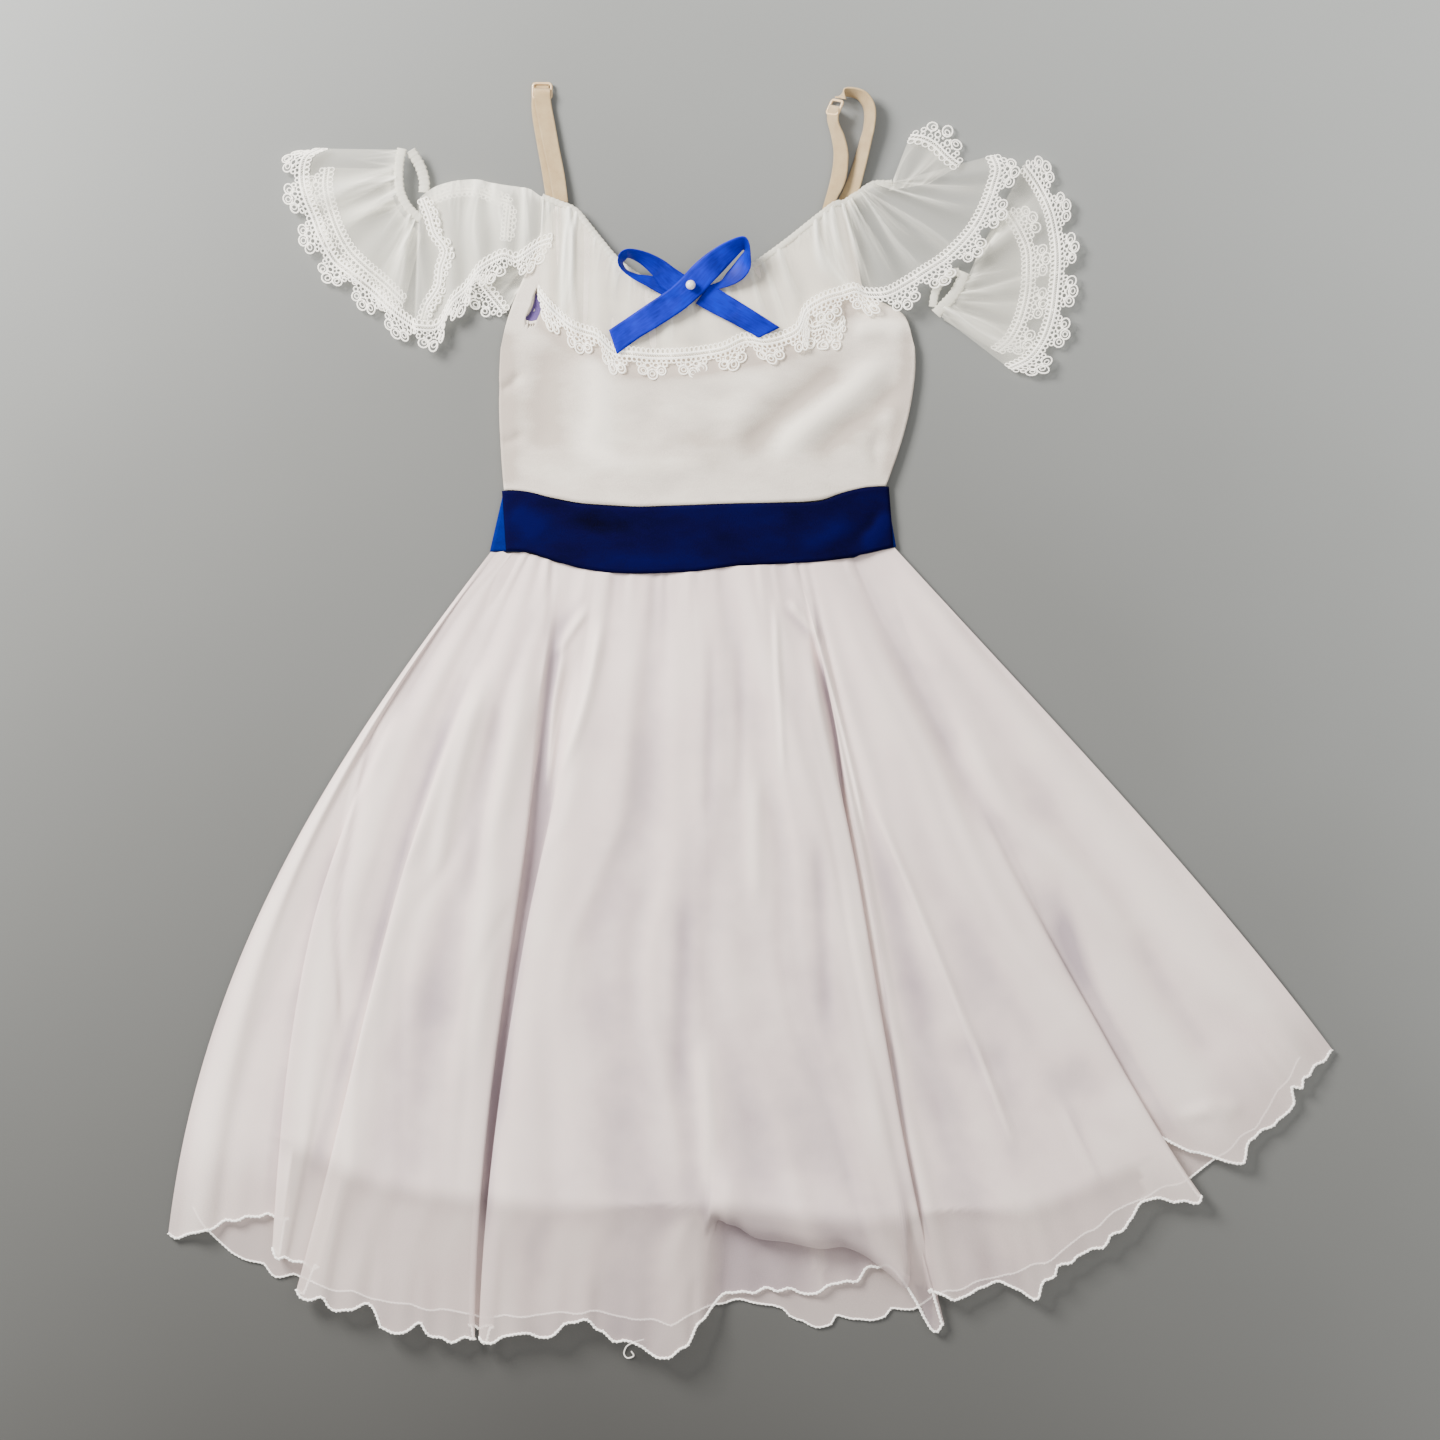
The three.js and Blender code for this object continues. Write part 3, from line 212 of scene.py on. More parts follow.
@dataclass(frozen=True)
class Crease:
    """A soft ridge, or a trough where its height is negative, pressed into a cloth.

    places holds x and y by turns, and fade the share of the run over which each end dies away.
    steep_side narrows the side on its right. Its last field paints light into the cloth's colour along it,
    and shade where it is negative.
    """

    places: tuple[float, ...]
    height: float
    width: float
    fade: float = 0.25
    steep_side: float = 1.0
    # Light painted into the colour along the crease; painted shade where negative
    painted_light: float = 0.0

    def shape(self, x: Array, y: Array) -> Array:
        """Returns the crease's share of its full height at each place."""
        line = spline(np.array(self.places, float).reshape(-1, 2), 4)
        signed, share = distance_to_line(x, y, line)
        ends = smooth(share / self.fade) * smooth((1.0 - share) / self.fade)
        width = np.where(signed > 0, self.width, self.width * self.steep_side)
        return bell(signed / width) * ends


def creases(*rows: tuple) -> tuple[Crease, ...]:
    """Returns creases from rows in the order of their fields."""
    return tuple(Crease(*row) for row in rows)


def painted_light_and_shade(*rows: tuple) -> tuple[Crease, ...]:
    """Returns flat creases that only paint light and shade into the colour, from rows of places, width,
    painted light, fade and steep side.
    """
    usual = (0.25, 1.0)
    return tuple(Crease(row[0], 0.0, row[1], *row[3:], *usual[len(row) - 3:], row[2]) for row in rows)


@dataclass(frozen=True)
class DressForm:
    """The swell of the dress's front over its back."""

    centre_x: float = -34.0
    half_width: float = 120.0
    edge_height: float = 3.4
    crown: float = 5.2
    fall_start_y: float = 225.0
    fall_end_y: float = 320.0
    crown_left_at_neck: float = 0.45

    def height(self, x: Array, y: Array) -> Array:
        """Returns the height of the front's upper face."""
        across = np.clip((x - self.centre_x) / self.half_width, -1.0, 1.0)
        fall = smooth((y - self.fall_start_y) / (self.fall_end_y - self.fall_start_y))
        crown = self.crown * between(1.0, self.crown_left_at_neck, fall)
        return self.edge_height + crown * (1.0 - across * across)


# Finishes


class Nodes:
    """A material's node tree, with short calls that add one node each."""

    def __init__(self, name: str) -> None:
        """Starts a material with the one shader that every finish ends in."""
        self.material = bpy.data.materials.new(name)
        self.material.use_nodes = True
        self.tree = self.material.node_tree
        self.shader = self.tree.nodes["Principled BSDF"]

    def add(self, kind: str, **settings: object) -> bpy.types.Node:
        """Adds a node and sets its named inputs or properties."""
        node = self.tree.nodes.new(kind)
        for key, value in settings.items():
            label = key.replace("_", " ").title() if key not in node.bl_rna.properties else key
            if key in node.bl_rna.properties:
                setattr(node, key, value)
            else:
                node.inputs[label].default_value = value
        return node

    def link(self, source: Socket, target: Socket) -> None:
        """Joins an output to an input."""
        self.tree.links.new(source, target)

    def set(self, **values: object) -> None:
        """Sets constants on the shader's own sockets, by name with underscores."""
        for key, value in values.items():
            self.shader.inputs[key.replace("_", " ")].default_value = value

    def place(self) -> Socket:
        """Returns the place in the object, in metres."""
        return self.add("ShaderNodeTexCoord").outputs["Object"]

    def cloth_place(self) -> Socket:
        """Returns the place across and along the cloth, in metres."""
        return self.add("ShaderNodeUVMap", uv_map="cloth").outputs["UV"]

    def layer(self, name: str) -> Socket:
        """Returns the mesh's own layer of that name."""
        return self.add("ShaderNodeAttribute", attribute_name=name).outputs["Fac"]

    def noise(self, place: Socket, scale: float, detail: float = 3.0) -> Socket:
        """Returns a cloudy noise of that many features a metre."""
        node = self.add("ShaderNodeTexNoise", scale=scale, detail=detail, roughness=0.55)
        self.link(place, node.inputs["Vector"])
        return node.outputs["Fac"]

    def stretched(self, place: Socket, scale: Triple) -> Socket:
        """Returns the place stretched by its own factor on each axis."""
        node = self.add("ShaderNodeMapping")
        node.inputs["Scale"].default_value = scale
        self.link(place, node.inputs["Vector"])
        return node.outputs["Vector"]

    def wave(self, place: Socket, scale: float, across: str, distortion: float = 0.0) -> Socket:
        """Returns even bands of that many turns a metre, over 2 pi, along the X or Y axis."""
        node = self.add("ShaderNodeTexWave", bands_direction=across, scale=scale, distortion=distortion)
        self.link(place, node.inputs["Vector"])
        return node.outputs["Fac"]

    def math(self, operation: str, *values: object) -> Socket:
        """Returns one sum of sockets and numbers."""
        node = self.add("ShaderNodeMath", operation=operation)
        for index, value in enumerate(values):
            if isinstance(value, (int, float)):
                node.inputs[index].default_value = value
            else:
                self.link(value, node.inputs[index])
        return node.outputs["Value"]

    def about_zero(self, value: Socket, strength: float) -> Socket:
        """Returns a value from 0 to 1 moved to lie evenly about 0, times a strength."""
        return self.math("MULTIPLY", self.math("SUBTRACT", value, 0.5), strength)

    def mixed(self, first: Socket, share: float, second: Socket, rest: float) -> Socket:
        """Returns the sum of two values, each times its own share."""
        return self.math("ADD", self.math("MULTIPLY", first, share), self.math("MULTIPLY", second, rest))

    def remap(self, value: Socket, low: float, high: float, to_low: float, to_high: float) -> Socket:
        """Returns the value moved from one range to another and held there."""
        node = self.add("ShaderNodeMapRange")
        for key, number in zip(("From Min", "From Max", "To Min", "To Max"), (low, high, to_low, to_high)):
            node.inputs[key].default_value = number
        self.link(value, node.inputs["Value"])
        return node.outputs["Result"]

    def colours(self, value: Socket, stops: Sequence[tuple[float, Triple]]) -> None:
        """Colours the shader by a value, through stops of place and colour."""
        node = self.add("ShaderNodeValToRGB")
        ramp = node.color_ramp
        while len(ramp.elements) < len(stops):
            ramp.elements.new(0.5)
        for element, (place, colour) in zip(ramp.elements, stops):
            element.position = place
            element.color = (*colour, 1.0)
        self.link(value, node.inputs["Fac"])
        self.link(node.outputs["Color"], self.shader.inputs["Base Color"])

    def bump(self, height: Socket, distance: float, strength: float = 1.0) -> None:
        """Presses a height into the shader's normal, distance metres deep."""
        node = self.add("ShaderNodeBump", strength=strength, distance=distance)
        self.link(height, node.inputs["Height"])
        self.link(node.outputs["Normal"], self.shader.inputs["Normal"])


def linear(red: int, green: int, blue: int) -> Triple:
    """Returns a screen colour as the linear one that shaders take."""
    def channel(value: int) -> float:
        """Returns one channel in linear light."""
        share = value / 255.0
        return share / 12.92 if share <= 0.04045 else ((share + 0.055) / 1.055) ** 2.4

    return channel(red), channel(green), channel(blue)


@dataclass(frozen=True)
class Chiffon:
    """A sheer crepe weave, whose cover follows the mesh's own cover layer and whose colour follows its
    painted light and shade.
    """

    name: str
    pale: Triple
    deep: Triple
    shade: Triple
    least_cover: float
    most_cover: float
    sheen: float = 0.2
    weave: float = 1900.0
    clouds: float = 20.0
    grain: float = 0.22

    def material(self) -> Material:
        """Returns the finish with its weave, its cover, and the light and shade painted into its colour."""
        nodes = Nodes(self.name)
        nodes.set(Roughness=0.85, Sheen_Weight=self.sheen, Sheen_Roughness=0.5, Specular_IOR_Level=0.15)
        cloth = nodes.cloth_place()
        cover = nodes.layer("cover")
        tone = nodes.layer("tone")
        cloudy = nodes.about_zero(nodes.noise(nodes.place(), self.clouds), 0.5)
        crepe = nodes.noise(nodes.stretched(cloth, (1.0, 1.35, 1.0)), self.weave, 1.0)
        # Colour by the painted light and shade, with random clouds
        stops = ((0.1, self.shade), (0.5, self.deep), (0.8, self.pale))
        nodes.colours(nodes.math("ADD", tone, cloudy), stops)
        sheer = nodes.remap(cover, 0.0, 1.0, self.least_cover, self.most_cover)
        grain = nodes.about_zero(crepe, self.grain)
        nodes.link(nodes.math("ADD", sheer, grain), nodes.shader.inputs["Alpha"])
        nodes.bump(crepe, 0.00012)
        return nodes.material


@dataclass(frozen=True)
class Velvet:
    """A short pile that lies a little this way and that."""

    name: str
    pale: Triple
    deep: Triple
    sheen: Triple
    sheen_weight: float
    pile: float = 1500.0

    def material(self) -> Material:
        """Returns the finish with its pile, its brushed patches and the light and shade painted by its
        layer.
        """
        nodes = Nodes(self.name)
        nodes.set(Roughness=0.9, Specular_IOR_Level=0.06)
        nodes.set(Sheen_Weight=self.sheen_weight, Sheen_Roughness=0.35, Sheen_Tint=(*self.sheen, 1.0))
        place = nodes.place()
        brushed = nodes.noise(nodes.stretched(place, (1.0, 2.2, 1.0)), 34.0)
        pile = nodes.noise(place, self.pile, 2.0)
        shaded = nodes.layer("tone")
        worn = nodes.mixed(brushed, 0.5, pile, 0.3)
        # Painted light and shade added to the pile's own random patches
        lit = nodes.math("ADD", worn, nodes.math("SUBTRACT", shaded, 0.4))
        nodes.colours(lit, ((0.2, self.deep), (0.75, self.pale)))
        nodes.bump(pile, 0.0002)
        return nodes.material


@dataclass(frozen=True)
class Thread:
    """Tightly twisted cotton thread."""

    name: str
    pale: Triple
    deep: Triple
    painted_glow: float
    twist: float = 1300.0

    def material(self) -> Material:
        """Returns the finish with its twist and a painted glow: light that the thread gives off itself so
        that it looks brighter.
        """
        nodes = Nodes(self.name)
        nodes.set(Roughness=0.72, Sheen_Weight=0.2, Specular_IOR_Level=0.3)
        # Painted glow: the thread gives off a little light of its own
        nodes.set(Emission_Color=(1.0, 0.965, 0.88, 1.0), Emission_Strength=self.painted_glow)
        place = nodes.place()
        twist = nodes.noise(nodes.stretched(place, (1.0, 1.0, 2.0)), self.twist, 2.0)
        nodes.colours(twist, ((0.3, self.deep), (0.6, self.pale)))
        nodes.bump(twist, 0.00025)
        return nodes.material


@dataclass(frozen=True)
class Webbing:
    """Woven elastic with fine ribs across it and a satin face between two plain edges."""

    name: str
    pale: Triple
    deep: Triple
    ribs: float = 900.0

    def material(self) -> Material:
        """Returns the finish with its ribs."""
        nodes = Nodes(self.name)
        nodes.set(Roughness=0.5, Sheen_Weight=0.3, Specular_IOR_Level=0.4)
        cloth = nodes.cloth_place()
        ribs = nodes.wave(cloth, self.ribs, "X")
        threads = nodes.wave(cloth, self.ribs * 1.3, "Y", 2.0)
        weave = nodes.math("MULTIPLY", ribs, nodes.math("ADD", nodes.math("MULTIPLY", threads, 0.5), 0.5))
        worn = nodes.noise(nodes.place(), 160.0)
        nodes.colours(nodes.mixed(weave, 0.5, worn, 0.5), ((0.2, self.deep), (0.6, self.pale)))
        nodes.bump(weave, 0.0003)
        return nodes.material


@dataclass(frozen=True)
class Satin:
    """Satin ribbon with long floats along it."""

    name: str
    pale: Triple
    deep: Triple
    floats: float = 1100.0

    def material(self) -> Material:
        """Returns the finish with its floats and soft shine."""
        nodes = Nodes(self.name)
        nodes.set(Roughness=0.5, Specular_IOR_Level=0.12, Anisotropic=0.4)
        cloth = nodes.cloth_place()
        floats = nodes.noise(nodes.stretched(cloth, (0.12, 1.0, 1.0)), self.floats, 2.0)
        soft = nodes.noise(nodes.place(), 60.0)
        nodes.colours(nodes.mixed(floats, 0.35, soft, 0.65), ((0.35, self.deep), (0.62, self.pale)))
        nodes.bump(floats, 0.00012)
        return nodes.material


@dataclass(frozen=True)
class Moulded:
    """Moulded plastic or glass with a faint unevenness."""

    name: str
    pale: Triple
    deep: Triple
    roughness: float
    coat: float

    def material(self) -> Material:
        """Returns the finish with its polish."""
        nodes = Nodes(self.name)
        nodes.set(Roughness=self.roughness, Coat_Weight=self.coat, Coat_Roughness=0.12)
        mottle = nodes.noise(nodes.place(), 420.0)
        nodes.colours(mottle, ((0.35, self.deep), (0.65, self.pale)))
        nodes.bump(mottle, 0.0001)
        return nodes.material


@dataclass(frozen=True)
class Surface:
    """The pale painted board that the dress lies on, with light and shade painted into its colour."""

    name: str = "pale_board"
    pale: Triple = linear(164, 168, 167)
    middle: Triple = linear(115, 117, 115)
    deep: Triple = linear(74, 74, 72)
    middle_value: float = 0.37
    painted_light_along: float = 0.69
    painted_light_across: float = 0.32
    painted_light_to_sides: float = 1.0

    def material(self) -> Material:
        """Returns the finish, with light painted in towards the far edge where the window is, to the right
        and to both sides, shade painted towards the near edge, and faint clouds.
        """
        nodes = Nodes(self.name)
        nodes.set(Roughness=0.55, Specular_IOR_Level=0.3)
        split = nodes.add("ShaderNodeSeparateXYZ")
        nodes.link(nodes.place(), split.inputs["Vector"])
        x, y = split.outputs["X"], split.outputs["Y"]
        # Painted light and shade: paler towards the far edge, the right and both sides
        along = nodes.math("MULTIPLY_ADD", y, self.painted_light_along, self.middle_value)
        across = nodes.math("MULTIPLY", x, self.painted_light_across)
        sides = nodes.math("MULTIPLY", nodes.math("MULTIPLY", x, x), self.painted_light_to_sides)
        cloud = nodes.about_zero(nodes.noise(nodes.place(), 2.5), 0.14)
        value = nodes.math("ADD", nodes.math("ADD", along, across), nodes.math("ADD", sides, cloud))
        nodes.colours(value, ((0.0, self.deep), (0.5, self.middle), (1.0, self.pale)))
        nodes.bump(nodes.noise(nodes.place(), 700.0), 0.00005)
        return nodes.material


class Finish(Enum):
    """The dress's finishes, by the record's slots."""

    BODICE = Velvet("ivory_velvet", linear(255, 247, 233), linear(196, 184, 172), linear(255, 250, 240),
                    0.3)
    # Dark violet painted shade for the bodice's inner face in the armhole
    INSIDE = Velvet("velvet_inside_painted_shade", linear(112, 94, 150), linear(70, 58, 108), linear(160, 150, 180), 0.1)
    WAISTBAND = Velvet("blue_velvet", linear(5, 0, 60), linear(0, 0, 8), linear(20, 20, 255), 0.012)
    # The waistband's blue velvet again, painted brighter blue as the sheen where the band shows at its ends
    BAND_PAINTED_SHEEN = Velvet("blue_velvet_painted_sheen", linear(3, 34, 132), linear(2, 10, 70), linear(10, 80, 255), 0.15)
    SKIRT = Chiffon("white_chiffon", linear(255, 240, 232), linear(243, 225, 220), linear(182, 166, 172),
                    0.22, 0.98)
    LINING = Chiffon("lining_knit", linear(250, 236, 230), linear(238, 222, 218), linear(180, 168, 172),
                     0.9, 0.97)
    RUFFLE = Chiffon("sheer_ruffle", linear(255, 254, 242), linear(250, 248, 234), linear(206, 205, 194),
                     0.05, 0.92, 0.0)
    # The lace and hem threads carry a painted glow
    LACE = Thread("lace_thread", linear(255, 253, 244), linear(250, 244, 230), painted_glow=0.9)
    HEM = Thread("hem_thread", linear(255, 252, 248), linear(246, 241, 236), painted_glow=0.6)
    WEBBING = Webbing("nude_elastic", linear(243, 216, 164), linear(206, 170, 118))
    SLIDER = Moulded("beige_slider", linear(236, 206, 160), linear(222, 188, 140), 0.28, 0.4)
    SATIN = Satin("blue_satin", linear(0, 26, 184), linear(0, 13, 124))
    PEARL = Moulded("pearl_glass", linear(244, 240, 238), linear(226, 222, 224), 0.16, 0.7)

    def material(self) -> Material:
        """Returns the finish's material, made once."""
        made = bpy.data.materials.get(self.value.name)
        return made or self.value.material()


# Pieces


def add_layer(mesh: bpy.types.Mesh, name: str, values: Array) -> None:
    """Adds a layer that holds one number for each vertex."""
    layer = mesh.attributes.new(name, "FLOAT", "POINT")
    layer.data.foreach_set("value", values.astype(np.float32).ravel())


@dataclass(frozen=True)
class Piece:
    """One visible piece: its name, its finish, a slot and the imported parts that it replaces."""

    name: str
    finish: Finish
    slot: str
    replaces: tuple[str, ...] = ()

    def build(self, form: Cloth | Cords, placement: Placement, **options: object) -> Object:
        """Makes the piece from its cloth or cords and finishes it up."""
        return self.finish_up(form.object(self.name, placement, **options))

    def finish_up(self, obj: Object) -> Object:
        """Gives the object its finish and its layers, hangs it on the body and hides the parts that it
        replaces.

        Args:
            obj: The piece's object, with its mesh in its final place.

        Returns:
            The same object.
        """
        obj.data.materials.append(self.finish.material())
        # Pieces without their own painted light and shade get the middle value
        for layer, value in (("tone", MIDDLE_PAINTED_SHADING), ("cover", CORD_COVER)):
            if layer not in obj.data.attributes:
                add_layer(obj.data, layer, np.full(len(obj.data.vertices), value))
        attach(obj, BODY)
        if self.replaces:
            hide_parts(*self.replaces)
        log.info("%s: %d faces", self.name, len(obj.data.polygons))
        return obj


def mesh_object(name: str, points: Array, faces: Sequence[Sequence[int]]) -> Object:
    """Makes a smooth-shaded mesh object.

    Args:
        name: The piece's name.
        points: The vertices, in metres.
        faces: The faces, each a row of vertex numbers.

    Returns:
        The linked object.
    """
    mesh = bpy.data.meshes.new(name)
    mesh.from_pydata(points.tolist(), [], faces)
    mesh.polygons.foreach_set("use_smooth", np.ones(len(mesh.polygons), bool))
    mesh.update()
    obj = bpy.data.objects.new(name, mesh)
    bpy.context.scene.collection.objects.link(obj)
    return obj


def grid_faces(columns: int, rows: int, first: int = 0) -> Array:
    """Returns the four-sided faces of a grid whose vertices run row by row within each column."""
    i, j = np.meshgrid(np.arange(columns - 1), np.arange(rows - 1), indexing="ij")
    a = (first + i * rows + j).ravel()
    return np.stack([a, a + 1, a + rows + 1, a + rows], axis=1)


@dataclass
class Cloth:
    """A cloth's surface: points across and along it, in the tables' millimetres, how dense it looks, and the
    light and shade painted into its colour.
    """

    points: Array
    # Light painted on a crease's ridge and shade in its trough, for each millimetre of its height
    painted_light_per_height: float = 0.05
    cover: Array = field(init=False)
    tone: Array = field(init=False)

    def __post_init__(self) -> None:
        """Starts with an even cover and with no light or shade painted."""
        self.cover = np.ones(self.points.shape[:2])
        self.tone = np.full(self.points.shape[:2], MIDDLE_PAINTED_SHADING)

    @property
    def x(self) -> Array:
        """The points' places across the plan."""
        return self.points[..., 0]

    @property
    def y(self) -> Array:
        """The points' places along the plan."""
        return self.points[..., 1]

    def raise_by(self, height: Array) -> None:
        """Lifts every point by its own height."""
        self.points[..., 2] += height

    def press(self, creases: Iterable[Crease]) -> None:
        """Presses the given creases into the cloth and paints their light and shade into its colour."""
        for crease in creases:
            shape = crease.shape(self.x, self.y)
            self.tone += shape * (crease.painted_light + self.painted_light_per_height * crease.height)
            self.raise_by(shape * crease.height)

    def paint_fold_light(self, reach: int, strength: float) -> None:
        """Paints light on the tops of the folds and shade at their feet.

        Args:
            reach: How many columns on either side a fold is measured against.
            strength: The painted change of brightness for each millimetre.
        """
        height = self.points[..., 2]
        broad = np.cumsum(np.pad(height, ((reach + 1, reach), (0, 0)), mode="edge"), axis=0)
        broad = (broad[2 * reach + 1:] - broad[:-2 * reach - 1]) / (2 * reach + 1)
        self.tone += strength * (height - broad)

    def keep_above(self, height: Values) -> None:
        """Lifts every point that lies lower than the height to it."""
        self.points[..., 2] = np.maximum(self.points[..., 2], height)

    def edge(self, side: str) -> Array:
        """Returns the line of points along one side of the cloth."""
        sides = {"inner": self.points[:, 0], "outer": self.points[:, -1],
                 "first": self.points[0], "last": self.points[-1]}
        return sides[side]

    def object(self, name: str, placement: Placement, wall: float = 0.0,
               left_out: Optional[Array] = None) -> Object:
        """Builds the cloth's mesh, with its weave's map, its cover and its painted light and shade.

        Args:
            name: The piece's name.
            placement: Brings the points into the model's frame.
            wall: The cloth's thickness in millimetres, under the surface, or 0 for a sheer one.
            left_out: True at the points round which no face is made.

        Returns:
            The linked object.
        """
        columns, rows, _ = self.points.shape
        faces = grid_faces(columns, rows)
        upward = np.cross(self.points[1, 1] - self.points[0, 1], self.points[0, 1] - self.points[0, 0])[2]
        if upward < 0:
            faces = faces[:, ::-1]
        if left_out is not None:
            faces = faces[~left_out.ravel()[faces].any(axis=1)]
        obj = mesh_object(name, placement.place(self.points.reshape(-1, 3)), faces.tolist())
        middle = self.points[:, rows // 2]
        across = lengths_along(middle) * MM
        along = lengths_along(self.points[columns // 2]) * MM
        place = np.stack(np.meshgrid(across, along, indexing="ij"), axis=-1).reshape(-1, 2)
        corners = np.zeros(len(obj.data.loops), np.int32)
        obj.data.loops.foreach_get("vertex_index", corners)
        layer = obj.data.uv_layers.new(name="cloth")
        layer.data.foreach_set("uv", place[corners].astype(np.float32).ravel())
        add_layer(obj.data, "cover", np.clip(self.cover, 0.0, 1.0))
        add_layer(obj.data, "tone", np.clip(self.tone, 0.0, 1.0))
        if wall > 0:
            thicken(obj, wall)
        return obj


def thicken(obj: Object, wall: float) -> None:
    """Gives a sheet its wall, in millimetres, below the surface that it has."""
    solid = obj.modifiers.new("wall", "SOLIDIFY")
    solid.thickness = wall * MM
    solid.offset = -1.0
    bpy.context.view_layer.update()
    shaped = bpy.data.meshes.new_from_object(obj.evaluated_get(bpy.context.evaluated_depsgraph_get()))
    obj.modifiers.clear()
    obj.data = shaped


@dataclass
class Cords:
    """Many fine round threads that become one mesh."""

    sides: int = 5
    points: list[Array] = field(default_factory=list)
    faces: list[Array] = field(default_factory=list)
    count: int = 0

    def add(self, line: Array, radius: Values, closed: bool = False, flat: float = 1.0) -> None:
        """Adds a thread.

        Args:
            line: The thread's middle line, in the tables' millimetres.
            radius: Its radius, one or one for each point.
            closed: True for a ring, whose last point isn't its first again.
            flat: Its height as a share of its width.
        """
        count = len(line)
        if closed:
            tangent = unit(np.roll(line, -1, axis=0) - np.roll(line, 1, axis=0))
        else:
            tangent = directions(line)
        up = np.array([0.0, 0.0, 1.0])
        steep = np.abs(tangent[:, 2]) > 0.95
        reference = np.where(steep[:, None], np.array([0.0, 1.0, 0.0]), up)
        side = unit(np.cross(tangent, reference))
        over = np.cross(side, tangent)
        turn = np.arange(self.sides) * FULL_TURN / self.sides
        width = np.broadcast_to(np.asarray(radius, float), (count,))[:, None, None]
        ring = side[:, None] * np.cos(turn)[:, None] + over[:, None] * flat * np.sin(turn)[:, None]
        self.points.append((line[:, None] + ring * width).reshape(-1, 3))
        spans = count if closed else count - 1
        i, j = np.meshgrid(np.arange(spans), np.arange(self.sides), indexing="ij")
        after, beside = (i + 1) % count, (j + 1) % self.sides
        quads = np.stack([i * self.sides + j, i * self.sides + beside,
                          after * self.sides + beside, after * self.sides + j], axis=-1)
        self.faces.append(quads.reshape(-1, 4) + self.count)
        if not closed:
            for end, order in ((0, -1), (count - 1, 1)):
                cap = (end * self.sides + np.arange(self.sides))[::order] + self.count
                corner = np.full(self.sides - 2, cap[0])
                self.faces.append(np.stack([corner, cap[1:-1], cap[2:], cap[2:]], axis=1))
        self.count += count * self.sides

    def object(self, name: str, placement: Placement) -> Object:
        """Joins the threads into one object."""
        rows = [row[:3] if row[2] == row[3] else row for part in self.faces for row in part.tolist()]
        return mesh_object(name, placement.place(np.concatenate(self.points)), rows)


# The skirt


@dataclass(frozen=True)
class BandSection:
    """One place along the waistband, with the two edges there."""

    upper: Pair
    lower: Pair


@dataclass(frozen=True)
class FoldLine:
    """One line of the skirt from the waistband to the hem.

    upper and lower lie a third and two thirds of the way down. rise is the height over the lowest
    front cloth. At a lap, over is 1 where the right panel is on top and -1 where the left one is,
    step is how far it stands over the lower one, tuck how far the cloth runs under it, and start
    how far down the lap opens.
    """

    waist_x: float
    upper: Pair
    lower: Pair
    hem: Pair
    rise: float = 0.0
    over: int = 0
    step: float = 0.0
    tuck: float = 0.0
    start: float = 0.0


BAND = tuple(BandSection(row[:2], row[2:]) for row in (
    (-152.5, 141.5, -150, 104.5), (-140, 141, -138, 103.5), (-125, 137, -120, 97.5), (-108, 133.5, -103, 93),
    (-90, 132, -88, 91), (-70, 131, -70, 90.3), (-38, 132, -36, 91.5), (-12, 133, -12, 95),
    (15, 133.5, 15, 96.3), (41, 134.5, 42, 97.8), (58, 140.5, 62, 100.5), (72, 143.5, 76, 104),
    (83, 144, 86, 106.5),
))
BAND_BACK_LEFT = BandSection((-154, 139), (-162, 104))
BAND_BACK_RIGHT = BandSection((83.5, 141), (89.5, 107))
SEAM_GAP = 0.5


def fold_lines(*rows: tuple[float, ...]) -> tuple[FoldLine, ...]:
    """Returns fold lines from rows: the waist's x, x and y at the three places, and what a lap adds."""
    return tuple(FoldLine(row[0], row[1:3], row[3:5], row[5:7], *row[7:]) for row in rows)


def band_edge(sections: Sequence[BandSection], edge: str, x: Values) -> Array:
    """Returns the height on the plan of a band's upper or lower edge at x."""
    places = np.array([getattr(section, edge) for section in sections])
    return np.interp(x, places[:, 0], places[:, 1])


def back_band() -> tuple[BandSection, ...]:
    """Returns the sections of the waistband's back, which shows past the front's two ends."""
    middle = tuple(BandSection((s.upper[0], s.upper[1] - 1), s.lower) for s in BAND[1:-1])
    return (BAND_BACK_LEFT, *middle, BAND_BACK_RIGHT)


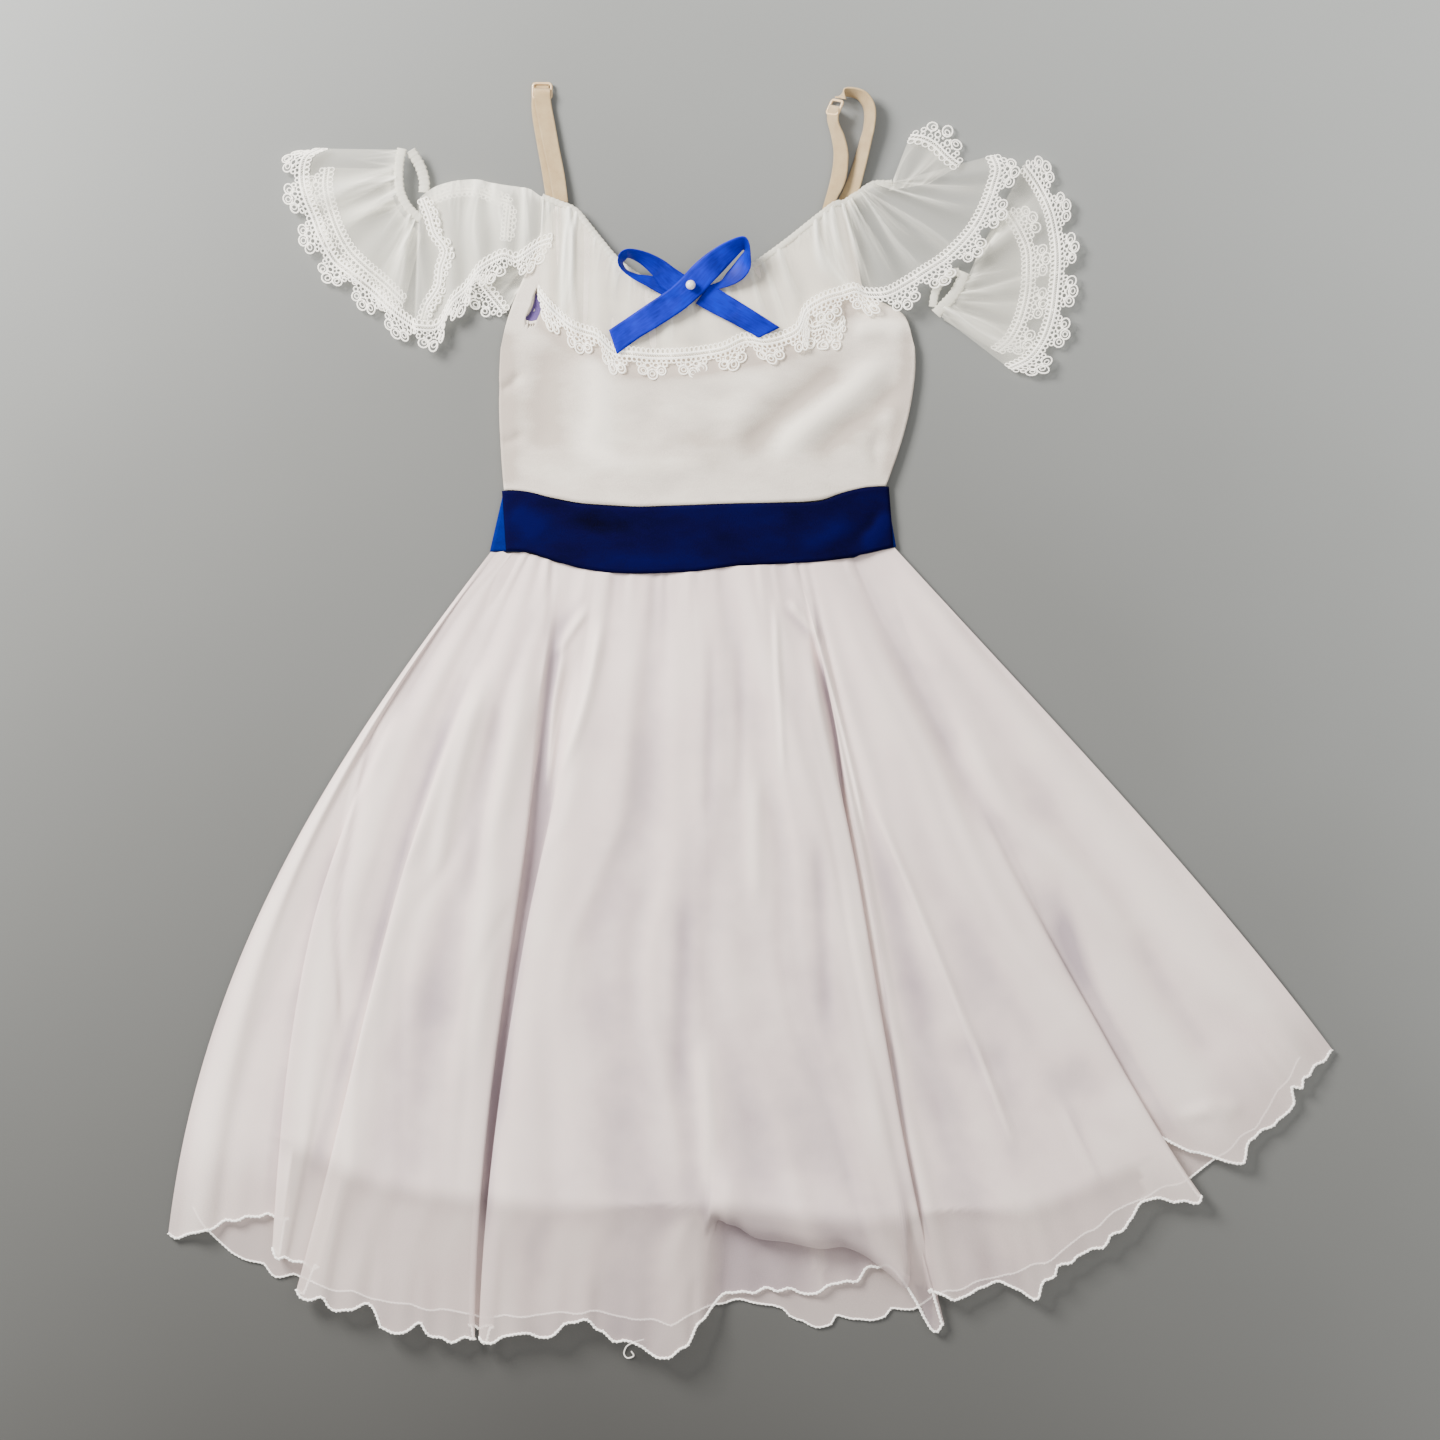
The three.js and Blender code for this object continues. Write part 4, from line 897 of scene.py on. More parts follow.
FRONT_FOLDS = fold_lines(
    (-161.5, -252, -24, -322, -161, -361, -318, -2.3),
    (-159.5, -248.5, -26.5, -310, -163, -339, -320, 3.5),
    (-157.5, -245.5, -28.5, -299, -166, -321, -316, 1),
    (-152.5, -240, -32, -281, -176, -296, -327, 0.6, 1, 4.2, 9, 0.2),
    (-147, -222, -36, -262, -180, -290, -339, 6),
    (-144.5, -211, -38, -252, -184, -286, -344, 4.2),
    (-139, -200, -44, -240, -190, -280, -350, 3.6, 1, 4.4, 9, 0.12),
    (-133.5, -184, -50, -227, -200, -259, -362, 8.8),
    (-130.5, -171, -54, -211, -208, -237, -362, 8.0),
    (-127.5, -159, -57, -194, -214, -213, -377, 9),
    (-124.5, -148, -60, -177, -220, -190, -383, 8),
    (-118.5, -137, -62, -160, -223, -171, -383, 0.4, -1, 6, 4, 0.04),
    (-107, -131.5, -64, -157, -224, -169.5, -382),
    (-97, -127, -66, -154, -224, -168, -382, 0.4, 1, 7, 8, 0.1),
    (-89, -114, -67, -139, -225, -154, -378, 9.4),
    (-79.5, -98, -68, -118, -226, -131, -379, 8.9),
    (-69.5, -81, -68, -96, -227, -107, -370, 9.8),
    (-59.5, -65, -68, -75, -228, -86, -382, 9.0),
    (-49.5, -50, -68, -54, -229, -57, -393, 10.1),
    (-40, -36, -68, -36, -226, -37, -380, 9.0),
    (-30.5, -22, -66, -17, -220, -21, -361, 9.8),
    (-21, -8, -65, 2, -214, 5, -355, 9.1),
    (-11.5, 6, -64, 21, -212, 33, -354, 9.9),
    (-2, 19, -63, 40, -211, 60, -350, 9.4),
    (8, 32, -62, 58, -212, 84, -352, 10.3),
    (17, 45, -61, 73, -214, 103, -362, 9.6),
    (25.5, 59, -60, 86, -217, 119, -373, 0.6, -1, 8.8, 5, 0.06),
    (28.5, 62.6, -58, 90.8, -215.2, 124, -366, 6.4),
    (33, 67, -54, 100, -211, 134, -356, 3.8),
    (36, 71, -50, 115, -205, 156, -351, 3.6),
    (39.5, 77, -46, 132, -197, 181, -346, 6.6),
    (44.5, 86, -42, 147, -192, 204, -331, 5.4),
    (50.5, 99, -37, 166, -187, 226, -312, 6.2),
    (57, 114, -32, 185, -179, 248, -296, 5.4),
    (65.5, 131, -26, 205, -172, 277, -293, 1, -1, 4.2, 6, 0.35),
    (73, 146, -18, 225, -150, 303, -272, 3.4),
    (78.5, 158, -10, 242, -131, 322, -250, 1.6),
    (83.5, 170, -2, 258, -114, 345, -220, 2.6),
    (88.5, 181, 6, 273, -97, 360, -205, -2.3),
)
BACK_LINES = fold_lines(
    (-157, -245, -28, -313, -163, -346, -302),
    (-150, -232, -32, -296, -170, -328, -318),
    (-140, -214, -38, -270, -178, -302, -338),
    (-128, -190, -44, -238, -190, -268, -350),
    (-112, -152, -52, -190, -200, -216, -362),
    (-92, -115, -56, -140, -208, -158, -370),
    (-70, -80, -58, -92, -212, -100, -366),
    (-48, -48, -60, -50, -214, -50, -374),
    (-28, -18, -60, -12, -212, -10, -361),
    (-10, 10, -58, 22, -208, 24, -367),
    (8, 34, -56, 54, -206, 52, -377),
    (24, 58, -52, 84, -202, 98, -367),
    (38, 82, -46, 118, -196, 134, -350),
    (50, 104, -38, 154, -184, 182, -336),
    (62, 128, -28, 192, -166, 232, -300),
    (72, 148, -18, 222, -144, 274, -282),
    (80, 162, -8, 246, -122, 312, -252),
    (84, 173, 2, 262, -101, 340, -209),
)
LINING_LINES = fold_lines(
    (-148, -212, -20, -258, -128, -284, -262),
    (-130, -178, -26, -216, -142, -240, -282),
    (-108, -138, -32, -164, -150, -184, -294),
    (-80, -94, -36, -108, -156, -120, -300),
    (-50, -50, -38, -52, -158, -54, -299),
    (-20, -8, -38, 0, -156, 4, -301),
    (8, 34, -36, 52, -152, 62, -308),
    (34, 74, -30, 104, -144, 122, -303),
    (54, 108, -20, 150, -132, 176, -300),
    (76, 146, -6, 206, -112, 240, -272),
)
# The visible hem of each front panel between two laps, from left to right
PANEL_HEMS = (
    ((-362, -318), (-352, -320), (-334, -314), (-314, -308), (-297, -307), (-288, -309)),
    ((-300, -322), (-296.7, -326.4), (-292.3, -332), (-283, -334), (-272, -338)),
    ((-285, -341), (-279.3, -354.3), (-273.1, -357.4), (-265.1, -356.8), (-261.3, -361.1), (-252.7, -364.9),
     (-242.1, -361.8), (-232.2, -362.4), (-230.3, -371.1), (-225.4, -377.3), (-217.3, -378.5),
     (-204.9, -372.3),
     (-199.3, -379.1), (-184.5, -382.9), (-171.4, -381.6), (-169, -376.7)),
    ((-172, -374), (-169, -377), (-166, -376)),
    ((-168, -381), (-164.6, -384.7), (-151.6, -381), (-145.4, -376.7), (-137, -380), (-124, -380),
    (-113, -372),
     (-100, -370), (-95, -376), (-88, -381), (-74, -384), (-63, -389), (-57, -394), (-47.4, -391),
     (-38, -382),
     (-32, -372), (-28.2, -367.4), (-20, -358), (-11.5, -354.3), (3.4, -354.3), (14, -352), (23.9, -353.1),
     (33, -355.5), (40.6, -354.3), (50.5, -349.4), (64.2, -346.9), (71, -341.3), (85, -338), (101.4, -359),
     (107, -370), (113.2, -379), (121.2, -372.3)),
    ((112, -352), (118.7, -356.8), (128, -357.5), (138, -353.1), (153.5, -346.9), (162, -351),
    (169.6, -356.2),
     (176.4, -356.2), (179.5, -348.1), (186.9, -343.8), (189, -337), (198.1, -334.5), (201.8, -330.8),
     (216.1, -324.6), (232.8, -310.3), (239, -299.8), (250.8, -294.8), (261.3, -297.9), (273.1, -297.9),
     (280.6, -291.7)),
    ((255, -258), (265, -264.4), (281.8, -269.4), (296, -273.7), (304.1, -272.5), (310.3, -257),
    (322.1, -251.4),
     (335.7, -237.2), (338.8, -222.9), (350.6, -214.2), (359.9, -204.3)),
)
BACK_HEM = (
    (-346, -302), (-332, -322), (-319, -331), (-302, -338), (-296, -344), (-284, -343), (-268, -350),
    (-216, -362),
    (-158, -370), (-100, -366), (-50, -374), (-24, -362), (-11.5, -358), (-1.6, -361), (9, -361),
    (20.8, -363.6),
    (22, -368), (28.8, -372.3), (40.6, -374.8), (49.3, -374.8), (51.8, -368.6), (62.3, -371.1),
    (74.1, -370.5),
    (82.8, -369.8), (85.9, -365.5), (102, -363.6), (112, -357), (134, -350), (182, -336), (232, -300),
    (274, -282),
    (312, -252), (340, -209),
)
# Where the lining's edge shows crisply through the front: the middle's x, and the width
CRISP_LEFT = (-60.0, 34.0)
CRISP_RIGHT = (124.0, 26.0)
# The least and the most x, and the most y, of the cloth that lies under the centre panel's fold, where shade
# is painted
UNDER_FOLD = (-34, 112, -300)
TUCKED_PANEL = 4
# Where the centre panel's lower end billows out and folds under itself
TUCK_EDGE = ((-30, -366), (-27, -319), (-13.3, -313.4), (2.2, -321.5), (23.9, -324), (45.6, -327.7),
             (64.2, -327.7),
             (84.6, -344.4), (101.4, -363), (113.2, -379), (121.2, -372.3))
LOOSE_HEM_THREAD = ((-66.5, -384, 2.0), (-72, -385.6, 1.2), (-77.2, -388.4, 0.9), (-79, -393, 0.8),
                    (-76.8, -395.8, 0.8),
                    (-73, -394.4, 0.8), (-74.5, -391.5, 1.0))

# The front's own creases, from left to right
SKIRT_CREASES = creases(
    ((-230, 12, -247, -69, -256, -116, -254, -164, -252, -216), -1.5, 4.5, 0.25, 0.4),
    ((-168, 35, -206, -69, -230, -154, -258, -249), 2.0, 8, 0.25, 0.35),
    ((-162, 40, -185, -45, -197, -111), 1.8, 5),
    ((-176, -70, -197, -190, -208, -280, -204, -350), -1.5, 16, 0.45),
    ((-135, 64, -145, -7, -159, -78, -168, -173, -183, -244), 2.2, 9),
    ((-152, 20, -166, -60, -176, -120), -1.6, 6),
    ((-114, 54, -122, 10, -125, -30, -127, -48), 3.2, 4.0, 0.25, 0.5),
    ((-100, 70, -112, 54, -122, 38), 2.0, 3.0),
    ((-92, 66, -101, 20, -110, -10, -120, -40), 2.4, 4.5, 0.25, 0.5),
    ((-24, 60, -25, 0, -27, -75), -1.1, 4),
    ((-40, -100, -42, -160, -44, -240), -1.4, 6),
    ((-8, 62, -6, 10, -7, -60), -1.0, 4),
    ((14, 78, 16, 24, 20, -40), 1.7, 2.6, 0.25, 0.5),
    ((3, -30, 2, -80, 4, -120), 1.4, 5),
    ((-30, -190, -26, -260, -28, -310), 1.7, 6),
    ((40, -70, 44, -130, 48, -200), -1.5, 5),
    ((60, -90, 72, -180, 84, -290), 1.5, 9),
    ((22, 74, 34, 60, 42, 48), 2.2, 2.6),
    ((33, 75, 52, 10, 62, -30, 73, -80), 2.6, 3.4, 0.25, 0.4),
    ((63, -26, 94, -97, 125, -173, 135, -197, 163, -268), 2.4, 3.6, 0.25, 0.35),
    ((136, -196, 150, -232, 164, -268), 1.5, 2.0),
    ((190, -236, 202, -262, 216, -292), 1.6, 2.2, 0.25, 0.5),
    ((120, 16, 158, -55, 210, -102, 248, -154), 2.2, 8),
    ((118, -190, 140, -212, 164, -206), -1.8, 12, 0.45),
    ((180, -84, 201, -150, 228, -206), -1.6, 8, 0.45, 1.3),
    ((188, -206, 212, -226, 244, -224), -1.8, 14, 0.45),
    ((236, -128, 262, -176, 292, -218), -1.6, 8),
    ((270, -172, 304, -188, 336, -210), -1.5, 11, 0.45),
    ((262, -248, 288, -240, 306, -244), 1.6, 5),
)
# Light and shade painted along the folds and laps, from left to right
SKIRT_PAINTED_LIGHT_AND_SHADE = painted_light_and_shade(
    ((-249, -50, -275, -144, -293, -253, -298, -322), 6, -0.24, 0.2, 0.7),
    ((-236, 0, -250, -80, -257, -150, -256, -230), 4, -0.12, 0.4),
    ((-173, 35, -211, -69, -235, -154, -263, -249, -282, -315), 7, -0.28, 0.15, 0.6),
    ((-158, 30, -196, -75, -220, -160, -246, -250), 11, 0.14, 0.4),
    ((-150, 60, -178, -30, -197, -111, -212, -190), 7, 0.1, 0.4),
    ((-172, -60, -197, -180, -208, -280, -206, -350), 17, -0.09, 0.45),
    ((-135, 64, -145, -7, -159, -78, -169, -173, -183, -244), 9, 0.12, 0.4),
    ((-117, 74, -126, 2, -130, -50, -138, -112, -150, -188, -160, -259, -167, -340), 5, -0.4, 0.12),
    ((-96, 86, -108, 70, -122, 52), 3.5, -0.14, 0.4),
    ((-87, 82, -106, 35, -124, -36), 5, 0.14, 0.3),
    ((-22, 80, -24, -20, -26, -130), 7, -0.12, 0.45),
    ((-40, -40, -42, -150, -44, -260), 10, -0.12, 0.45),
    ((-70, 60, -84, -120, -98, -270), 14, -0.08, 0.4),
    ((-104, -120, -116, -220, -126, -330), 12, 0.08, 0.4),
    ((17, 90, 18, 20, 20, -60), 5, 0.12, 0.4),
    ((2, 20, 2, -60, 4, -150), 7, 0.1, 0.45),
    ((-28, -170, -28, -250, -30, -330), 9, 0.12, 0.45),
    ((36, 0, 42, -120, 50, -230), 9, -0.12, 0.45),
    ((56, -110, 72, -230, 88, -330), 11, 0.1, 0.45),
    ((16, 72, 28, 60, 41, 49), 3.0, -0.22, 0.4),
    ((37, 80, 51, -7, 59, -46, 76, -126, 86.5, -202, 98.5, -272, 112, -335), 1.6, -0.3, 0.06, 0.5),
    ((50, 20, 64, -46, 82, -140, 96, -220, 110, -290), 3, 0.16, 0.3),
    ((60, 0, 84, -90, 106, -190, 128, -290), 8, -0.13, 0.4),
    ((64, -16, 95, -97, 126, -173, 140, -210, 170, -290), 3.4, -0.2, 0.3),
    ((112, -70, 140, -150, 172, -236), 17, -0.13, 0.45),
    ((146, -205, 158, -262, 166, -320), 11, -0.12, 0.45),
    ((184, -215, 204, -262, 220, -306), 4, -0.18, 0.45),
    ((184, -90, 204, -154, 228, -201, 252, -239, 283, -280), 6, -0.26, 0.25, 1.4),
    ((110, 40, 158, -55, 210, -102, 262, -170), 11, -0.12, 0.4),
    ((130, 40, 210, -70, 300, -190), 14, 0.12, 0.4),
    ((246, -160, 290, -210, 326, -240), 12, -0.13, 0.45),
)


@dataclass
class Skirt:
    """The skirt's sheer front and back and the lining between them."""

    form: DressForm
    placement: Placement
    rows: int = 170
    panel_spans: int = 8
    lap_spans: int = 4
    base_height: float = 3.8
    settle: float = 0.22
    lap_open_spacing: float = 3.0
    lap_inner_step: float = 0.7
    lap_outer_step: float = 2.8
    lap_rise_length: float = 0.12
    lap_slide_length: float = 0.25
    lap_spread_at_waist: float = 0.45
    back_height: float = 1.0
    lining_height: float = 2.4
    lining_drop: float = 3.0
    hem_pull: float = 0.22
    frill: float = 0.7
    frill_lengths: Triple = (13.0, 16.5, 23.0)
    frill_seed: int = 41
    way_share: float = 0.12
    reach_rounds: int = 12
    reach_step: float = 0.6
    reach_least_fall: float = -0.3
    reach_most: float = 45.0
    sheer_cover: float = 0.42
    flare_cover: float = 0.75
    flare_tone: float = 0.14
    # Painted shade over the centre panel's lower part
    centre_painted_shade: float = -0.16
    centre_shade: Pair = (10.0, 110.0)
    centre_shade_down: Pair = (-30.0, 260.0)
    # Painted shade on the cloth folded under the centre panel's hem
    under_fold_painted_shade: float = -0.12
    under_fold_height: float = 1.6
    lining_edge_soft: float = 16.0
    lining_edge_crisp: float = 2.6
    lining_side_margin: float = 18.0
    lining_side_blend: float = 30.0
    flare_starts: Pair = (-210.0, 190.0)
    flare_blend: float = 50.0
    back_cover: float = 0.36
    back_scallops: tuple[Pair, Pair] = ((1.1, 19.0), (0.9, 31.0))
    tuck_start: float = 0.84
    tuck_back: float = 0.92
    tuck_depth: float = 16.0
    tuck_puff: float = 7.0
    tuck_floor: float = 3.2
    tuck_lift: float = 1.2
    tuck_lift_share: float = 0.12
    tuck_margin: float = 8.0
    tuck_lead: float = 6.0
    tuck_opening: float = 20.0
    tuck_end_x: float = 119.0
    tuck_closing: float = 27.0
    tuck_spare: float = 30.0
    tuck_even: float = 0.6
    tuck_way_rows: int = 12
    puff_above: float = 18.0
    puff_length: float = 20.0
    tip_from: float = 88.0
    tip_length: float = 22.0
    tip_sink_start: float = 0.8
    tip_sink_share: float = 0.17
    tip_level: float = 0.8
    faint_reach: Pair = (0.18, 0.5)
    faint_width: Pair = (3.5, 15.0)
    faint_lean: float = 40.0
    full_width: float = 7.0
    gather_count: int = 64
    gather_width: Pair = (1.3, 3.4)
    gather_length: Pair = (0.35, 1.5)
    flutter_waves: int = 9
    flutter_length: Pair = (16.0, 46.0)
    low_start: float = 0.86
    hem_radius: float = 0.88
    back_hem_radius: float = 0.65
    hem_pitch: float = 2.5

    def line_at(self, line: FoldLine, drop: float, t: Array) -> Array:
        """Returns the places of a fold line at shares of its length: a cubic through its four places."""
        waist_y = band_edge(back_band(), "lower", line.waist_x) - SEAM_GAP - drop
        places = np.array([(line.waist_x, float(waist_y)), line.upper, line.lower, line.hem], float)
        knots = (0.0, 1 / 3, 2 / 3, 1.0)
        run = np.zeros((len(t), 2))
        for i, knot in enumerate(knots):
            weight = np.ones_like(t)
            for other in knots:
                if other != knot:
                    weight = weight * (t - other) / (knot - other)
            run += weight[:, None] * places[i]
        return run

    def lap_runs(self, line: FoldLine) -> list[Triple]:
        """Returns a lap's four runs: each one's place while open, its place once closed, and its height."""
        if not line.over:
            return [(0.0, 0.0, 0.0)]
        spread = self.lap_open_spacing
        runs = [
            (-1.5 * spread, line.tuck, 0.0),
            (-0.5 * spread, line.tuck, self.lap_inner_step),
            (0.5 * spread, 0.0, line.step - self.lap_outer_step),
            (1.5 * spread, 0.0, line.step),
        ]
        if line.over > 0:
            return runs
        return [(-a, -b, height) for a, b, height in reversed(runs)]

    def front_surface(self) -> Cloth:
        """Returns the front's surface with its laps and broad folds."""
        t = np.linspace(0.0, 1.0, self.rows + 1)
        groups: list[list[Array]] = [[]]
        spans = [self.panel_spans]
        panels = [0]
        for line in FRONT_FOLDS:
            plan = self.line_at(line, 0.0, t)
            direction = unit(np.array(line.lower) - plan[0])
            sideways = np.array([-direction[1], direction[0]])
            lifted = smooth((t - line.start) / self.lap_rise_length)
            slid = smooth((t - line.start - self.lap_rise_length) / self.lap_slide_length)
            spread = between(self.lap_spread_at_waist, 1.0, smooth(t / self.settle))
            top = self.form.height(plan[:, 0], plan[:, 1])
            ground = between(top, self.base_height + line.rise, smooth(t / self.settle))
            columns = []
            for opened, closed, height in self.lap_runs(line):
                offset = between(opened * spread, closed, slid)
                place = plan + sideways * offset[:, None]
                columns.append(np.column_stack([place, ground + height * lifted]))
            groups[-1].append(columns[0])
            if line.over:
                groups.append(columns)
                spans.append(self.lap_spans)
                panels.append(panels[-1])
                groups.append([columns[-1]])
                spans.append(self.panel_spans)
                panels.append(panels[-1] + 1)
        runs = [spline(np.array(group), count) for group, count in zip(groups, spans)]
        numbers = []
        for run, panel, count in zip(runs, panels, spans):
            number = np.full(len(run), panel)
            if count == self.lap_spans:
                number[len(run) // 2:] += 1
            numbers.append(number)
        points = np.concatenate([runs[0], *[run[1:] for run in runs[1:]]])
        panel = np.concatenate([numbers[0], *[number[1:] for number in numbers[1:]]])
        cloth = Cloth(eased(points, 3))
        self.shape_hem(cloth, panel)
        return cloth

    def shape_hem(self, cloth: Cloth, panel: Array) -> None:
        """Draws each panel's lower end to its own hem and folds the centre panel's under.

        Args:
            cloth: The front's surface.
            panel: The number of the panel that each column belongs to.
        """
        t = np.linspace(0.0, 1.0, cloth.points.shape[1])
        pull = smooth((t - 1.0 + self.hem_pull) / self.hem_pull)
        random = np.random.default_rng(self.frill_seed)
        run = lengths_along(cloth.points[:, -1, :2])
        waves = [np.sin(run * FULL_TURN / length + random.uniform(0, 6.3)) for length in self.frill_lengths]
        frill = sum(waves)
        hems = [spline(np.array(hem, float), 4) for hem in PANEL_HEMS]
        hems = [hem[np.argsort(hem[:, 0], kind="stable")] for hem in hems]
        back = int(len(t) * self.way_share)
        for i, number in enumerate(panel):
            hem = hems[number]
            end = cloth.points[i, -1, :2]
            way = unit(end - cloth.points[i, -back, :2])
            reach = self.reach_to(hem, end, way) + self.frill * frill[i]
            cloth.points[i, :, :2] += way * (reach * pull)[:, None]
            if number == TUCKED_PANEL and end[0] > TUCK_EDGE[0][0] - self.tuck_margin:
                cloth.points[i] = self.tucked(cloth.points[i], t)
                near_tip = smooth((cloth.points[i, -1, 0] - self.tip_from) / self.tip_length)
                sunk = near_tip * smooth((t - self.tip_sink_start) / self.tip_sink_share)
                level = self.tuck_floor + self.tip_level
                cloth.points[i, :, 2] = between(cloth.points[i, :, 2], level, sunk)

    def reach_to(self, hem: Array, end: Array, way: Array) -> float:
        """Returns how much further a column runs along its own way to meet the hem."""
        reach = 0.0
        for _ in range(self.reach_rounds):
            place = end + way * reach
            gap = float(np.interp(place[0], hem[:, 0], hem[:, 1])) - place[1]
            step = self.reach_step * gap / min(way[1], self.reach_least_fall)
            reach = float(np.clip(reach + step, -self.reach_most, self.reach_most))
        return reach

    def tucked(self, column: Array, t: Array) -> Array:
        """Folds one column's lower end under itself and out again.

        Args:
            column: The column's points, from the waistband to the hem.
            t: The points' shares of the way down.

        Returns:
            The column with its fold.
        """
        edge = spline(np.array(TUCK_EDGE, float), 4)
        x, y = column[-1, :2]
        left_end = smooth((x - edge[0, 0] + self.tuck_lead) / self.tuck_opening)
        right_end = smooth((self.tuck_end_x - x) / self.tuck_closing)
        weight = float(left_end * right_end)
        way = unit(column[-1, :2] - column[-self.tuck_way_rows, :2])
        spare = self.tuck_spare
        run = lengths_along(column[:, :2])
        whole = run[-1]
        fold = whole - (float(np.interp(x, edge[:, 0], edge[:, 1])) - y)
        longer = np.vstack([column, np.append(column[-1, :2] + way * spare, column[-1, 2])])
        longer_run = np.append(run, whole + spare)
        depth = self.tuck_depth * weight
        knots = (0.0, self.tuck_even, self.tuck_start, self.tuck_back, 1.0)
        places = (0.0, self.tuck_even / self.tuck_start * fold, fold, fold - depth, whole)
        along = between(run, eased(np.interp(t, knots, places), 2), weight)
        plan = np.stack([np.interp(along, longer_run, longer[:, k]) for k in range(2)], axis=1)
        above_fold = smooth((self.tuck_start + 0.01 - t) / 0.03)
        puff = self.tuck_puff * bell((along - fold + self.puff_above) / self.puff_length) * above_fold
        under = smooth((t - self.tuck_start + 0.012) / 0.035)
        lower = self.tuck_floor + self.tuck_lift * smooth((1.0 - t) / self.tuck_lift_share)
        height = between(column[:, 2] + puff * weight, lower, under * weight)
        return np.column_stack([plan, height])

    def soften(self, cloth: Cloth, seed: int, count: int, height: float) -> None:
        """Presses in many faint uneven folds that run down the cloth.

        Args:
            cloth: The skirt layer.
            seed: Starts their places.
            count: How many there are.
            height: The strongest one's height, in millimetres.
        """
        random = np.random.default_rng(seed)
        steps = np.linalg.norm(np.diff(cloth.points[..., :2], axis=0), axis=2)
        across = np.concatenate([np.zeros((1, steps.shape[1])), np.cumsum(steps, axis=0)])
        t = np.linspace(0.0, 1.0, cloth.points.shape[1])
        for _ in range(count):
            place = random.uniform(0.02, 0.98)
            middle = random.uniform(0.05, 0.95)
            reach = random.uniform(*self.faint_reach)
            width = random.uniform(*self.faint_width)
            lean = random.uniform(-self.faint_lean, self.faint_lean)
            lift = height * random.uniform(-1.0, 1.0) * min(1.0, width / self.full_width)
            away = across - place * across[-1] - lean * (t - middle)
            cloth.raise_by(lift * bell(away / width) * bell((t - middle) / reach))

    def gathers(self, cloth: Cloth, seed: int, depth: float, reach: float) -> None:
        """Presses in the small gathers under the waistband.

        Args:
            cloth: The skirt layer, from the waistband down.
            seed: Starts the uneven spacing.
            depth: The gathers' height at the waistband, in millimetres.
            reach: The share of the skirt's length over which they fade.
        """
        random = np.random.default_rng(seed)
        waist = lengths_along(cloth.points[:, 0])
        t = np.linspace(0.0, 1.0, cloth.points.shape[1])
        for _ in range(self.gather_count):
            centre = random.uniform(0.0, waist[-1])
            width = random.uniform(*self.gather_width)
            length = reach * random.uniform(*self.gather_length)
            height = depth * random.uniform(-1.0, 1.2)
            across = bell((waist - centre)[:, None] / (width * between(1.0, 1.8, t / length))[None])
            cloth.raise_by(height * across * bell(t / length)[None])

    def flutter(self, cloth: Cloth, seed: int, depth: float) -> None:
        """Waves the last stretch above the hem."""
        random = np.random.default_rng(seed)
        hem = lengths_along(cloth.points[:, -1])
        t = np.linspace(0.0, 1.0, cloth.points.shape[1])
        wave = np.zeros_like(hem)
        for _ in range(self.flutter_waves):
            length = random.uniform(*self.flutter_length)
            wave += np.sin(hem * FULL_TURN / length + random.uniform(0, FULL_TURN)) / 4
        cloth.raise_by(depth * wave[:, None] * smooth((t - self.low_start) / (1.0 - self.low_start))[None])

    def shade_by_lining(self, cloth: Cloth) -> None:
        """Makes the sheer cloth denser where the lining lies behind it, makes the flares paler, and paints
        shade over the centre panel and on the cloth folded under its hem.

        Args:
            cloth: The skirt's front.
        """
        x, y = cloth.x, cloth.y
        hem = np.array([self.line_at(line, self.lining_drop, np.ones(1))[0] for line in LINING_LINES])
        signed = distance_to_line(x, y, spline(hem, 6))[0]
        crisp = [bell((x - place) / width) for place, width in (CRISP_LEFT, CRISP_RIGHT)]
        reach = between(self.lining_edge_soft, self.lining_edge_crisp, np.maximum(*crisp))
        down = np.linspace(0, 1, 24)
        edge_left = distance_to_line(x, y, self.line_at(LINING_LINES[0], 0.0, down))[0]
        edge_right = distance_to_line(x, y, self.line_at(LINING_LINES[-1], 0.0, down))[0]
        margin, blend = self.lining_side_margin, self.lining_side_blend
        inside = smooth((edge_left + margin) / blend) * smooth((margin - edge_right) / blend)
        below = (1.0 - smooth(signed / reach + 0.5)) * inside
        left, right = self.flare_starts
        flare = np.maximum(smooth((left - x) / self.flare_blend), smooth((x - right) / self.flare_blend))
        t = np.linspace(0.0, 1.0, cloth.points.shape[1])
        low = smooth((t - self.low_start) / (1.0 - self.low_start))[None]
        cloth.cover = between(1.0, self.sheer_cover, np.maximum(below, self.flare_cover * low * flare))
        cloth.tone += self.flare_tone * flare
        # Painted shade over the centre panel, deeper towards the hem
        centre_x, centre_width = self.centre_shade
        below_waist, shade_length = self.centre_shade_down
        centre = bell((x - centre_x) / centre_width) * smooth((below_waist - y) / shade_length)
        cloth.tone += self.centre_painted_shade * centre
        # Painted shade on the cloth folded under the centre panel's hem
        sunk = cloth.points[..., 2] < self.tuck_floor + self.under_fold_height
        folded = sunk & (x > UNDER_FOLD[0]) & (x < UNDER_FOLD[1]) & (y < UNDER_FOLD[2])
        cloth.tone = np.where(folded, cloth.tone + self.under_fold_painted_shade, cloth.tone)

    def layer(self, lines: Sequence[FoldLine], height: float, drop: float, rows: int,
              spans: int = 6) -> Cloth:
        """Returns a flat layer's surface from its lines.

        Args:
            lines: The layer's lines from left to right.
            height: Its height above the board.
            drop: How much shorter than its lines it is.
            rows: How many rows of faces run down it.
            spans: How many faces lie between two lines.

        Returns:
            The layer's surface.
        """
        t = np.linspace(0.0, 1.0, rows + 1)
        columns = np.array([np.column_stack([self.line_at(line, drop, t), np.full(rows + 1, height)])
                            for line in lines])
        return Cloth(spline(columns, spans))

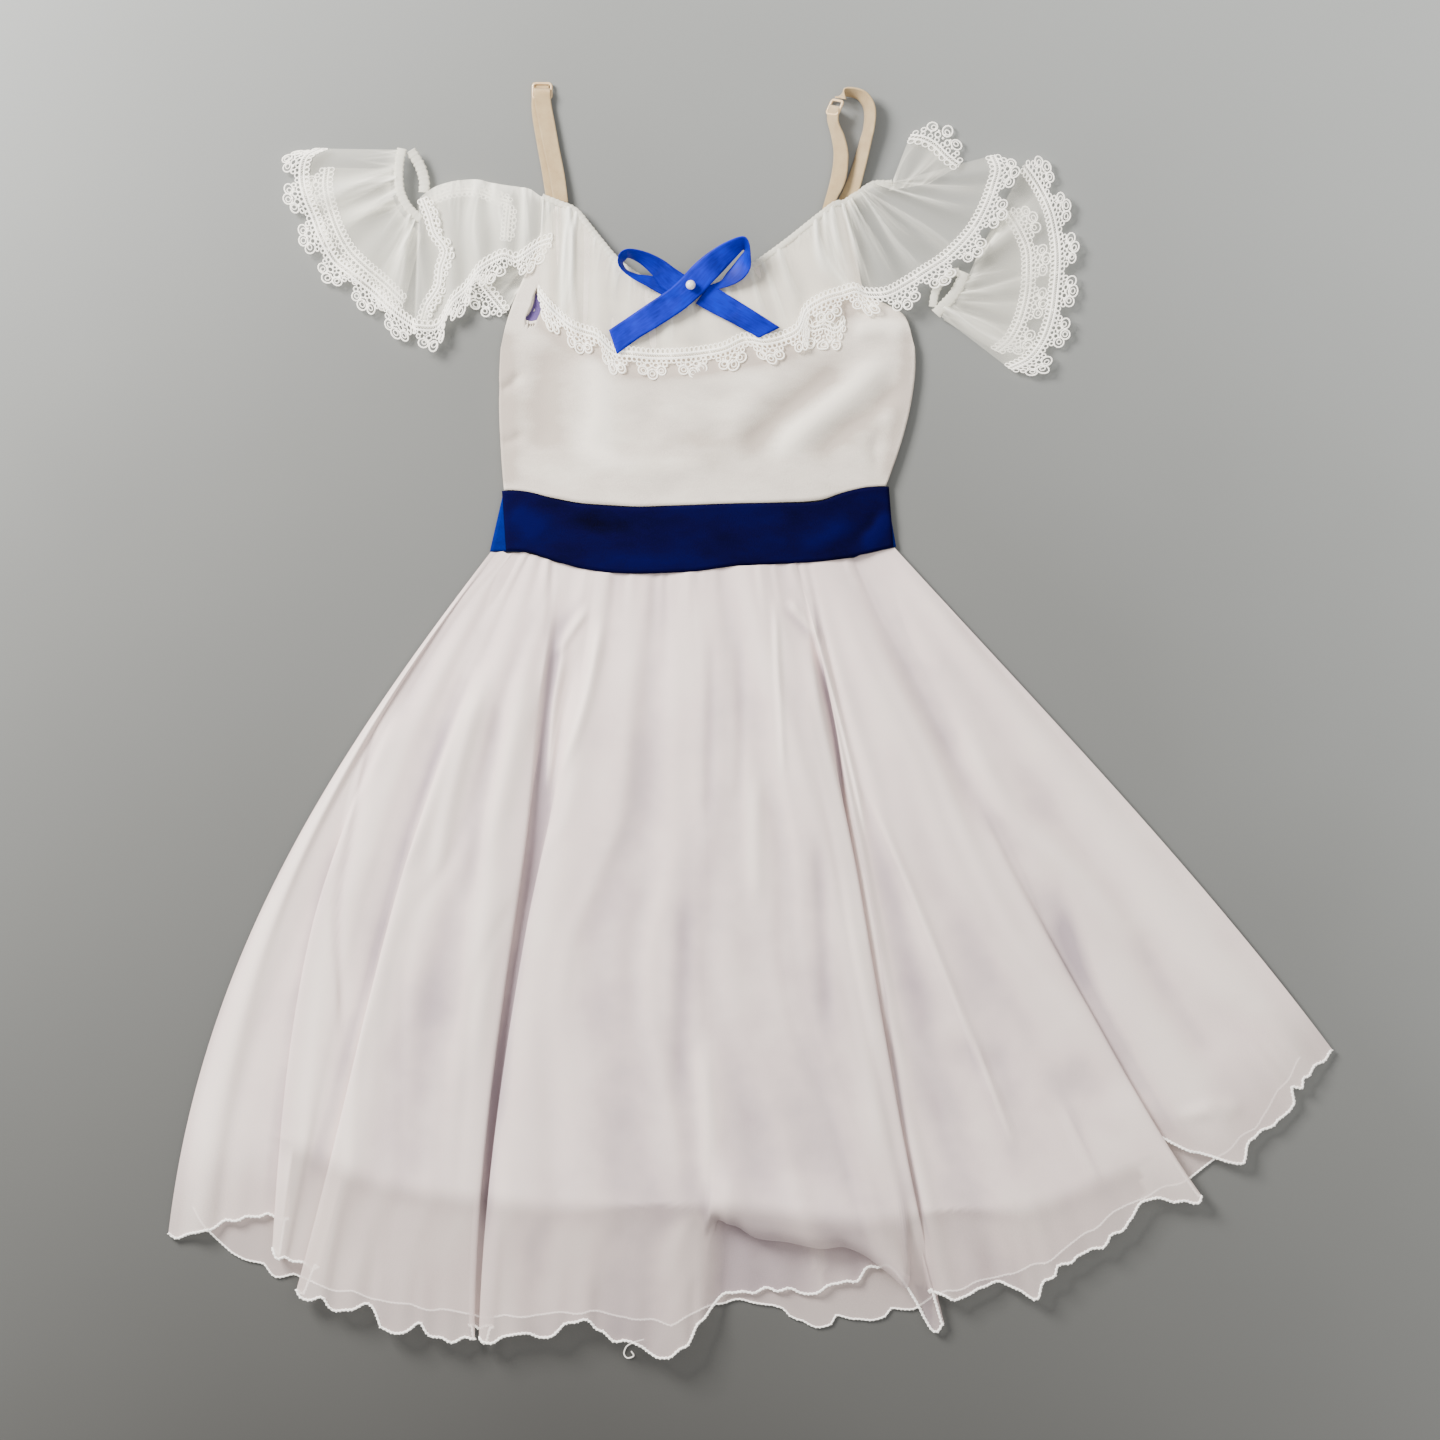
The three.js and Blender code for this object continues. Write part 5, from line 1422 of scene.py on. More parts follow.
    def stitch_hem(self, name: str, edge: Array,
                   loose_ends: Sequence[Sequence[Triple]] = (), radius: float = 0.0) -> Object:
        """Builds the rolled hem: a core and the thread wound over it.

        Args:
            name: The piece's name.
            edge: The cloth's edge, in the tables' millimetres.
            loose_ends: The places of the threads that hang off it.
            radius: The hem's radius, or 0 for the usual one.

        Returns:
            The hem's object.
        """
        radius = radius or self.hem_radius
        line = resampled(edge, 0.75)
        line[:, 2] = np.maximum(line[:, 2], radius + 0.2)
        cords = Cords(sides=5)
        cords.add(line[::2], radius * 0.8)
        tangent = directions(line)
        side = unit(np.cross(tangent, np.array([0.0, 0.0, 1.0])))
        turn = lengths_along(line) * FULL_TURN / self.hem_pitch
        wound = line + side * (np.cos(turn) * radius)[:, None]
        wound[:, 2] += np.sin(turn) * radius
        cords.sides = 4
        cords.add(wound, radius * 0.47)
        for loose in loose_ends:
            cords.add(spline(np.array(loose, float), 5), 0.42)
        return Piece(name, Finish.HEM, "skirt").build(cords, self.placement)

    def build(self) -> None:
        """Builds the three layers and the hems of the front and the back."""
        back = self.layer(BACK_LINES, self.back_height, 0.0, 60, 12)
        hem = np.array(BACK_HEM, float)
        pull = smooth((np.linspace(0.0, 1.0, back.points.shape[1]) - 0.8) / 0.2)
        run = lengths_along(back.points[:, -1, :2])
        (fine, fine_step), (broad, broad_step) = self.back_scallops
        scallops = fine * np.abs(np.sin(run * math.pi / fine_step))
        scallops += broad * np.sin(run * FULL_TURN / broad_step)
        for column, scallop in zip(back.points, scallops):
            end = column[-1, :2].copy()
            way = unit(end - column[-8, :2])
            column[:, :2] += way * ((self.reach_to(hem, end, way) + scallop) * pull)[:, None]
        self.gathers(back, seed=5, depth=0.5, reach=0.1)
        back.keep_above(0.25)
        back.cover[:] = self.back_cover
        back_piece = Piece("skirt_back_cloth", Finish.SKIRT, "skirt", ("skirt_back",))
        back_obj = back_piece.build(back, self.placement)
        back_hem = self.stitch_hem("skirt_back_hem", back.edge("outer"), radius=self.back_hem_radius)

        lining = self.layer(LINING_LINES, self.lining_height, self.lining_drop, 50)
        lining_piece = Piece("skirt_lining_cloth", Finish.LINING, "lining", ("skirt_lining",))
        lining_obj = lining_piece.build(lining, self.placement)

        front = self.front_surface()
        # Presses the creases and paints light and shade along the folds and laps
        front.press(SKIRT_CREASES + SKIRT_PAINTED_LIGHT_AND_SHADE)
        self.soften(front, seed=3, count=110, height=1.5)
        self.gathers(front, seed=11, depth=0.8, reach=0.1)
        # Painted light on the tops of the folds and painted shade at their feet
        front.paint_fold_light(reach=16, strength=0.07)
        self.flutter(front, seed=23, depth=0.9)
        front.keep_above(2.9)
        self.shade_by_lining(front)
        front_piece = Piece("skirt_front_cloth", Finish.SKIRT, "skirt", ("skirt_front",))
        front_obj = front_piece.build(front, self.placement)
        front_hem = self.stitch_hem("skirt_front_hem", front.edge("outer"), (LOOSE_HEM_THREAD,))


# The bodice and waistband


@dataclass(frozen=True)
class BodiceLine:
    """One line of the bodice from the waistband to the armhole, shoulder or neckline."""

    waist_x: float
    middle: Pair
    top: Pair
    back_top: Pair


BODICE_LINES = tuple(BodiceLine(row[0], row[1:3], row[3:5], row[5:]) for row in (
    (-153, -156, 190, -155, 230, -154, 229),
    (-145, -148, 192, -151, 247, -150, 246),
    (-136, -140, 198, -144, 266, -143, 265),
    (-127, -133, 208, -136, 284, -135, 283),
    (-117, -124, 218, -129, 304, -128, 303),
    (-106, -114, 222, -119, 319, -120, 318),
    (-95, -104, 222, -108, 315, -110, 311),
    (-83, -91, 212, -95, 298, -97, 292),
    (-70, -77, 204, -80, 281, -81, 273),
    (-54, -59, 200, -62, 270, -62, 260),
    (-37, -39, 198, -41, 266, -41, 255),
    (-21, -21, 200, -19, 270, -20, 259),
    (-6, -3, 204, 3, 282, 1, 272),
    (8, 14, 208, 21, 294, 19, 287),
    (21, 29, 216, 39, 309, 37, 304),
    (33, 42, 222, 52, 319, 52, 317),
    (44, 54, 222, 58, 313, 58, 312),
    (53, 63, 206, 65, 286, 64, 285),
    (62, 73, 198, 70, 264, 69, 263),
    (70, 83, 196, 83, 257, 82, 256),
    (77, 91, 194, 95, 249, 94, 248),
    (83, 98, 192, 101, 230, 100, 229),
))

# The bodice's soft creases, from left to right
BODICE_CREASES = creases(
    ((-142, 216, -149, 207, -158, 203), -1.6, 3.4),
    ((-140, 178, -149, 172, -157, 172), -1.2, 3.4),
    ((-118, 240, -128, 200, -124, 160), -2.2, 13),
    ((-112, 172, -88, 158, -60, 155, -16, 158), 1.6, 7),
    ((-100, 232, -94, 196, -96, 164), 1.5, 9),
    ((-64, 232, -60, 200, -66, 170), -1.2, 9),
    ((-10, 160, 14, 184, 40, 206, 66, 222), -2.4, 10),
    ((10, 156, 34, 180, 64, 204, 92, 232), 2.6, 9, 0.25, 0.8),
    ((34, 160, 58, 180, 80, 196, 98, 214), -2.0, 8),
    ((-20, 172, 0, 196, 22, 216), 1.6, 10),
    ((70, 170, 82, 184, 92, 200), 1.2, 5, 0.45),
    ((80, 150, 76, 170, 84, 188), -1.4, 4.5),
    ((60, 238, 80, 242, 97, 238), 1.6, 5),
    ((-76, 216, -30, 208, 16, 214), 1.4, 8),
    ((-56, 186, -34, 176, -8, 182), -1.2, 7),
)
# Light and shade painted in broad patches on the bodice, and painted shade under the lace
BODICE_PAINTED_LIGHT_AND_SHADE = painted_light_and_shade(
    ((-153, 244, -153, 200, -151, 141), 8, -0.42, 0.1),
    ((-120, 240, -126, 200, -122, 150), 12, -0.26),
    ((-96, 230, -92, 196, -98, 150), 10, 0.24),
    ((-70, 175, -30, 168, 20, 172), 11, -0.18),
    ((-60, 200, -20, 192, 10, 200), 9, 0.12),
    ((-10, 160, 14, 184, 40, 206, 66, 222), 8, -0.28),
    ((8, 152, 34, 180, 64, 204, 92, 232), 8, 0.34),
    ((34, 156, 58, 178, 80, 194, 98, 212), 7, -0.3),
    ((97, 244, 94, 200, 83, 146), 5, -0.34, 0.1),
    ((60, 240, 80, 243, 97, 239), 5, 0.24),
    ((-136, 255, -122, 243, -108, 233, -92, 228, -82, 219, -60, 216, -40, 217, -14, 221, 8, 225, 24, 229,
     37, 240, 52, 253, 70, 255), 6.5, -0.6, 0.05),
)
# The waistband's brushed patches and faint wrinkles, from left to right, with light and shade painted along
# them
BAND_CREASES = creases(
    ((-150, 132, -138, 122, -128, 112), 0.5, 9, 0.3, 1.0, 0.3),
    ((-118, 126, -92, 120, -60, 122), -0.5, 5, 0.4, 1.0, -0.12),
    ((-100, 100, -60, 97, -20, 100), 0.4, 5, 0.4, 1.0, 0.14),
    ((-30, 126, 0, 122, 30, 126), -0.4, 6, 0.4, 1.0, 0.1),
    ((24, 104, 46, 112, 66, 128), 0.6, 6, 0.4, 1.0, 0.2),
    ((56, 108, 70, 118, 82, 134), -0.5, 4, 0.4, 1.0, -0.14),
    ((66, 106, 78, 116, 86, 130), 0.6, 5, 0.3, 1.0, 0.36),
)


@dataclass
class Bodice:
    """The velvet bodice and the blue velvet waistband, front and back."""

    form: DressForm
    placement: Placement
    wall: float = 1.5
    rows: int = 60
    band_rows: int = 16
    armhole: tuple[Pair, ...] = (
        (-133.6, 263.5), (-134.8, 257), (-137, 251.6), (-139.8, 248.6), (-137, 246.9), (-132.4, 248.2),
        (-130.6, 253),
        (-131.4, 259),
    )
    armhole_edge: tuple[Pair, ...] = (
        (-134.8, 265), (-136.2, 257.6), (-138.6, 252.2), (-142, 248.2), (-137.4, 245.3), (-131.6, 246.6),
        (-129.4, 252),
    )

    def back_height(self, x: Array, y: Array) -> Array:
        """Returns the height of the back's upper face, which lies flat."""
        return np.full(np.shape(x), self.wall)

    def surface(self, top: str, height_at: HeightAt) -> Cloth:
        """Returns a bodice panel's surface, each line a quadratic through its waist, middle and top."""
        t = np.linspace(0.0, 1.0, self.rows + 1)
        columns = []
        for line in BODICE_LINES:
            waist_y = float(band_edge(BAND, "upper", line.waist_x)) + SEAM_GAP
            waist, middle = np.array([line.waist_x, waist_y]), np.array(line.middle)
            end = np.array(getattr(line, top))
            plan = (waist * ((t - 0.5) * (t - 1) * 2)[:, None] + middle * (t * (1 - t) * 4)[:, None]
                    + end * (t * (t - 0.5) * 2)[:, None])
            columns.append(np.column_stack([plan, height_at(plan[:, 0], plan[:, 1])]))
        return Cloth(spline(np.array(columns), 5))

    def band_surface(self, sections: Sequence[BandSection], height_at: HeightAt) -> Cloth:
        """Returns a waistband's surface between its upper and lower edges."""
        t = np.linspace(0.0, 1.0, self.band_rows + 1)[:, None]
        columns = []
        for section in sections:
            plan = between(np.array(section.upper, float), np.array(section.lower, float), t)
            columns.append(np.column_stack([plan, height_at(plan[:, 0], plan[:, 1])]))
        return Cloth(spline(np.array(columns), 8))

    def rolled_edges(self, cloth: Cloth, out: float, down: float) -> Cloth:
        """Returns the cloth with its two side edges rolled outward and down."""
        points = cloth.points
        turns = [0.35, 0.7, 0.92, 1.0]
        left = unit(points[0] - points[1]) * out
        right = unit(points[-1] - points[-2]) * out
        steps = [(math.sin(s * math.pi / 2), np.array([0, 0, down * s * s])) for s in turns]
        added_left = [points[0] + left * share - fall for share, fall in steps]
        added_right = [points[-1] + right * share - fall for share, fall in steps]
        return Cloth(np.concatenate([np.array(added_left[::-1]), points, np.array(added_right)]))

    def inside_armhole(self, cloth: Cloth) -> Array:
        """Returns True at the points that lie in the armhole's crescent."""
        outline = spline(np.array([*self.armhole, self.armhole[0]]), 4)
        inside = np.zeros(cloth.x.shape, bool)
        for (ax, ay), (bx, by) in zip(outline[:-1], outline[1:]):
            crosses = (ay > cloth.y) != (by > cloth.y)
            at = ax + (bx - ax) * (cloth.y - ay) / np.where(by == ay, 1e-9, by - ay)
            inside ^= crosses & (cloth.x < at)
        return inside

    def armhole_binding(self) -> Object:
        """Builds the rolled binding round the armhole."""
        line = spline(np.array(self.armhole_edge), 5)
        height = self.form.height(line[:, 0], line[:, 1]) + 0.1
        cords = Cords(sides=8)
        cords.add(np.column_stack([line, height]), 1.15, flat=0.7)
        return Piece("armhole_binding", Finish.BODICE, "bodice").build(cords, self.placement)

    def armhole_inside(self) -> Object:
        """Builds the bodice's inner face that shows through the armhole, coloured dark violet as painted
        shade.
        """
        ring = spline(np.array([*self.armhole, self.armhole[0]]), 5)
        middle = ring[:-1].mean(axis=0)
        shares = np.linspace(1.08, 0.12, 7)
        plan = middle + (ring - middle)[:, None] * shares[None, :, None]
        height = self.form.height(plan[..., 0], plan[..., 1]) - 1.1 - 0.5 * (1.0 - shares)
        cloth = Cloth(np.concatenate([plan, height[..., None]], axis=2))
        return Piece("armhole_inside", Finish.INSIDE, "bodice").build(cloth, self.placement)

    def build(self) -> None:
        """Builds both bodice panels, both bands and the armhole's binding."""
        back_piece = Piece("bodice_back_velvet", Finish.BODICE, "bodice", ("bodice_back",))
        back = self.surface("back_top", self.back_height)
        back_obj = back_piece.build(back, self.placement, wall=self.wall)
        front = self.surface("top", self.form.height)
        # Presses the creases and paints the bodice's light and shade
        front.press(BODICE_CREASES + BODICE_PAINTED_LIGHT_AND_SHADE)
        hole = self.inside_armhole(front)
        front_piece = Piece("bodice_front_velvet", Finish.BODICE, "bodice", ("bodice_front",))
        front_obj = front_piece.build(front, self.placement, wall=self.wall, left_out=hole)
        binding = self.armhole_binding()
        inside = self.armhole_inside()
        band_back = self.band_surface(back_band(), self.back_height)
        # The back band shows past the front's ends, with the velvet's sheen painted in as a brighter blue
        band_back_piece = Piece("waistband_back_velvet", Finish.BAND_PAINTED_SHEEN, "waistband", ("waistband_back",))
        band_back_obj = band_back_piece.build(band_back, self.placement, wall=self.wall)
        band = self.rolled_edges(self.band_surface(BAND, self.form.height), out=0.6, down=1.4)
        band.press(BAND_CREASES)
        band_piece = Piece("waistband_front_velvet", Finish.WAISTBAND, "waistband", ("waistband_front",))
        band_obj = band_piece.build(band, self.placement, wall=self.wall)


# The ruffles and their lace


@dataclass(frozen=True)
class RuffleRow:
    """One row of a ruffle, from the gathered edge to the edge that carries the lace."""

    inner: Pair
    outer: Pair
    lift: float = 0.0
    sink: float = 0.0
    off_dress: bool = False


@dataclass(frozen=True)
class RuffleShape:
    """A ruffle's rows, its levels over what it lies on, and how it is gathered."""

    name: str
    rows: tuple[RuffleRow, ...]
    inner_level: float
    outer_level: float
    wave: float
    on_dress: bool = False
    gathers: int = 40
    gather_height: float = 0.9
    cover: float = 0.23
    sheet_size: Triple = (0.1, 0.06, 0.004)
    stands_for: tuple[str, ...] = ()
    fade_start: float = 0.0
    # How strongly light and shade are painted on the gathers' tops and feet
    painted_fold_light: float = 0.16
    inner_reach: float = 0.0
    fan_inner_level: float = 6.6
    fan_outer_level: float = 7.6
    lace_runs: tuple[tuple[Triple, ...], ...] = ()


def rows_of(*rows: tuple[float, ...]) -> tuple[RuffleRow, ...]:
    """Returns ruffle rows from inner x and y, outer x and y, and the lift and sink if any."""
    return tuple(RuffleRow(row[0:2], row[2:4], *row[4:6]) for row in rows)


FAN_ROWS = tuple(RuffleRow(row[:2], row[2:], off_dress=True) for row in (
    (60.6, 321.4, 84, 262.6), (63.5, 323.6, 96, 269), (66.5, 325, 108, 276.5), (69.5, 327.5, 119, 284),
    (72.5, 329.5, 129, 293), (75.5, 331, 138, 304), (78.5, 331.5, 145, 317), (81.5, 331.5, 150, 331),
    (84.5, 331.5, 152, 340), (87, 332, 149, 348.5),
))
NECK_RUFFLE = RuffleShape("neck", rows_of(
    (-129.4, 323, -132, 264), (-125.4, 321.5, -126, 256), (-119, 319, -119, 249), (-109, 314.5, -111, 242),
    (-101, 305, -103, 239), (-93, 295, -95, 236), (-85, 285.5, -85, 227), (-75, 276.5, -73, 225),
    (-64, 270.5, -60, 224), (-52, 267, -46, 224), (-40, 265.5, -32, 225.5), (-28, 267, -17, 228),
    (-17, 270.5, -4, 234), (-7, 276, 8, 232.5), (3, 281.5, 19, 235, 0.8), (13, 288.5, 29, 240, 1.8),
    (23, 296, 34, 252, 1.8), (33, 304, 45, 259, 1.8), (43, 312, 57, 263, 1.8),
    (51.5, 318.4, 64.5, 265, 1.4),
    (57, 319.3, 71.6, 262.4, 1),
) + FAN_ROWS, 1.35, 1.35, 2.2, on_dress=True, gathers=150, gather_height=0.95, cover=0.4, painted_fold_light=0.3,
    sheet_size=(0.38, 0.07, 0.017), stands_for=("neck", "right_fan"))
RIGHT_BACK = RuffleShape("right_back", rows_of(
    (85, 327, 98, 361), (90, 328, 106, 360), (96, 329, 114, 356), (102, 330, 121, 349),
    (109, 331, 129, 343),
), 4.8, 1.6, 0.8, gathers=14, sheet_size=(0.04, 0.035, 0.0009))
RIGHT_BELL = RuffleShape("right_bell", rows_of(
    (117, 249.5, 160, 217), (120.5, 253, 172, 223), (124.5, 257, 181, 235), (128, 261, 186, 250),
    (131, 265, 188.5, 267), (134, 269.5, 189.5, 284), (136.5, 275, 188.5, 300), (139, 282, 184.5, 316),
    (142, 290, 177.5, 331), (146, 299, 168.5, 343),
), 5, 2.8, 2.4, gathers=30, inner_reach=2.8, sheet_size=(0.13, 0.06, 0.0047))
RIGHT_BELL_BACK = RuffleShape("right_bell_back", rows_of(
    (119, 247.5, 152, 228), (123, 252, 161, 236), (127, 256.5, 167, 248), (130.5, 262, 171, 264),
    (134, 269, 172, 280), (137, 277, 171, 292), (140, 286, 166, 304), (143, 295, 159, 315),
), 1.6, 1.1, 0.6, gathers=30, sheet_size=(0.09, 0.042, 0.0025))
LEFT_BELL = RuffleShape("left_bell", rows_of(
    (-220, 352, -266, 353.5), (-221.5, 346, -276, 347.5), (-222, 340, -278.5, 336), (-222, 334, -276, 324),
    (-221.5, 328.5, -271, 311), (-220, 323, -266, 298), (-218, 318, -258, 284), (-215, 313, -247, 275),
    (-211, 308.5, -235, 265.5), (-208.4, 305.6, -222, 253), (-205, 302.6, -207.8, 242.5),
), 7.6, 2.8, 2.6, gathers=32, inner_reach=2.8, sheet_size=(0.13, 0.065, 0.0052))
LEFT_BELL_BACK = RuffleShape("left_bell_back", rows_of(
    (-223, 341, -263, 342), (-223.5, 334, -264, 330), (-223, 328, -261, 316), (-221, 321, -256, 302),
    (-218, 315, -249, 290), (-214, 310, -239, 280), (-209, 305, -227, 270), (-204, 300.5, -215, 258),
), 1.6, 1.1, 0.6, gathers=30, sheet_size=(0.1, 0.045, 0.0029))
LEFT_BRIDGE = RuffleShape("left_bridge", rows_of(
    (-207, 318, -209.5, 244, 0, -3.6), (-203.9, 323, -206.2, 242), (-196, 329, -194, 243),
    (-187, 332, -185, 258), (-178, 333.5, -177, 266),
    (-169, 333.5, -169, 277), (-160, 331.5, -161, 283), (-151, 330, -153, 286), (-143, 329, -146, 284),
    (-136.5, 327.5, -140, 287), (-130.1, 323.4, -131.4, 293.4, 0, -0.4), (-123, 322, -123, 296, 0, -1.5),
), 6.4, 6.2, 2.2, gathers=30, cover=0.56, fade_start=0.2, sheet_size=(0.085, 0.082, 0.0048), lace_runs=(
    ((-203.3, 322, 8.2), (-199.3, 312, 8.6), (-195.6, 300, 8.6), (-189, 290, 8.4), (-191.9, 279, 8.0),
     (-193.5, 267, 7.8), (-200.5, 256, 7.6), (-203.6, 246, 7.4)),
    ((-198, 321.5, 5.4), (-186, 326, 5.6), (-170, 327, 5.6), (-158, 322, 5.6), (-148, 319, 5.6)),
    ((-150, 318, 5.4), (-151, 308, 5.4), (-152, 296, 5.4)),
))
LEFT_BACK = RuffleShape("left_back", rows_of(
    (-133.6, 289.4, -171, 274.5), (-136.6, 281.4, -165, 267), (-140.6, 272.4, -158, 258.5),
    (-145, 262.4, -152.8, 251.5),
), 1.6, 1.2, 0.6, gathers=12, sheet_size=(0.035, 0.03, 0.0007))
NECK_FLAP = RuffleShape("neck_flap", rows_of(
    (36, 251, 31.5, 247), (40, 251.6, 37.5, 241), (45, 252, 45, 242.5), (50, 253, 52, 240),
    (53, 254, 58, 245.5),
), 1.35, 1.35, 0.0, on_dress=True, gathers=6, sheet_size=(0.028, 0.012, 0.00024))
RUFFLES = (NECK_RUFFLE, RIGHT_BACK, RIGHT_BELL_BACK, RIGHT_BELL,
           LEFT_BELL_BACK, LEFT_BELL, LEFT_BRIDGE, LEFT_BACK, NECK_FLAP)


@dataclass(frozen=True)
class Ring:
    """A round loop of the lace, in shares of a repeat along it and millimetres deep."""

    along: float
    depth: float
    radius: float
    thread: float = 0.42


@dataclass(frozen=True)
class LacePattern:
    """One repeat of the lace: picots, a corded band, a row of mesh and a fan of loops."""

    pitch: float = 25.0
    picots: int = 8
    picot_depth: float = -3.2
    band_low: float = -1.5
    band_high: float = 1.1
    cord: float = 0.6
    stitches: int = 16
    mesh_depth: float = 2.9
    mesh_loops: int = 8
    mesh_size: float = 1.35
    mesh_uneven: Pair = (0.9, 1.1)
    picot_share: float = 0.42
    picot_deep: float = 1.6
    fine_thread: float = 0.36
    stitch_thread: float = 0.38
    ring_sides: int = 12
    ring_uneven: Pair = (0.93, 1.08)
    ring_squash: Pair = (0.9, 1.1)
    ring_stray: float = 0.3
    knot_half: float = 0.6
    knot_rise: float = 0.15
    knot_thread: float = 0.75
    cord_step: float = 1.4
    rings: tuple[Ring, ...] = (
        Ring(0.5, 11.1, 3.0, 0.5),
        Ring(0.5, 10.8, 1.5, 0.36),
        Ring(0.27, 9.1, 2.8, 0.48),
        Ring(0.285, 8.9, 1.35, 0.34),
        Ring(0.73, 9.1, 2.8, 0.48),
        Ring(0.715, 8.9, 1.35, 0.34),
        Ring(0.4, 5.8, 1.6, 0.44),
        Ring(0.6, 5.8, 1.6, 0.44),
        Ring(0.17, 5.3, 1.3, 0.42),
        Ring(0.83, 5.3, 1.3, 0.42),
    )
    knots: tuple[Pair, ...] = ((0.5, 8.1), (0.385, 8.2), (0.615, 8.2), (0.5, 5.9), (0.29, 5.6), (0.71, 5.6))

    def loop(self, centre: float, depth: float, wide: float, deep: float) -> Array:
        """Returns the points of a round loop."""
        turn = np.linspace(0.0, FULL_TURN, self.ring_sides + 1)[:-1]
        return np.column_stack([centre + wide * np.cos(turn), depth + deep * np.sin(turn)])

    def lines(self, start: float, pitch: float, random: np.random.Generator) -> Iterable[FlatThread]:
        """Gives one repeat's threads, laid out flat.

        Args:
            start: Where the repeat begins along the lace.
            pitch: The repeat's length.
            random: Makes the loops a little uneven.

        Yields:
            Each thread's points along and deep, its radius, and whether it is a closed loop.
        """
        for k in range(self.picots):
            centre = start + (k + 0.5) / self.picots * pitch
            wide = pitch / self.picots * self.picot_share
            yield self.loop(centre, self.picot_depth, wide, self.picot_deep), self.fine_thread, True
        for k in range(self.mesh_loops):
            centre = start + (k + 0.5) / self.mesh_loops * pitch
            size = self.mesh_size * random.uniform(*self.mesh_uneven)
            yield self.loop(centre, self.mesh_depth, size, size), self.fine_thread, True
        places = np.linspace(start, start + pitch, 2 * self.stitches + 1)
        zigzag = np.where(np.arange(len(places)) % 2, self.band_high, self.band_low)
        yield np.column_stack([places, zigzag]), self.stitch_thread, False
        stray = self.ring_stray
        for ring in self.rings:
            size = ring.radius * random.uniform(*self.ring_uneven)
            squash = random.uniform(*self.ring_squash)
            centre = start + ring.along * pitch + random.uniform(-stray, stray)
            depth = ring.depth + random.uniform(-stray, stray)
            yield self.loop(centre, depth, size * squash, size / squash), ring.thread, True
        half, rise = self.knot_half, self.knot_rise
        for along, depth in self.knots:
            centre = start + along * pitch
            knot = np.array([[centre - half, depth], [centre, depth + rise], [centre + half, depth]])
            yield knot, self.knot_thread, False

    def repeated(self, length: float, random: np.random.Generator) -> list[FlatThread]:
        """Returns the threads of all the repeats that fit a length of lace."""
        repeats = max(1, round(length / self.pitch))
        pitch = length / repeats
        return [thread for k in range(repeats) for thread in self.lines(k * pitch, pitch, random)]

    def cords(self, length: float) -> Iterable[FlatThread]:
        """Gives the two cords that run the lace's whole length."""
        places = np.arange(0.0, length, self.cord_step)
        for depth in (self.band_low, self.band_high):
            yield np.column_stack([places, np.full(len(places), depth)]), self.cord, False


@dataclass(frozen=True)
class GatherKind:
    """A kind of gather: the least and the most of its reach, strength and width, and its cover."""

    reach: Pair
    strength: Pair
    width: Pair
    cover: float


MAIN_GATHERS = GatherKind((0.7, 1.4), (0.7, 1.3), (0.9, 1.7), 0.3)
FINE_GATHERS = GatherKind((0.12, 0.5), (0.15, 0.5), (0.25, 0.6), 0.5)


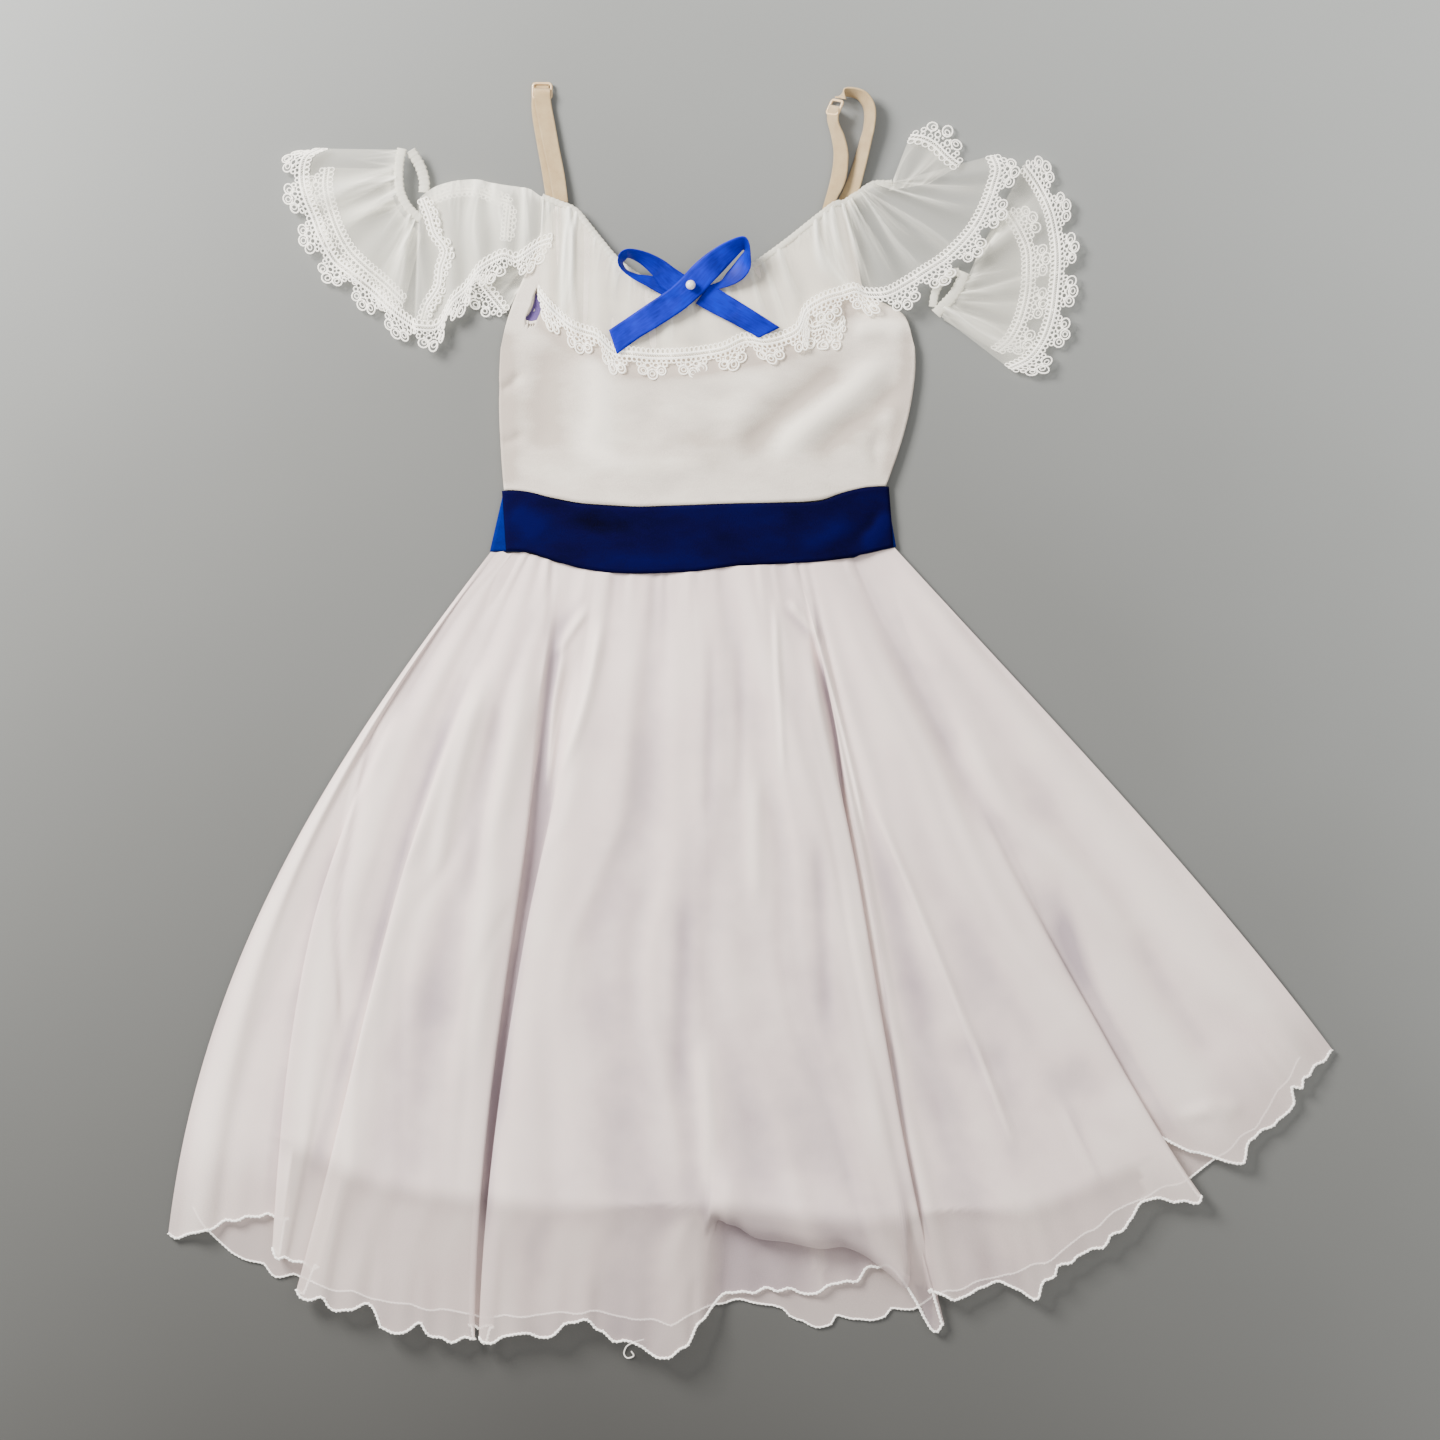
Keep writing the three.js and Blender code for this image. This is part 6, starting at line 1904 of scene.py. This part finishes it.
@dataclass
class Ruffle:
    """One sheer ruffle with its lace."""

    shape: RuffleShape
    form: DressForm
    placement: Placement
    pattern: LacePattern = field(default_factory=LacePattern)
    steps: int = 30
    row_spans: int = 10
    wave_at_gathers: float = 0.4
    main_every: int = 5
    sway: float = 2.4
    # How many columns a gather's painted light and shade are measured across
    fold_light_reach: int = 7
    lean: float = 3.0
    edge_cover: float = 0.34
    edge_place: float = 0.75
    edge_width: float = 0.22
    bunched_cover: float = 0.3
    bunched_reach: float = 0.1
    fan_cover: float = 0.42
    thread_lift: float = 0.45
    thread_flat: float = 0.8
    neck_wave_inner: float = 0.5
    run_depth: float = 8.0
    run_share: float = 0.75
    lace_settle: float = 0.3
    fan_from: float = 66.0
    fan_blend: float = 14.0
    loop_centre: float = 10.6
    turn_ease: float = 16.0
    seed: int = 7

    def surface(self) -> Cloth:
        """Returns the ruffle's surface with its waves and gathers."""
        shape = self.shape
        t = np.linspace(0.0, 1.0, self.steps + 1)
        columns = []
        for index, row in enumerate(shape.rows):
            inner, outer = np.array(row.inner, float), np.array(row.outer, float)
            inner -= unit(outer - inner) * shape.inner_reach
            plan = between(inner, outer, t[:, None])
            crest = index % 2
            if row.off_dress:
                ground = between(shape.fan_inner_level, shape.fan_outer_level, t)
                wave = shape.wave * crest * between(self.wave_at_gathers, 1.0, t)
            elif shape.on_dress:
                ground = self.form.height(plan[:, 0], plan[:, 1]) + shape.inner_level
                wave = between(self.neck_wave_inner if shape.wave else 0.0, shape.wave, t) * crest
            else:
                ground = between(shape.inner_level, shape.outer_level, t)
                wave = shape.wave * crest * between(self.wave_at_gathers, 1.0, t)
            columns.append(np.column_stack([plan, ground + wave + row.lift * t + row.sink]))
        cloth = Cloth(spline(np.array(columns), self.row_spans))
        self.gather(cloth, t)
        return cloth

    def gather(self, cloth: Cloth, t: Array) -> None:
        """Presses in the fine gathers, which bunch the sheer cloth and so make it denser, and paints light
        on their tops and shade at their feet.

        Args:
            cloth: The ruffle's cloth.
            t: The share of the ruffle's depth at each of its rows.
        """
        shape = self.shape
        random = np.random.default_rng(self.seed + len(shape.name) * 13)
        count = cloth.points.shape[0]
        run = np.linspace(0.0, 1.0, count)
        width = 1.0 / max(shape.gathers, 8)
        cover = np.full(cloth.points.shape[:2], shape.cover)
        if shape.stands_for:
            cover *= between(1.0, self.fan_cover, smooth((cloth.x - 58.0) / 10.0))
        for number in range(shape.gathers):
            main = number % self.main_every == 0
            kind = MAIN_GATHERS if main else FINE_GATHERS
            centre = random.uniform(0.0, 1.0)
            lean = random.uniform(-self.lean, self.lean) * width
            reach = random.uniform(*kind.reach)
            strength = random.uniform(*kind.strength)
            narrow = width * random.uniform(*kind.width)
            curve = lean * t * t + random.uniform(-1.0, 1.0) * self.sway * width * np.sin(t * math.pi)
            away = (run[:, None] - centre - curve[None]) / (narrow * between(0.45, 1.4, t))[None]
            along = smooth(1.15 - t / reach)[None]
            cloth.raise_by(shape.gather_height * strength * bell(away) * along)
            cover += kind.cover * strength * bell(away) * along
            if main:
                at_edge = bell((away - self.edge_place) / self.edge_width)
                cover += self.edge_cover * strength * at_edge * along
        bunched = self.bunched_cover * bell(t / self.bunched_reach)[None]
        started = smooth(run / shape.fade_start)[:, None] if shape.fade_start else 1.0
        cloth.cover = np.clip((cover + bunched) * started, 0.0, 1.0)
        # Painted light on the gathers' tops and painted shade at their feet
        cloth.paint_fold_light(self.fold_light_reach, shape.painted_fold_light)

    def lace(self, cloth: Cloth) -> Cords:
        """Lays the lace's threads along the ruffle's outer edge.

        Args:
            cloth: The ruffle's cloth.

        Returns:
            The lace's threads.
        """
        edge = cloth.points[:, -1]
        run = lengths_along(edge[:, :2])
        inward = cloth.points[:, -1] - cloth.points[:, -4]
        slope = inward[:, 2] / np.maximum(np.linalg.norm(inward[:, :2], axis=1), 1e-6)
        outward = unit(inward[:, :2])
        weight = bell((run[:, None] - run[None]) / self.turn_ease)
        outward = unit(weight @ outward)
        rest = self.rest_height(edge[:, 0], edge[:, 1])
        spare = edge[:, 2] - rest
        random = np.random.default_rng(self.seed + len(self.shape.name))
        cords = Cords(sides=5)
        for flat, radius, closed in [*self.pattern.repeated(run[-1], random), *self.pattern.cords(run[-1])]:
            s, d = flat[:, 0], flat[:, 1]
            base = np.stack([np.interp(s, run, edge[:, k]) for k in range(3)], axis=1)
            away = unit(np.stack([np.interp(s, run, outward[:, k]) for k in range(2)], axis=1))
            plan = base[:, :2] + away * d[:, None]
            kept = 1 - self.lace_settle * np.maximum(d, 0) / self.loop_centre
            settled = self.rest_height(plan[:, 0], plan[:, 1]) + np.interp(s, run, spare) * kept
            on_cloth = base[:, 2] + np.interp(s, run, slope) * d
            height = np.where(d > 0, settled, on_cloth) + self.thread_lift
            cords.add(np.column_stack([plan, height]), radius, closed, flat=self.thread_flat)
        for places in self.shape.lace_runs:
            self.lace_run(cords, np.array(places, float), random)
        return cords

    def lace_run(self, cords: Cords, places: Array, random: np.random.Generator) -> None:
        """Adds a length of lace along its own line, where the cloth's edge turns over.

        Args:
            cords: The lace's threads so far.
            places: The line's places, in millimetres.
            random: Makes the loops a little uneven.
        """
        line = resampled(spline(places, 8), 1.0)
        run = lengths_along(line[:, :2])
        way = unit(directions(line)[:, :2])
        outward = np.stack([way[:, 1], -way[:, 0]], axis=1)
        threads = self.pattern.repeated(run[-1], random)
        narrow = [thread for thread in threads if thread[0][:, 1].max() < self.run_depth]
        for flat, radius, closed in [*narrow, *self.pattern.cords(run[-1])]:
            s, d = flat[:, 0], flat[:, 1] * self.run_share
            base = np.stack([np.interp(s, run, line[:, k]) for k in range(3)], axis=1)
            away = np.stack([np.interp(s, run, outward[:, k]) for k in range(2)], axis=1)
            points = np.column_stack([base[:, :2] - away * d[:, None], base[:, 2]])
            cords.add(points, radius, closed, flat=self.thread_flat)

    def rest_height(self, x: Array, y: Array) -> Array:
        """Returns the height that the lace's tips settle to."""
        if self.shape.on_dress:
            beyond = smooth((x - self.fan_from) / self.fan_blend)
            on_cloth = self.form.height(x, y) + self.shape.inner_level
            return between(on_cloth, self.shape.fan_outer_level, beyond)
        return np.full(np.shape(x), self.shape.outer_level)

    def build(self) -> None:
        """Builds the ruffle and its lace."""
        cloth = self.surface()
        name = self.shape.name
        parts = self.shape.stands_for or (name,)
        ruffles, laces = (tuple(f"{kind}_{part}" for part in parts) for kind in ("ruffle", "lace"))
        sheer = Piece(f"ruffle_{name}_chiffon", Finish.RUFFLE, "ruffle", ruffles)
        obj = sheer.build(cloth, self.placement)
        trim = Piece(f"lace_{name}_threads", Finish.LACE, "lace", laces)
        lace = trim.build(self.lace(cloth), self.placement)
        width, length, area = self.shape.sheet_size


# The casings at the arms: rows of x, y and z at the two edges, and where the puckers start
ARM_CASINGS = {
    "casing_left_front": ((
        (-213.6, 352.6, 8.5, -218, 352.4, 8.5), (-215.2, 344, 9, -219.6, 344.2, 9),
        (-215.8, 334, 9, -220, 334, 9), (-214.6, 325.4, 9, -218.6, 324.2, 9),
        (-210.4, 317.4, 8.6, -213.6, 314.6, 8.6), (-203.2, 310.4, 8, -205.4, 307, 8)
    ), 0.3),
    "casing_left_back": ((
        (-212.9, 351.9, 8.1, -208.4, 351.5, 6), (-207, 343, 6.6, -202.8, 341, 4.4),
        (-204.4, 333.6, 5.6, -200.4, 331.8, 3.6), (-204.8, 326.6, 5.2, -200.8, 325.6, 3.2)
    ), 1.1),
    "casing_right_front": ((
        (112.2, 252, 5.4, 115.9, 249.5, 5.4), (116.8, 257.4, 5.7, 120.9, 254.4, 5.7),
        (122.4, 263.4, 5.9, 126.7, 260.6, 5.9), (126.4, 270, 5.9, 131.1, 268, 5.9),
        (129.4, 277.2, 5.8, 134.3, 275.6, 5.8)
    ), 0.7),
    "casing_right_back": ((
        (110.8, 254.2, 5.2, 113.6, 256.4, 3.4), (111.8, 264, 4.6, 115.6, 264.4, 2.6),
        (116, 272, 4.6, 119.4, 270.2, 2.8), (122, 276.8, 4.9, 124, 274, 3.2),
        (128.7, 278.2, 5.5, 128.6, 276.4, 4.2)
    ), 1.9),
}


@dataclass
class Casings:
    """The puckered elastic casings along the neckline and round the arms' openings."""

    form: DressForm
    placement: Placement
    neck_width: float = 4.2
    neck_level: float = 1.6
    neck_flat: float = 0.45
    pucker: float = 3.1
    fine_pucker_share: float = 0.61
    swell: float = 0.08
    fine_swell: float = 0.05
    arm_spread: float = 1.35
    arm_flat: float = 0.24

    def puckered(self, cords: Cords, line: Array, width: float, height: float, phase: float) -> None:
        """Adds a rolled casing whose width swells and pinches along it.

        Args:
            cords: Takes the casing.
            line: The casing's middle line, in the tables' millimetres.
            width: Its width.
            height: Its height as a share of its width.
            phase: Where its puckers start.
        """
        fine = resampled(line, 0.6)
        run = lengths_along(fine)
        fine_pucker = self.pucker * self.fine_pucker_share
        swell = 1.0 + self.swell * np.sin(run * FULL_TURN / self.pucker + phase)
        swell += self.fine_swell * np.sin(run * FULL_TURN / fine_pucker + 2 * phase)
        cords.add(fine, width / 2 * swell, flat=height)

    def neck(self) -> Object:
        """Builds the casing along the neckline."""
        plan = spline(np.array([row.inner for row in NECK_RUFFLE.rows], float), 6)
        height = self.form.height(plan[:, 0], plan[:, 1]) + self.neck_level
        cords = Cords(sides=10)
        self.puckered(cords, np.column_stack([plan, height]), self.neck_width, self.neck_flat, 0.4)
        return Piece("neck_casing", Finish.RUFFLE, "ruffle").build(cords, self.placement)

    def arm(self, name: str, rows: Sequence[Sequence[float]], phase: float) -> Object:
        """Builds one stretch of an arm's casing along its rows' middles.

        Args:
            name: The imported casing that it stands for.
            rows: The table's rows.
            phase: Where its puckers start.

        Returns:
            The casing's object.
        """
        table = np.array(rows, float)
        line = spline((table[:, :3] + table[:, 3:]) / 2, 6)
        width = float(np.linalg.norm(table[:, :3] - table[:, 3:], axis=1).mean())
        cords = Cords(sides=8)
        self.puckered(cords, line, width * self.arm_spread, self.arm_flat, phase)
        return Piece(f"{name}_chiffon", Finish.RUFFLE, "ruffle", (name,)).build(cords, self.placement)

    def build(self) -> None:
        """Builds the neck's casing and the four stretches at the arms."""
        self.neck()
        for name, (rows, phase) in ARM_CASINGS.items():
            self.arm(name, rows, phase)


# The straps and the bow


@dataclass(frozen=True)
class RibbonRun:
    """A stretch of ribbon: rows of its two edges, x, y and z each, and its cut size."""

    name: str
    rows: tuple[tuple[float, ...], ...]
    width: float
    length: float


STRAPS = (
    RibbonRun("strap_left_front", (
        (-134.9, 390.4, 3.3, -124.5, 390.1, 3.3), (-134.7, 387.6, 4.2, -124.3, 387.3, 4.2),
        (-134, 381, 2.9, -123.8, 380.6, 2.9), (-131.6, 368, 3.0, -121.4, 367.4, 3.0),
        (-129, 355, 3.2, -119, 354, 3.2), (-125.4, 338, 3.6, -115.6, 336.6, 3.6),
        (-122.6, 321.5, 4.4, -113.4, 319.5, 4.6)), 0.010, 0.072),
    RibbonRun("strap_left_back", (
        (-135.5, 394.5, 1.1, -125.2, 394.3, 1.1), (-136.2, 378, 1.1, -126, 377.6, 1.1),
        (-133.6, 360, 1.1, -123.6, 359, 1.1), (-130, 340, 1.1, -120.2, 338.6, 1.1),
        (-127, 320.5, 1.2, -117.6, 320, 1.2)), 0.010, 0.076),
    RibbonRun("strap_right_front", (
        (48.9, 380.4, 2.2, 54.7, 377.8, 10.2), (48.4, 378.2, 3.2, 54.2, 375.6, 11),
        (47.4, 371.8, 2.2, 53.8, 369.2, 9.2), (50, 360.4, 2, 57.6, 359.8, 8),
        (51.2, 349, 2.2, 59.8, 348.6, 7),
        (49, 334, 2.8, 58.2, 333, 5.4), (43.4, 313.8, 4.8, 51.8, 320, 4.9)), 0.010, 0.066),
    RibbonRun("strap_right_back", (
        (51.7, 385, 1.8, 58.5, 382.6, 9.6), (57.6, 385.8, 1.7, 57.8, 389.2, 9.2),
        (63.8, 384.8, 1.5, 66, 389, 9.4), (67.4, 382, 1.4, 72, 385.6, 9.4),
        (69.6, 376.6, 1.4, 76, 377.6, 9.2),
        (69.2, 367, 1.4, 75.6, 366.8, 8.8), (66.8, 358, 1.3, 73.6, 357, 8.0),
        (62.4, 343, 1.2, 70, 341, 6.6),
        (57.4, 329.6, 1.2, 65.8, 325.6, 3.4), (51.6, 317.9, 1.4, 59, 312.3, 1.4)), 0.010, 0.092),
)
BOW_RUNS = (
    RibbonRun("bow_front_strand", (
        (-88, 240, 1.2, -83, 225, 1.2), (-76, 248, 1.2, -70, 234.5, 1.2), (-64, 256, 2.8, -56, 243, 1.8),
        (-52, 264, 4.4, -42, 252, 3.6), (-43, 272, 4.8, -32, 260.5, 4.2),
        (-36, 279.5, 4.8, -25.5, 267.5, 4.2),
        (-27, 287, 6.6, -17.5, 276, 3.8), (-16.5, 293, 10, -10.6, 284, 3.2),
        (-6, 296.4, 13, -5.6, 289.6, 2.4),
        (-1.8, 293, 13, -4.2, 288.6, 1.8),
        (-0.5, 284, 11, -6.6, 285.6, 1.4), (-0.9, 277, 8, -11.6, 279.4, 1.3),
        (-5.4, 271, 4.6, -15.4, 275, 1.3), (-13, 267.2, 2.2, -19, 270.4, 1.2),
        (-22, 264.6, 1.2, -25.4, 267.6, 1.1),
        (-30, 260, 1.0, -31.5, 264, 1.0)), 0.015, 0.165),
    RibbonRun("bow_back_loop", (
        (-37, 271, 2.7, -45.4, 258.6, 2.7), (-47, 277.6, 2.9, -55, 265.6, 2.7),
        (-55, 283.2, 4.8, -61.4, 274, 2.8),
        (-65, 287.2, 10, -68.6, 281, 2.8), (-75, 288.8, 13, -75.6, 284.8, 2.4),
        (-80.6, 286.6, 13, -78.4, 283.2, 1.8),
        (-82.4, 281.4, 12, -79.6, 281, 1.4), (-80.4, 276.6, 9, -76.8, 276.8, 1.3),
        (-73.6, 271.4, 5.4, -70.4, 274.2, 1.2), (-64.7, 266.8, 2.6, -62.6, 273.4, 1.2),
        (-55.8, 261.8, 1.3, -55.2, 272, 1.1), (-48, 258, 1.0, -47, 269, 1.0)), 0.013, 0.09),
    RibbonRun("bow_right_tail", (
        (-25.5, 268, 1.2, -34.6, 256.4, 1.2), (-19, 264.4, 1.2, -26.6, 251.6, 1.2),
        (-2, 254, 1.2, -11, 243.6, 1.2),
        (17.5, 241.5, 1.4, 4.5, 235, 1.2)), 0.014, 0.047),
)


def ribbon_cloth(run: RibbonRun, base: Optional[HeightAt], spans: int, across: int) -> Cloth:
    """Returns a ribbon's surface.

    Args:
        run: The ribbon's rows.
        base: The height under it, which its own heights are added to, or None for the floor.
        spans: How finely it is rounded along its length.
        across: How many spans it has across its width.

    Returns:
        The surface, with its length first.
    """
    table = spline(np.array(run.rows, float), spans)
    t = np.linspace(0.0, 1.0, across + 1)[None, :, None]
    points = between(table[:, None, :3], table[:, None, 3:], t)
    if base is not None:
        ends = np.stack([base(table[:, 0], table[:, 1]), base(table[:, 3], table[:, 4])], axis=1)
        points[..., 2] += between(ends[:, :1], ends[:, 1:], t[..., 0])
    return Cloth(points)


@dataclass
class Straps:
    """The two elastic straps with their sliders."""

    placement: Placement
    wall: float = 0.9
    spans: int = 10
    frame_width: float = 11.3
    frame_length: float = 9.3
    frame_corner: float = 1.9
    frame_radius: float = 0.85
    bar_half: float = 5.4
    bar_radius: float = 0.75

    def rounded_frame(self) -> Array:
        """Returns the outline of the slider's rounded frame about the origin."""
        width, length, corner = self.frame_width, self.frame_length, self.frame_corner
        places = []
        for quarter, (sx, sy) in enumerate(((1, 1), (-1, 1), (-1, -1), (1, -1))):
            centre = np.array([sx * (width / 2 - corner), sy * (length / 2 - corner)])
            for turn in np.linspace(quarter * math.pi / 2, (quarter + 1) * math.pi / 2, 6):
                places.append(centre + corner * np.array([math.cos(turn), math.sin(turn)]))
        return np.array(places)

    def slider(self, node: str, centre: Triple, tilt: float, turn: float) -> Object:
        """Builds a slider: a rounded frame with a bar across its middle.

        Args:
            node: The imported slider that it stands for.
            centre: Its middle, in the tables' millimetres.
            tilt: How far it leans about its length, in degrees.
            turn: How far it turns on the plan, in degrees.

        Returns:
            The slider's object.
        """
        cords = Cords(sides=8)
        frame = self.rounded_frame()
        flat_frame = np.column_stack([frame, np.zeros(len(frame))])
        bar = np.array([(x, 0.0, 0.0) for x in np.linspace(-self.bar_half, self.bar_half, 7)])
        lean, spin = math.radians(tilt), math.radians(turn)
        cos, sin = math.cos, math.sin
        leaned = np.array([[cos(lean), 0, sin(lean)], [0, 1, 0], [-sin(lean), 0, cos(lean)]])
        spun = np.array([[cos(spin), -sin(spin), 0], [sin(spin), cos(spin), 0], [0, 0, 1]])
        turned = spun @ leaned
        cords.add(flat_frame @ turned.T + np.array(centre), self.frame_radius, closed=True)
        cords.add(bar @ turned.T + np.array(centre), self.bar_radius)
        return Piece(f"{node}_moulded", Finish.SLIDER, "slider", (node,)).build(cords, self.placement)

    def build(self) -> None:
        """Builds the four stretches of elastic and the sliders."""
        for run in STRAPS:
            cloth = ribbon_cloth(run, None, self.spans, self.spans)
            piece = Piece(f"{run.name}_elastic", Finish.WEBBING, "webbing", (run.name,))
            obj = piece.build(cloth, self.placement, wall=self.wall)
        self.slider("slider_left", (-129.6, 389.2, 2.4), tilt=0.0, turn=0.0)
        self.slider("slider_right", (51.5, 378.4, 5.8), tilt=-52.0, turn=-24.0)


@dataclass
class Bow:
    """The satin bow with its pearl."""

    form: DressForm
    placement: Placement
    wall: float = 0.5
    ruffle_top: float = 3.75
    pearl_place: Pair = (-37.5, 267.0)
    pearl_radius: float = 3.0
    pearl_dimple: float = 0.15
    pearl_rings: int = 24
    pearl_sides: int = 40
    spans: int = 12
    across: int = 10

    def on_ruffle(self, x: Array, y: Array) -> Array:
        """Returns the height of the ruffle's waves under the bow."""
        return self.form.height(x, y) + self.ruffle_top

    def pearl(self) -> Object:
        """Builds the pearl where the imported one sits, with the dimple of its drilled hole."""
        low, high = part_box("bow_pearl")
        centre = np.array((low + high) / 2) / MM
        rings, sides, radius = self.pearl_rings, self.pearl_sides, self.pearl_radius
        polar = np.linspace(0.0, math.pi, rings + 1)[1:-1]
        turn = np.arange(sides) * FULL_TURN / sides
        sin, cos = math.sin, math.cos
        shell = [centre + radius * np.array([sin(p) * cos(a), sin(p) * sin(a), cos(p)])
                 for p in polar for a in turn]
        dimple = centre + np.array([0, 0, radius - self.pearl_dimple])
        foot = centre - np.array([0, 0, radius])
        points = np.array([*shell, dimple, foot]) * MM
        count = len(shell)
        rows = []
        for i in range(rings - 2):
            for j in range(sides):
                k = (j + 1) % sides
                rows.append((i * sides + j, (i + 1) * sides + j, (i + 1) * sides + k, i * sides + k))
        for j in range(sides):
            k = (j + 1) % sides
            rows.append((count, j, k))
            rows.append((count + 1, (rings - 2) * sides + k, (rings - 2) * sides + j))
        piece = Piece("bow_pearl_glass", Finish.PEARL, "pearl", ("bow_pearl",))
        return piece.finish_up(mesh_object(piece.name, points, rows))

    def build(self) -> None:
        """Builds the bow's three stretches of ribbon and the pearl."""
        for run in BOW_RUNS:
            cloth = ribbon_cloth(run, self.on_ruffle, self.spans, self.across)
            piece = Piece(f"{run.name}_satin", Finish.SATIN, "satin", (run.name,))
            obj = piece.build(cloth, self.placement, wall=self.wall)
        self.pearl()


# The stage


@dataclass(frozen=True)
class Lamp:
    """A square soft lamp: its place, the point it faces, its side, its power and its light's colour."""

    name: str
    place: Triple
    target: Triple
    size: float
    power: float
    colour: Triple


@dataclass
class Stage:
    """The pale board, the soft lamps and the camera straight above, in metres."""

    centre: Pair = (-0.0190, -0.0012)
    view_width: float = 0.8928
    lens: float = 85.0
    sensor: float = 36.0
    board_half: float = 6.0
    board_drop: float = 0.0001
    room_colour: Triple = (1.0, 0.98, 0.97)
    room_strength: float = 0.62
    lamps: tuple[Lamp, ...] = (
        Lamp("window", (-1.2, 1.0, 1.05), (0.02, -0.05, 0.0), 0.7, 92.0, (1.0, 0.965, 0.93)),
        Lamp("fill", (0.9, 0.6, 1.9), (0.0, 0.0, 0.0), 1.6, 14.0, (1.0, 0.97, 0.94)),
    )

    def board(self) -> None:
        """Lays the board under the dress."""
        half = self.board_half
        corners = np.array([(-half, -half, 0.0), (half, -half, 0.0), (half, half, 0.0), (-half, half, 0.0)])
        obj = mesh_object("board", corners, [[0, 1, 2, 3]])
        obj.data.materials.append(Surface().material())
        obj.location.z = -self.board_drop

    def hang(self, lamp: Lamp) -> None:
        """Hangs one of the lamps.

        Args:
            lamp: The lamp's place, size, power and colour.
        """
        data = bpy.data.lights.new(lamp.name, "AREA")
        data.size = lamp.size
        data.energy = lamp.power
        data.color = lamp.colour
        obj = bpy.data.objects.new(lamp.name, data)
        obj.location = lamp.place
        aim = np.array(lamp.target) - np.array(lamp.place)
        obj.rotation_mode = "QUATERNION"
        obj.rotation_quaternion = Vector(aim).to_track_quat("-Z", "Y")
        bpy.context.scene.collection.objects.link(obj)

    def world(self) -> None:
        """Fills the room with an even pale light."""
        world = bpy.data.worlds.new("room")
        world.use_nodes = True
        background = world.node_tree.nodes["Background"]
        background.inputs["Color"].default_value = (*self.room_colour, 1.0)
        background.inputs["Strength"].default_value = self.room_strength
        bpy.context.scene.world = world

    def camera(self) -> None:
        """Sets the camera straight above, so that the view is as wide as the photograph."""
        data = bpy.data.cameras.new("above")
        data.lens = self.lens
        data.sensor_width = self.sensor
        obj = bpy.data.objects.new("above", data)
        height = self.view_width / 2 / (self.sensor / 2 / self.lens)
        obj.location = (*self.centre, height)
        bpy.context.scene.collection.objects.link(obj)
        bpy.context.scene.camera = obj

    def build(self) -> None:
        """Sets up the camera, the board and the light."""
        self.camera()
        self.board()
        self.world()
        for lamp in self.lamps:
            self.hang(lamp)


def main() -> None:
    """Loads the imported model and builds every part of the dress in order."""
    logging.basicConfig(level=logging.INFO, format="%(name)s %(message)s")
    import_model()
    form = DressForm()
    placement = Placement.from_pearl(*Bow.pearl_place)
    Stage().build()
    Skirt(form, placement).build()
    Bodice(form, placement).build()
    for shape in RUFFLES:
        Ruffle(shape, form, placement).build()
    Casings(form, placement).build()
    Straps(placement).build()
    Bow(form, placement).build()
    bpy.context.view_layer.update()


if __name__ == "__main__":
    main()
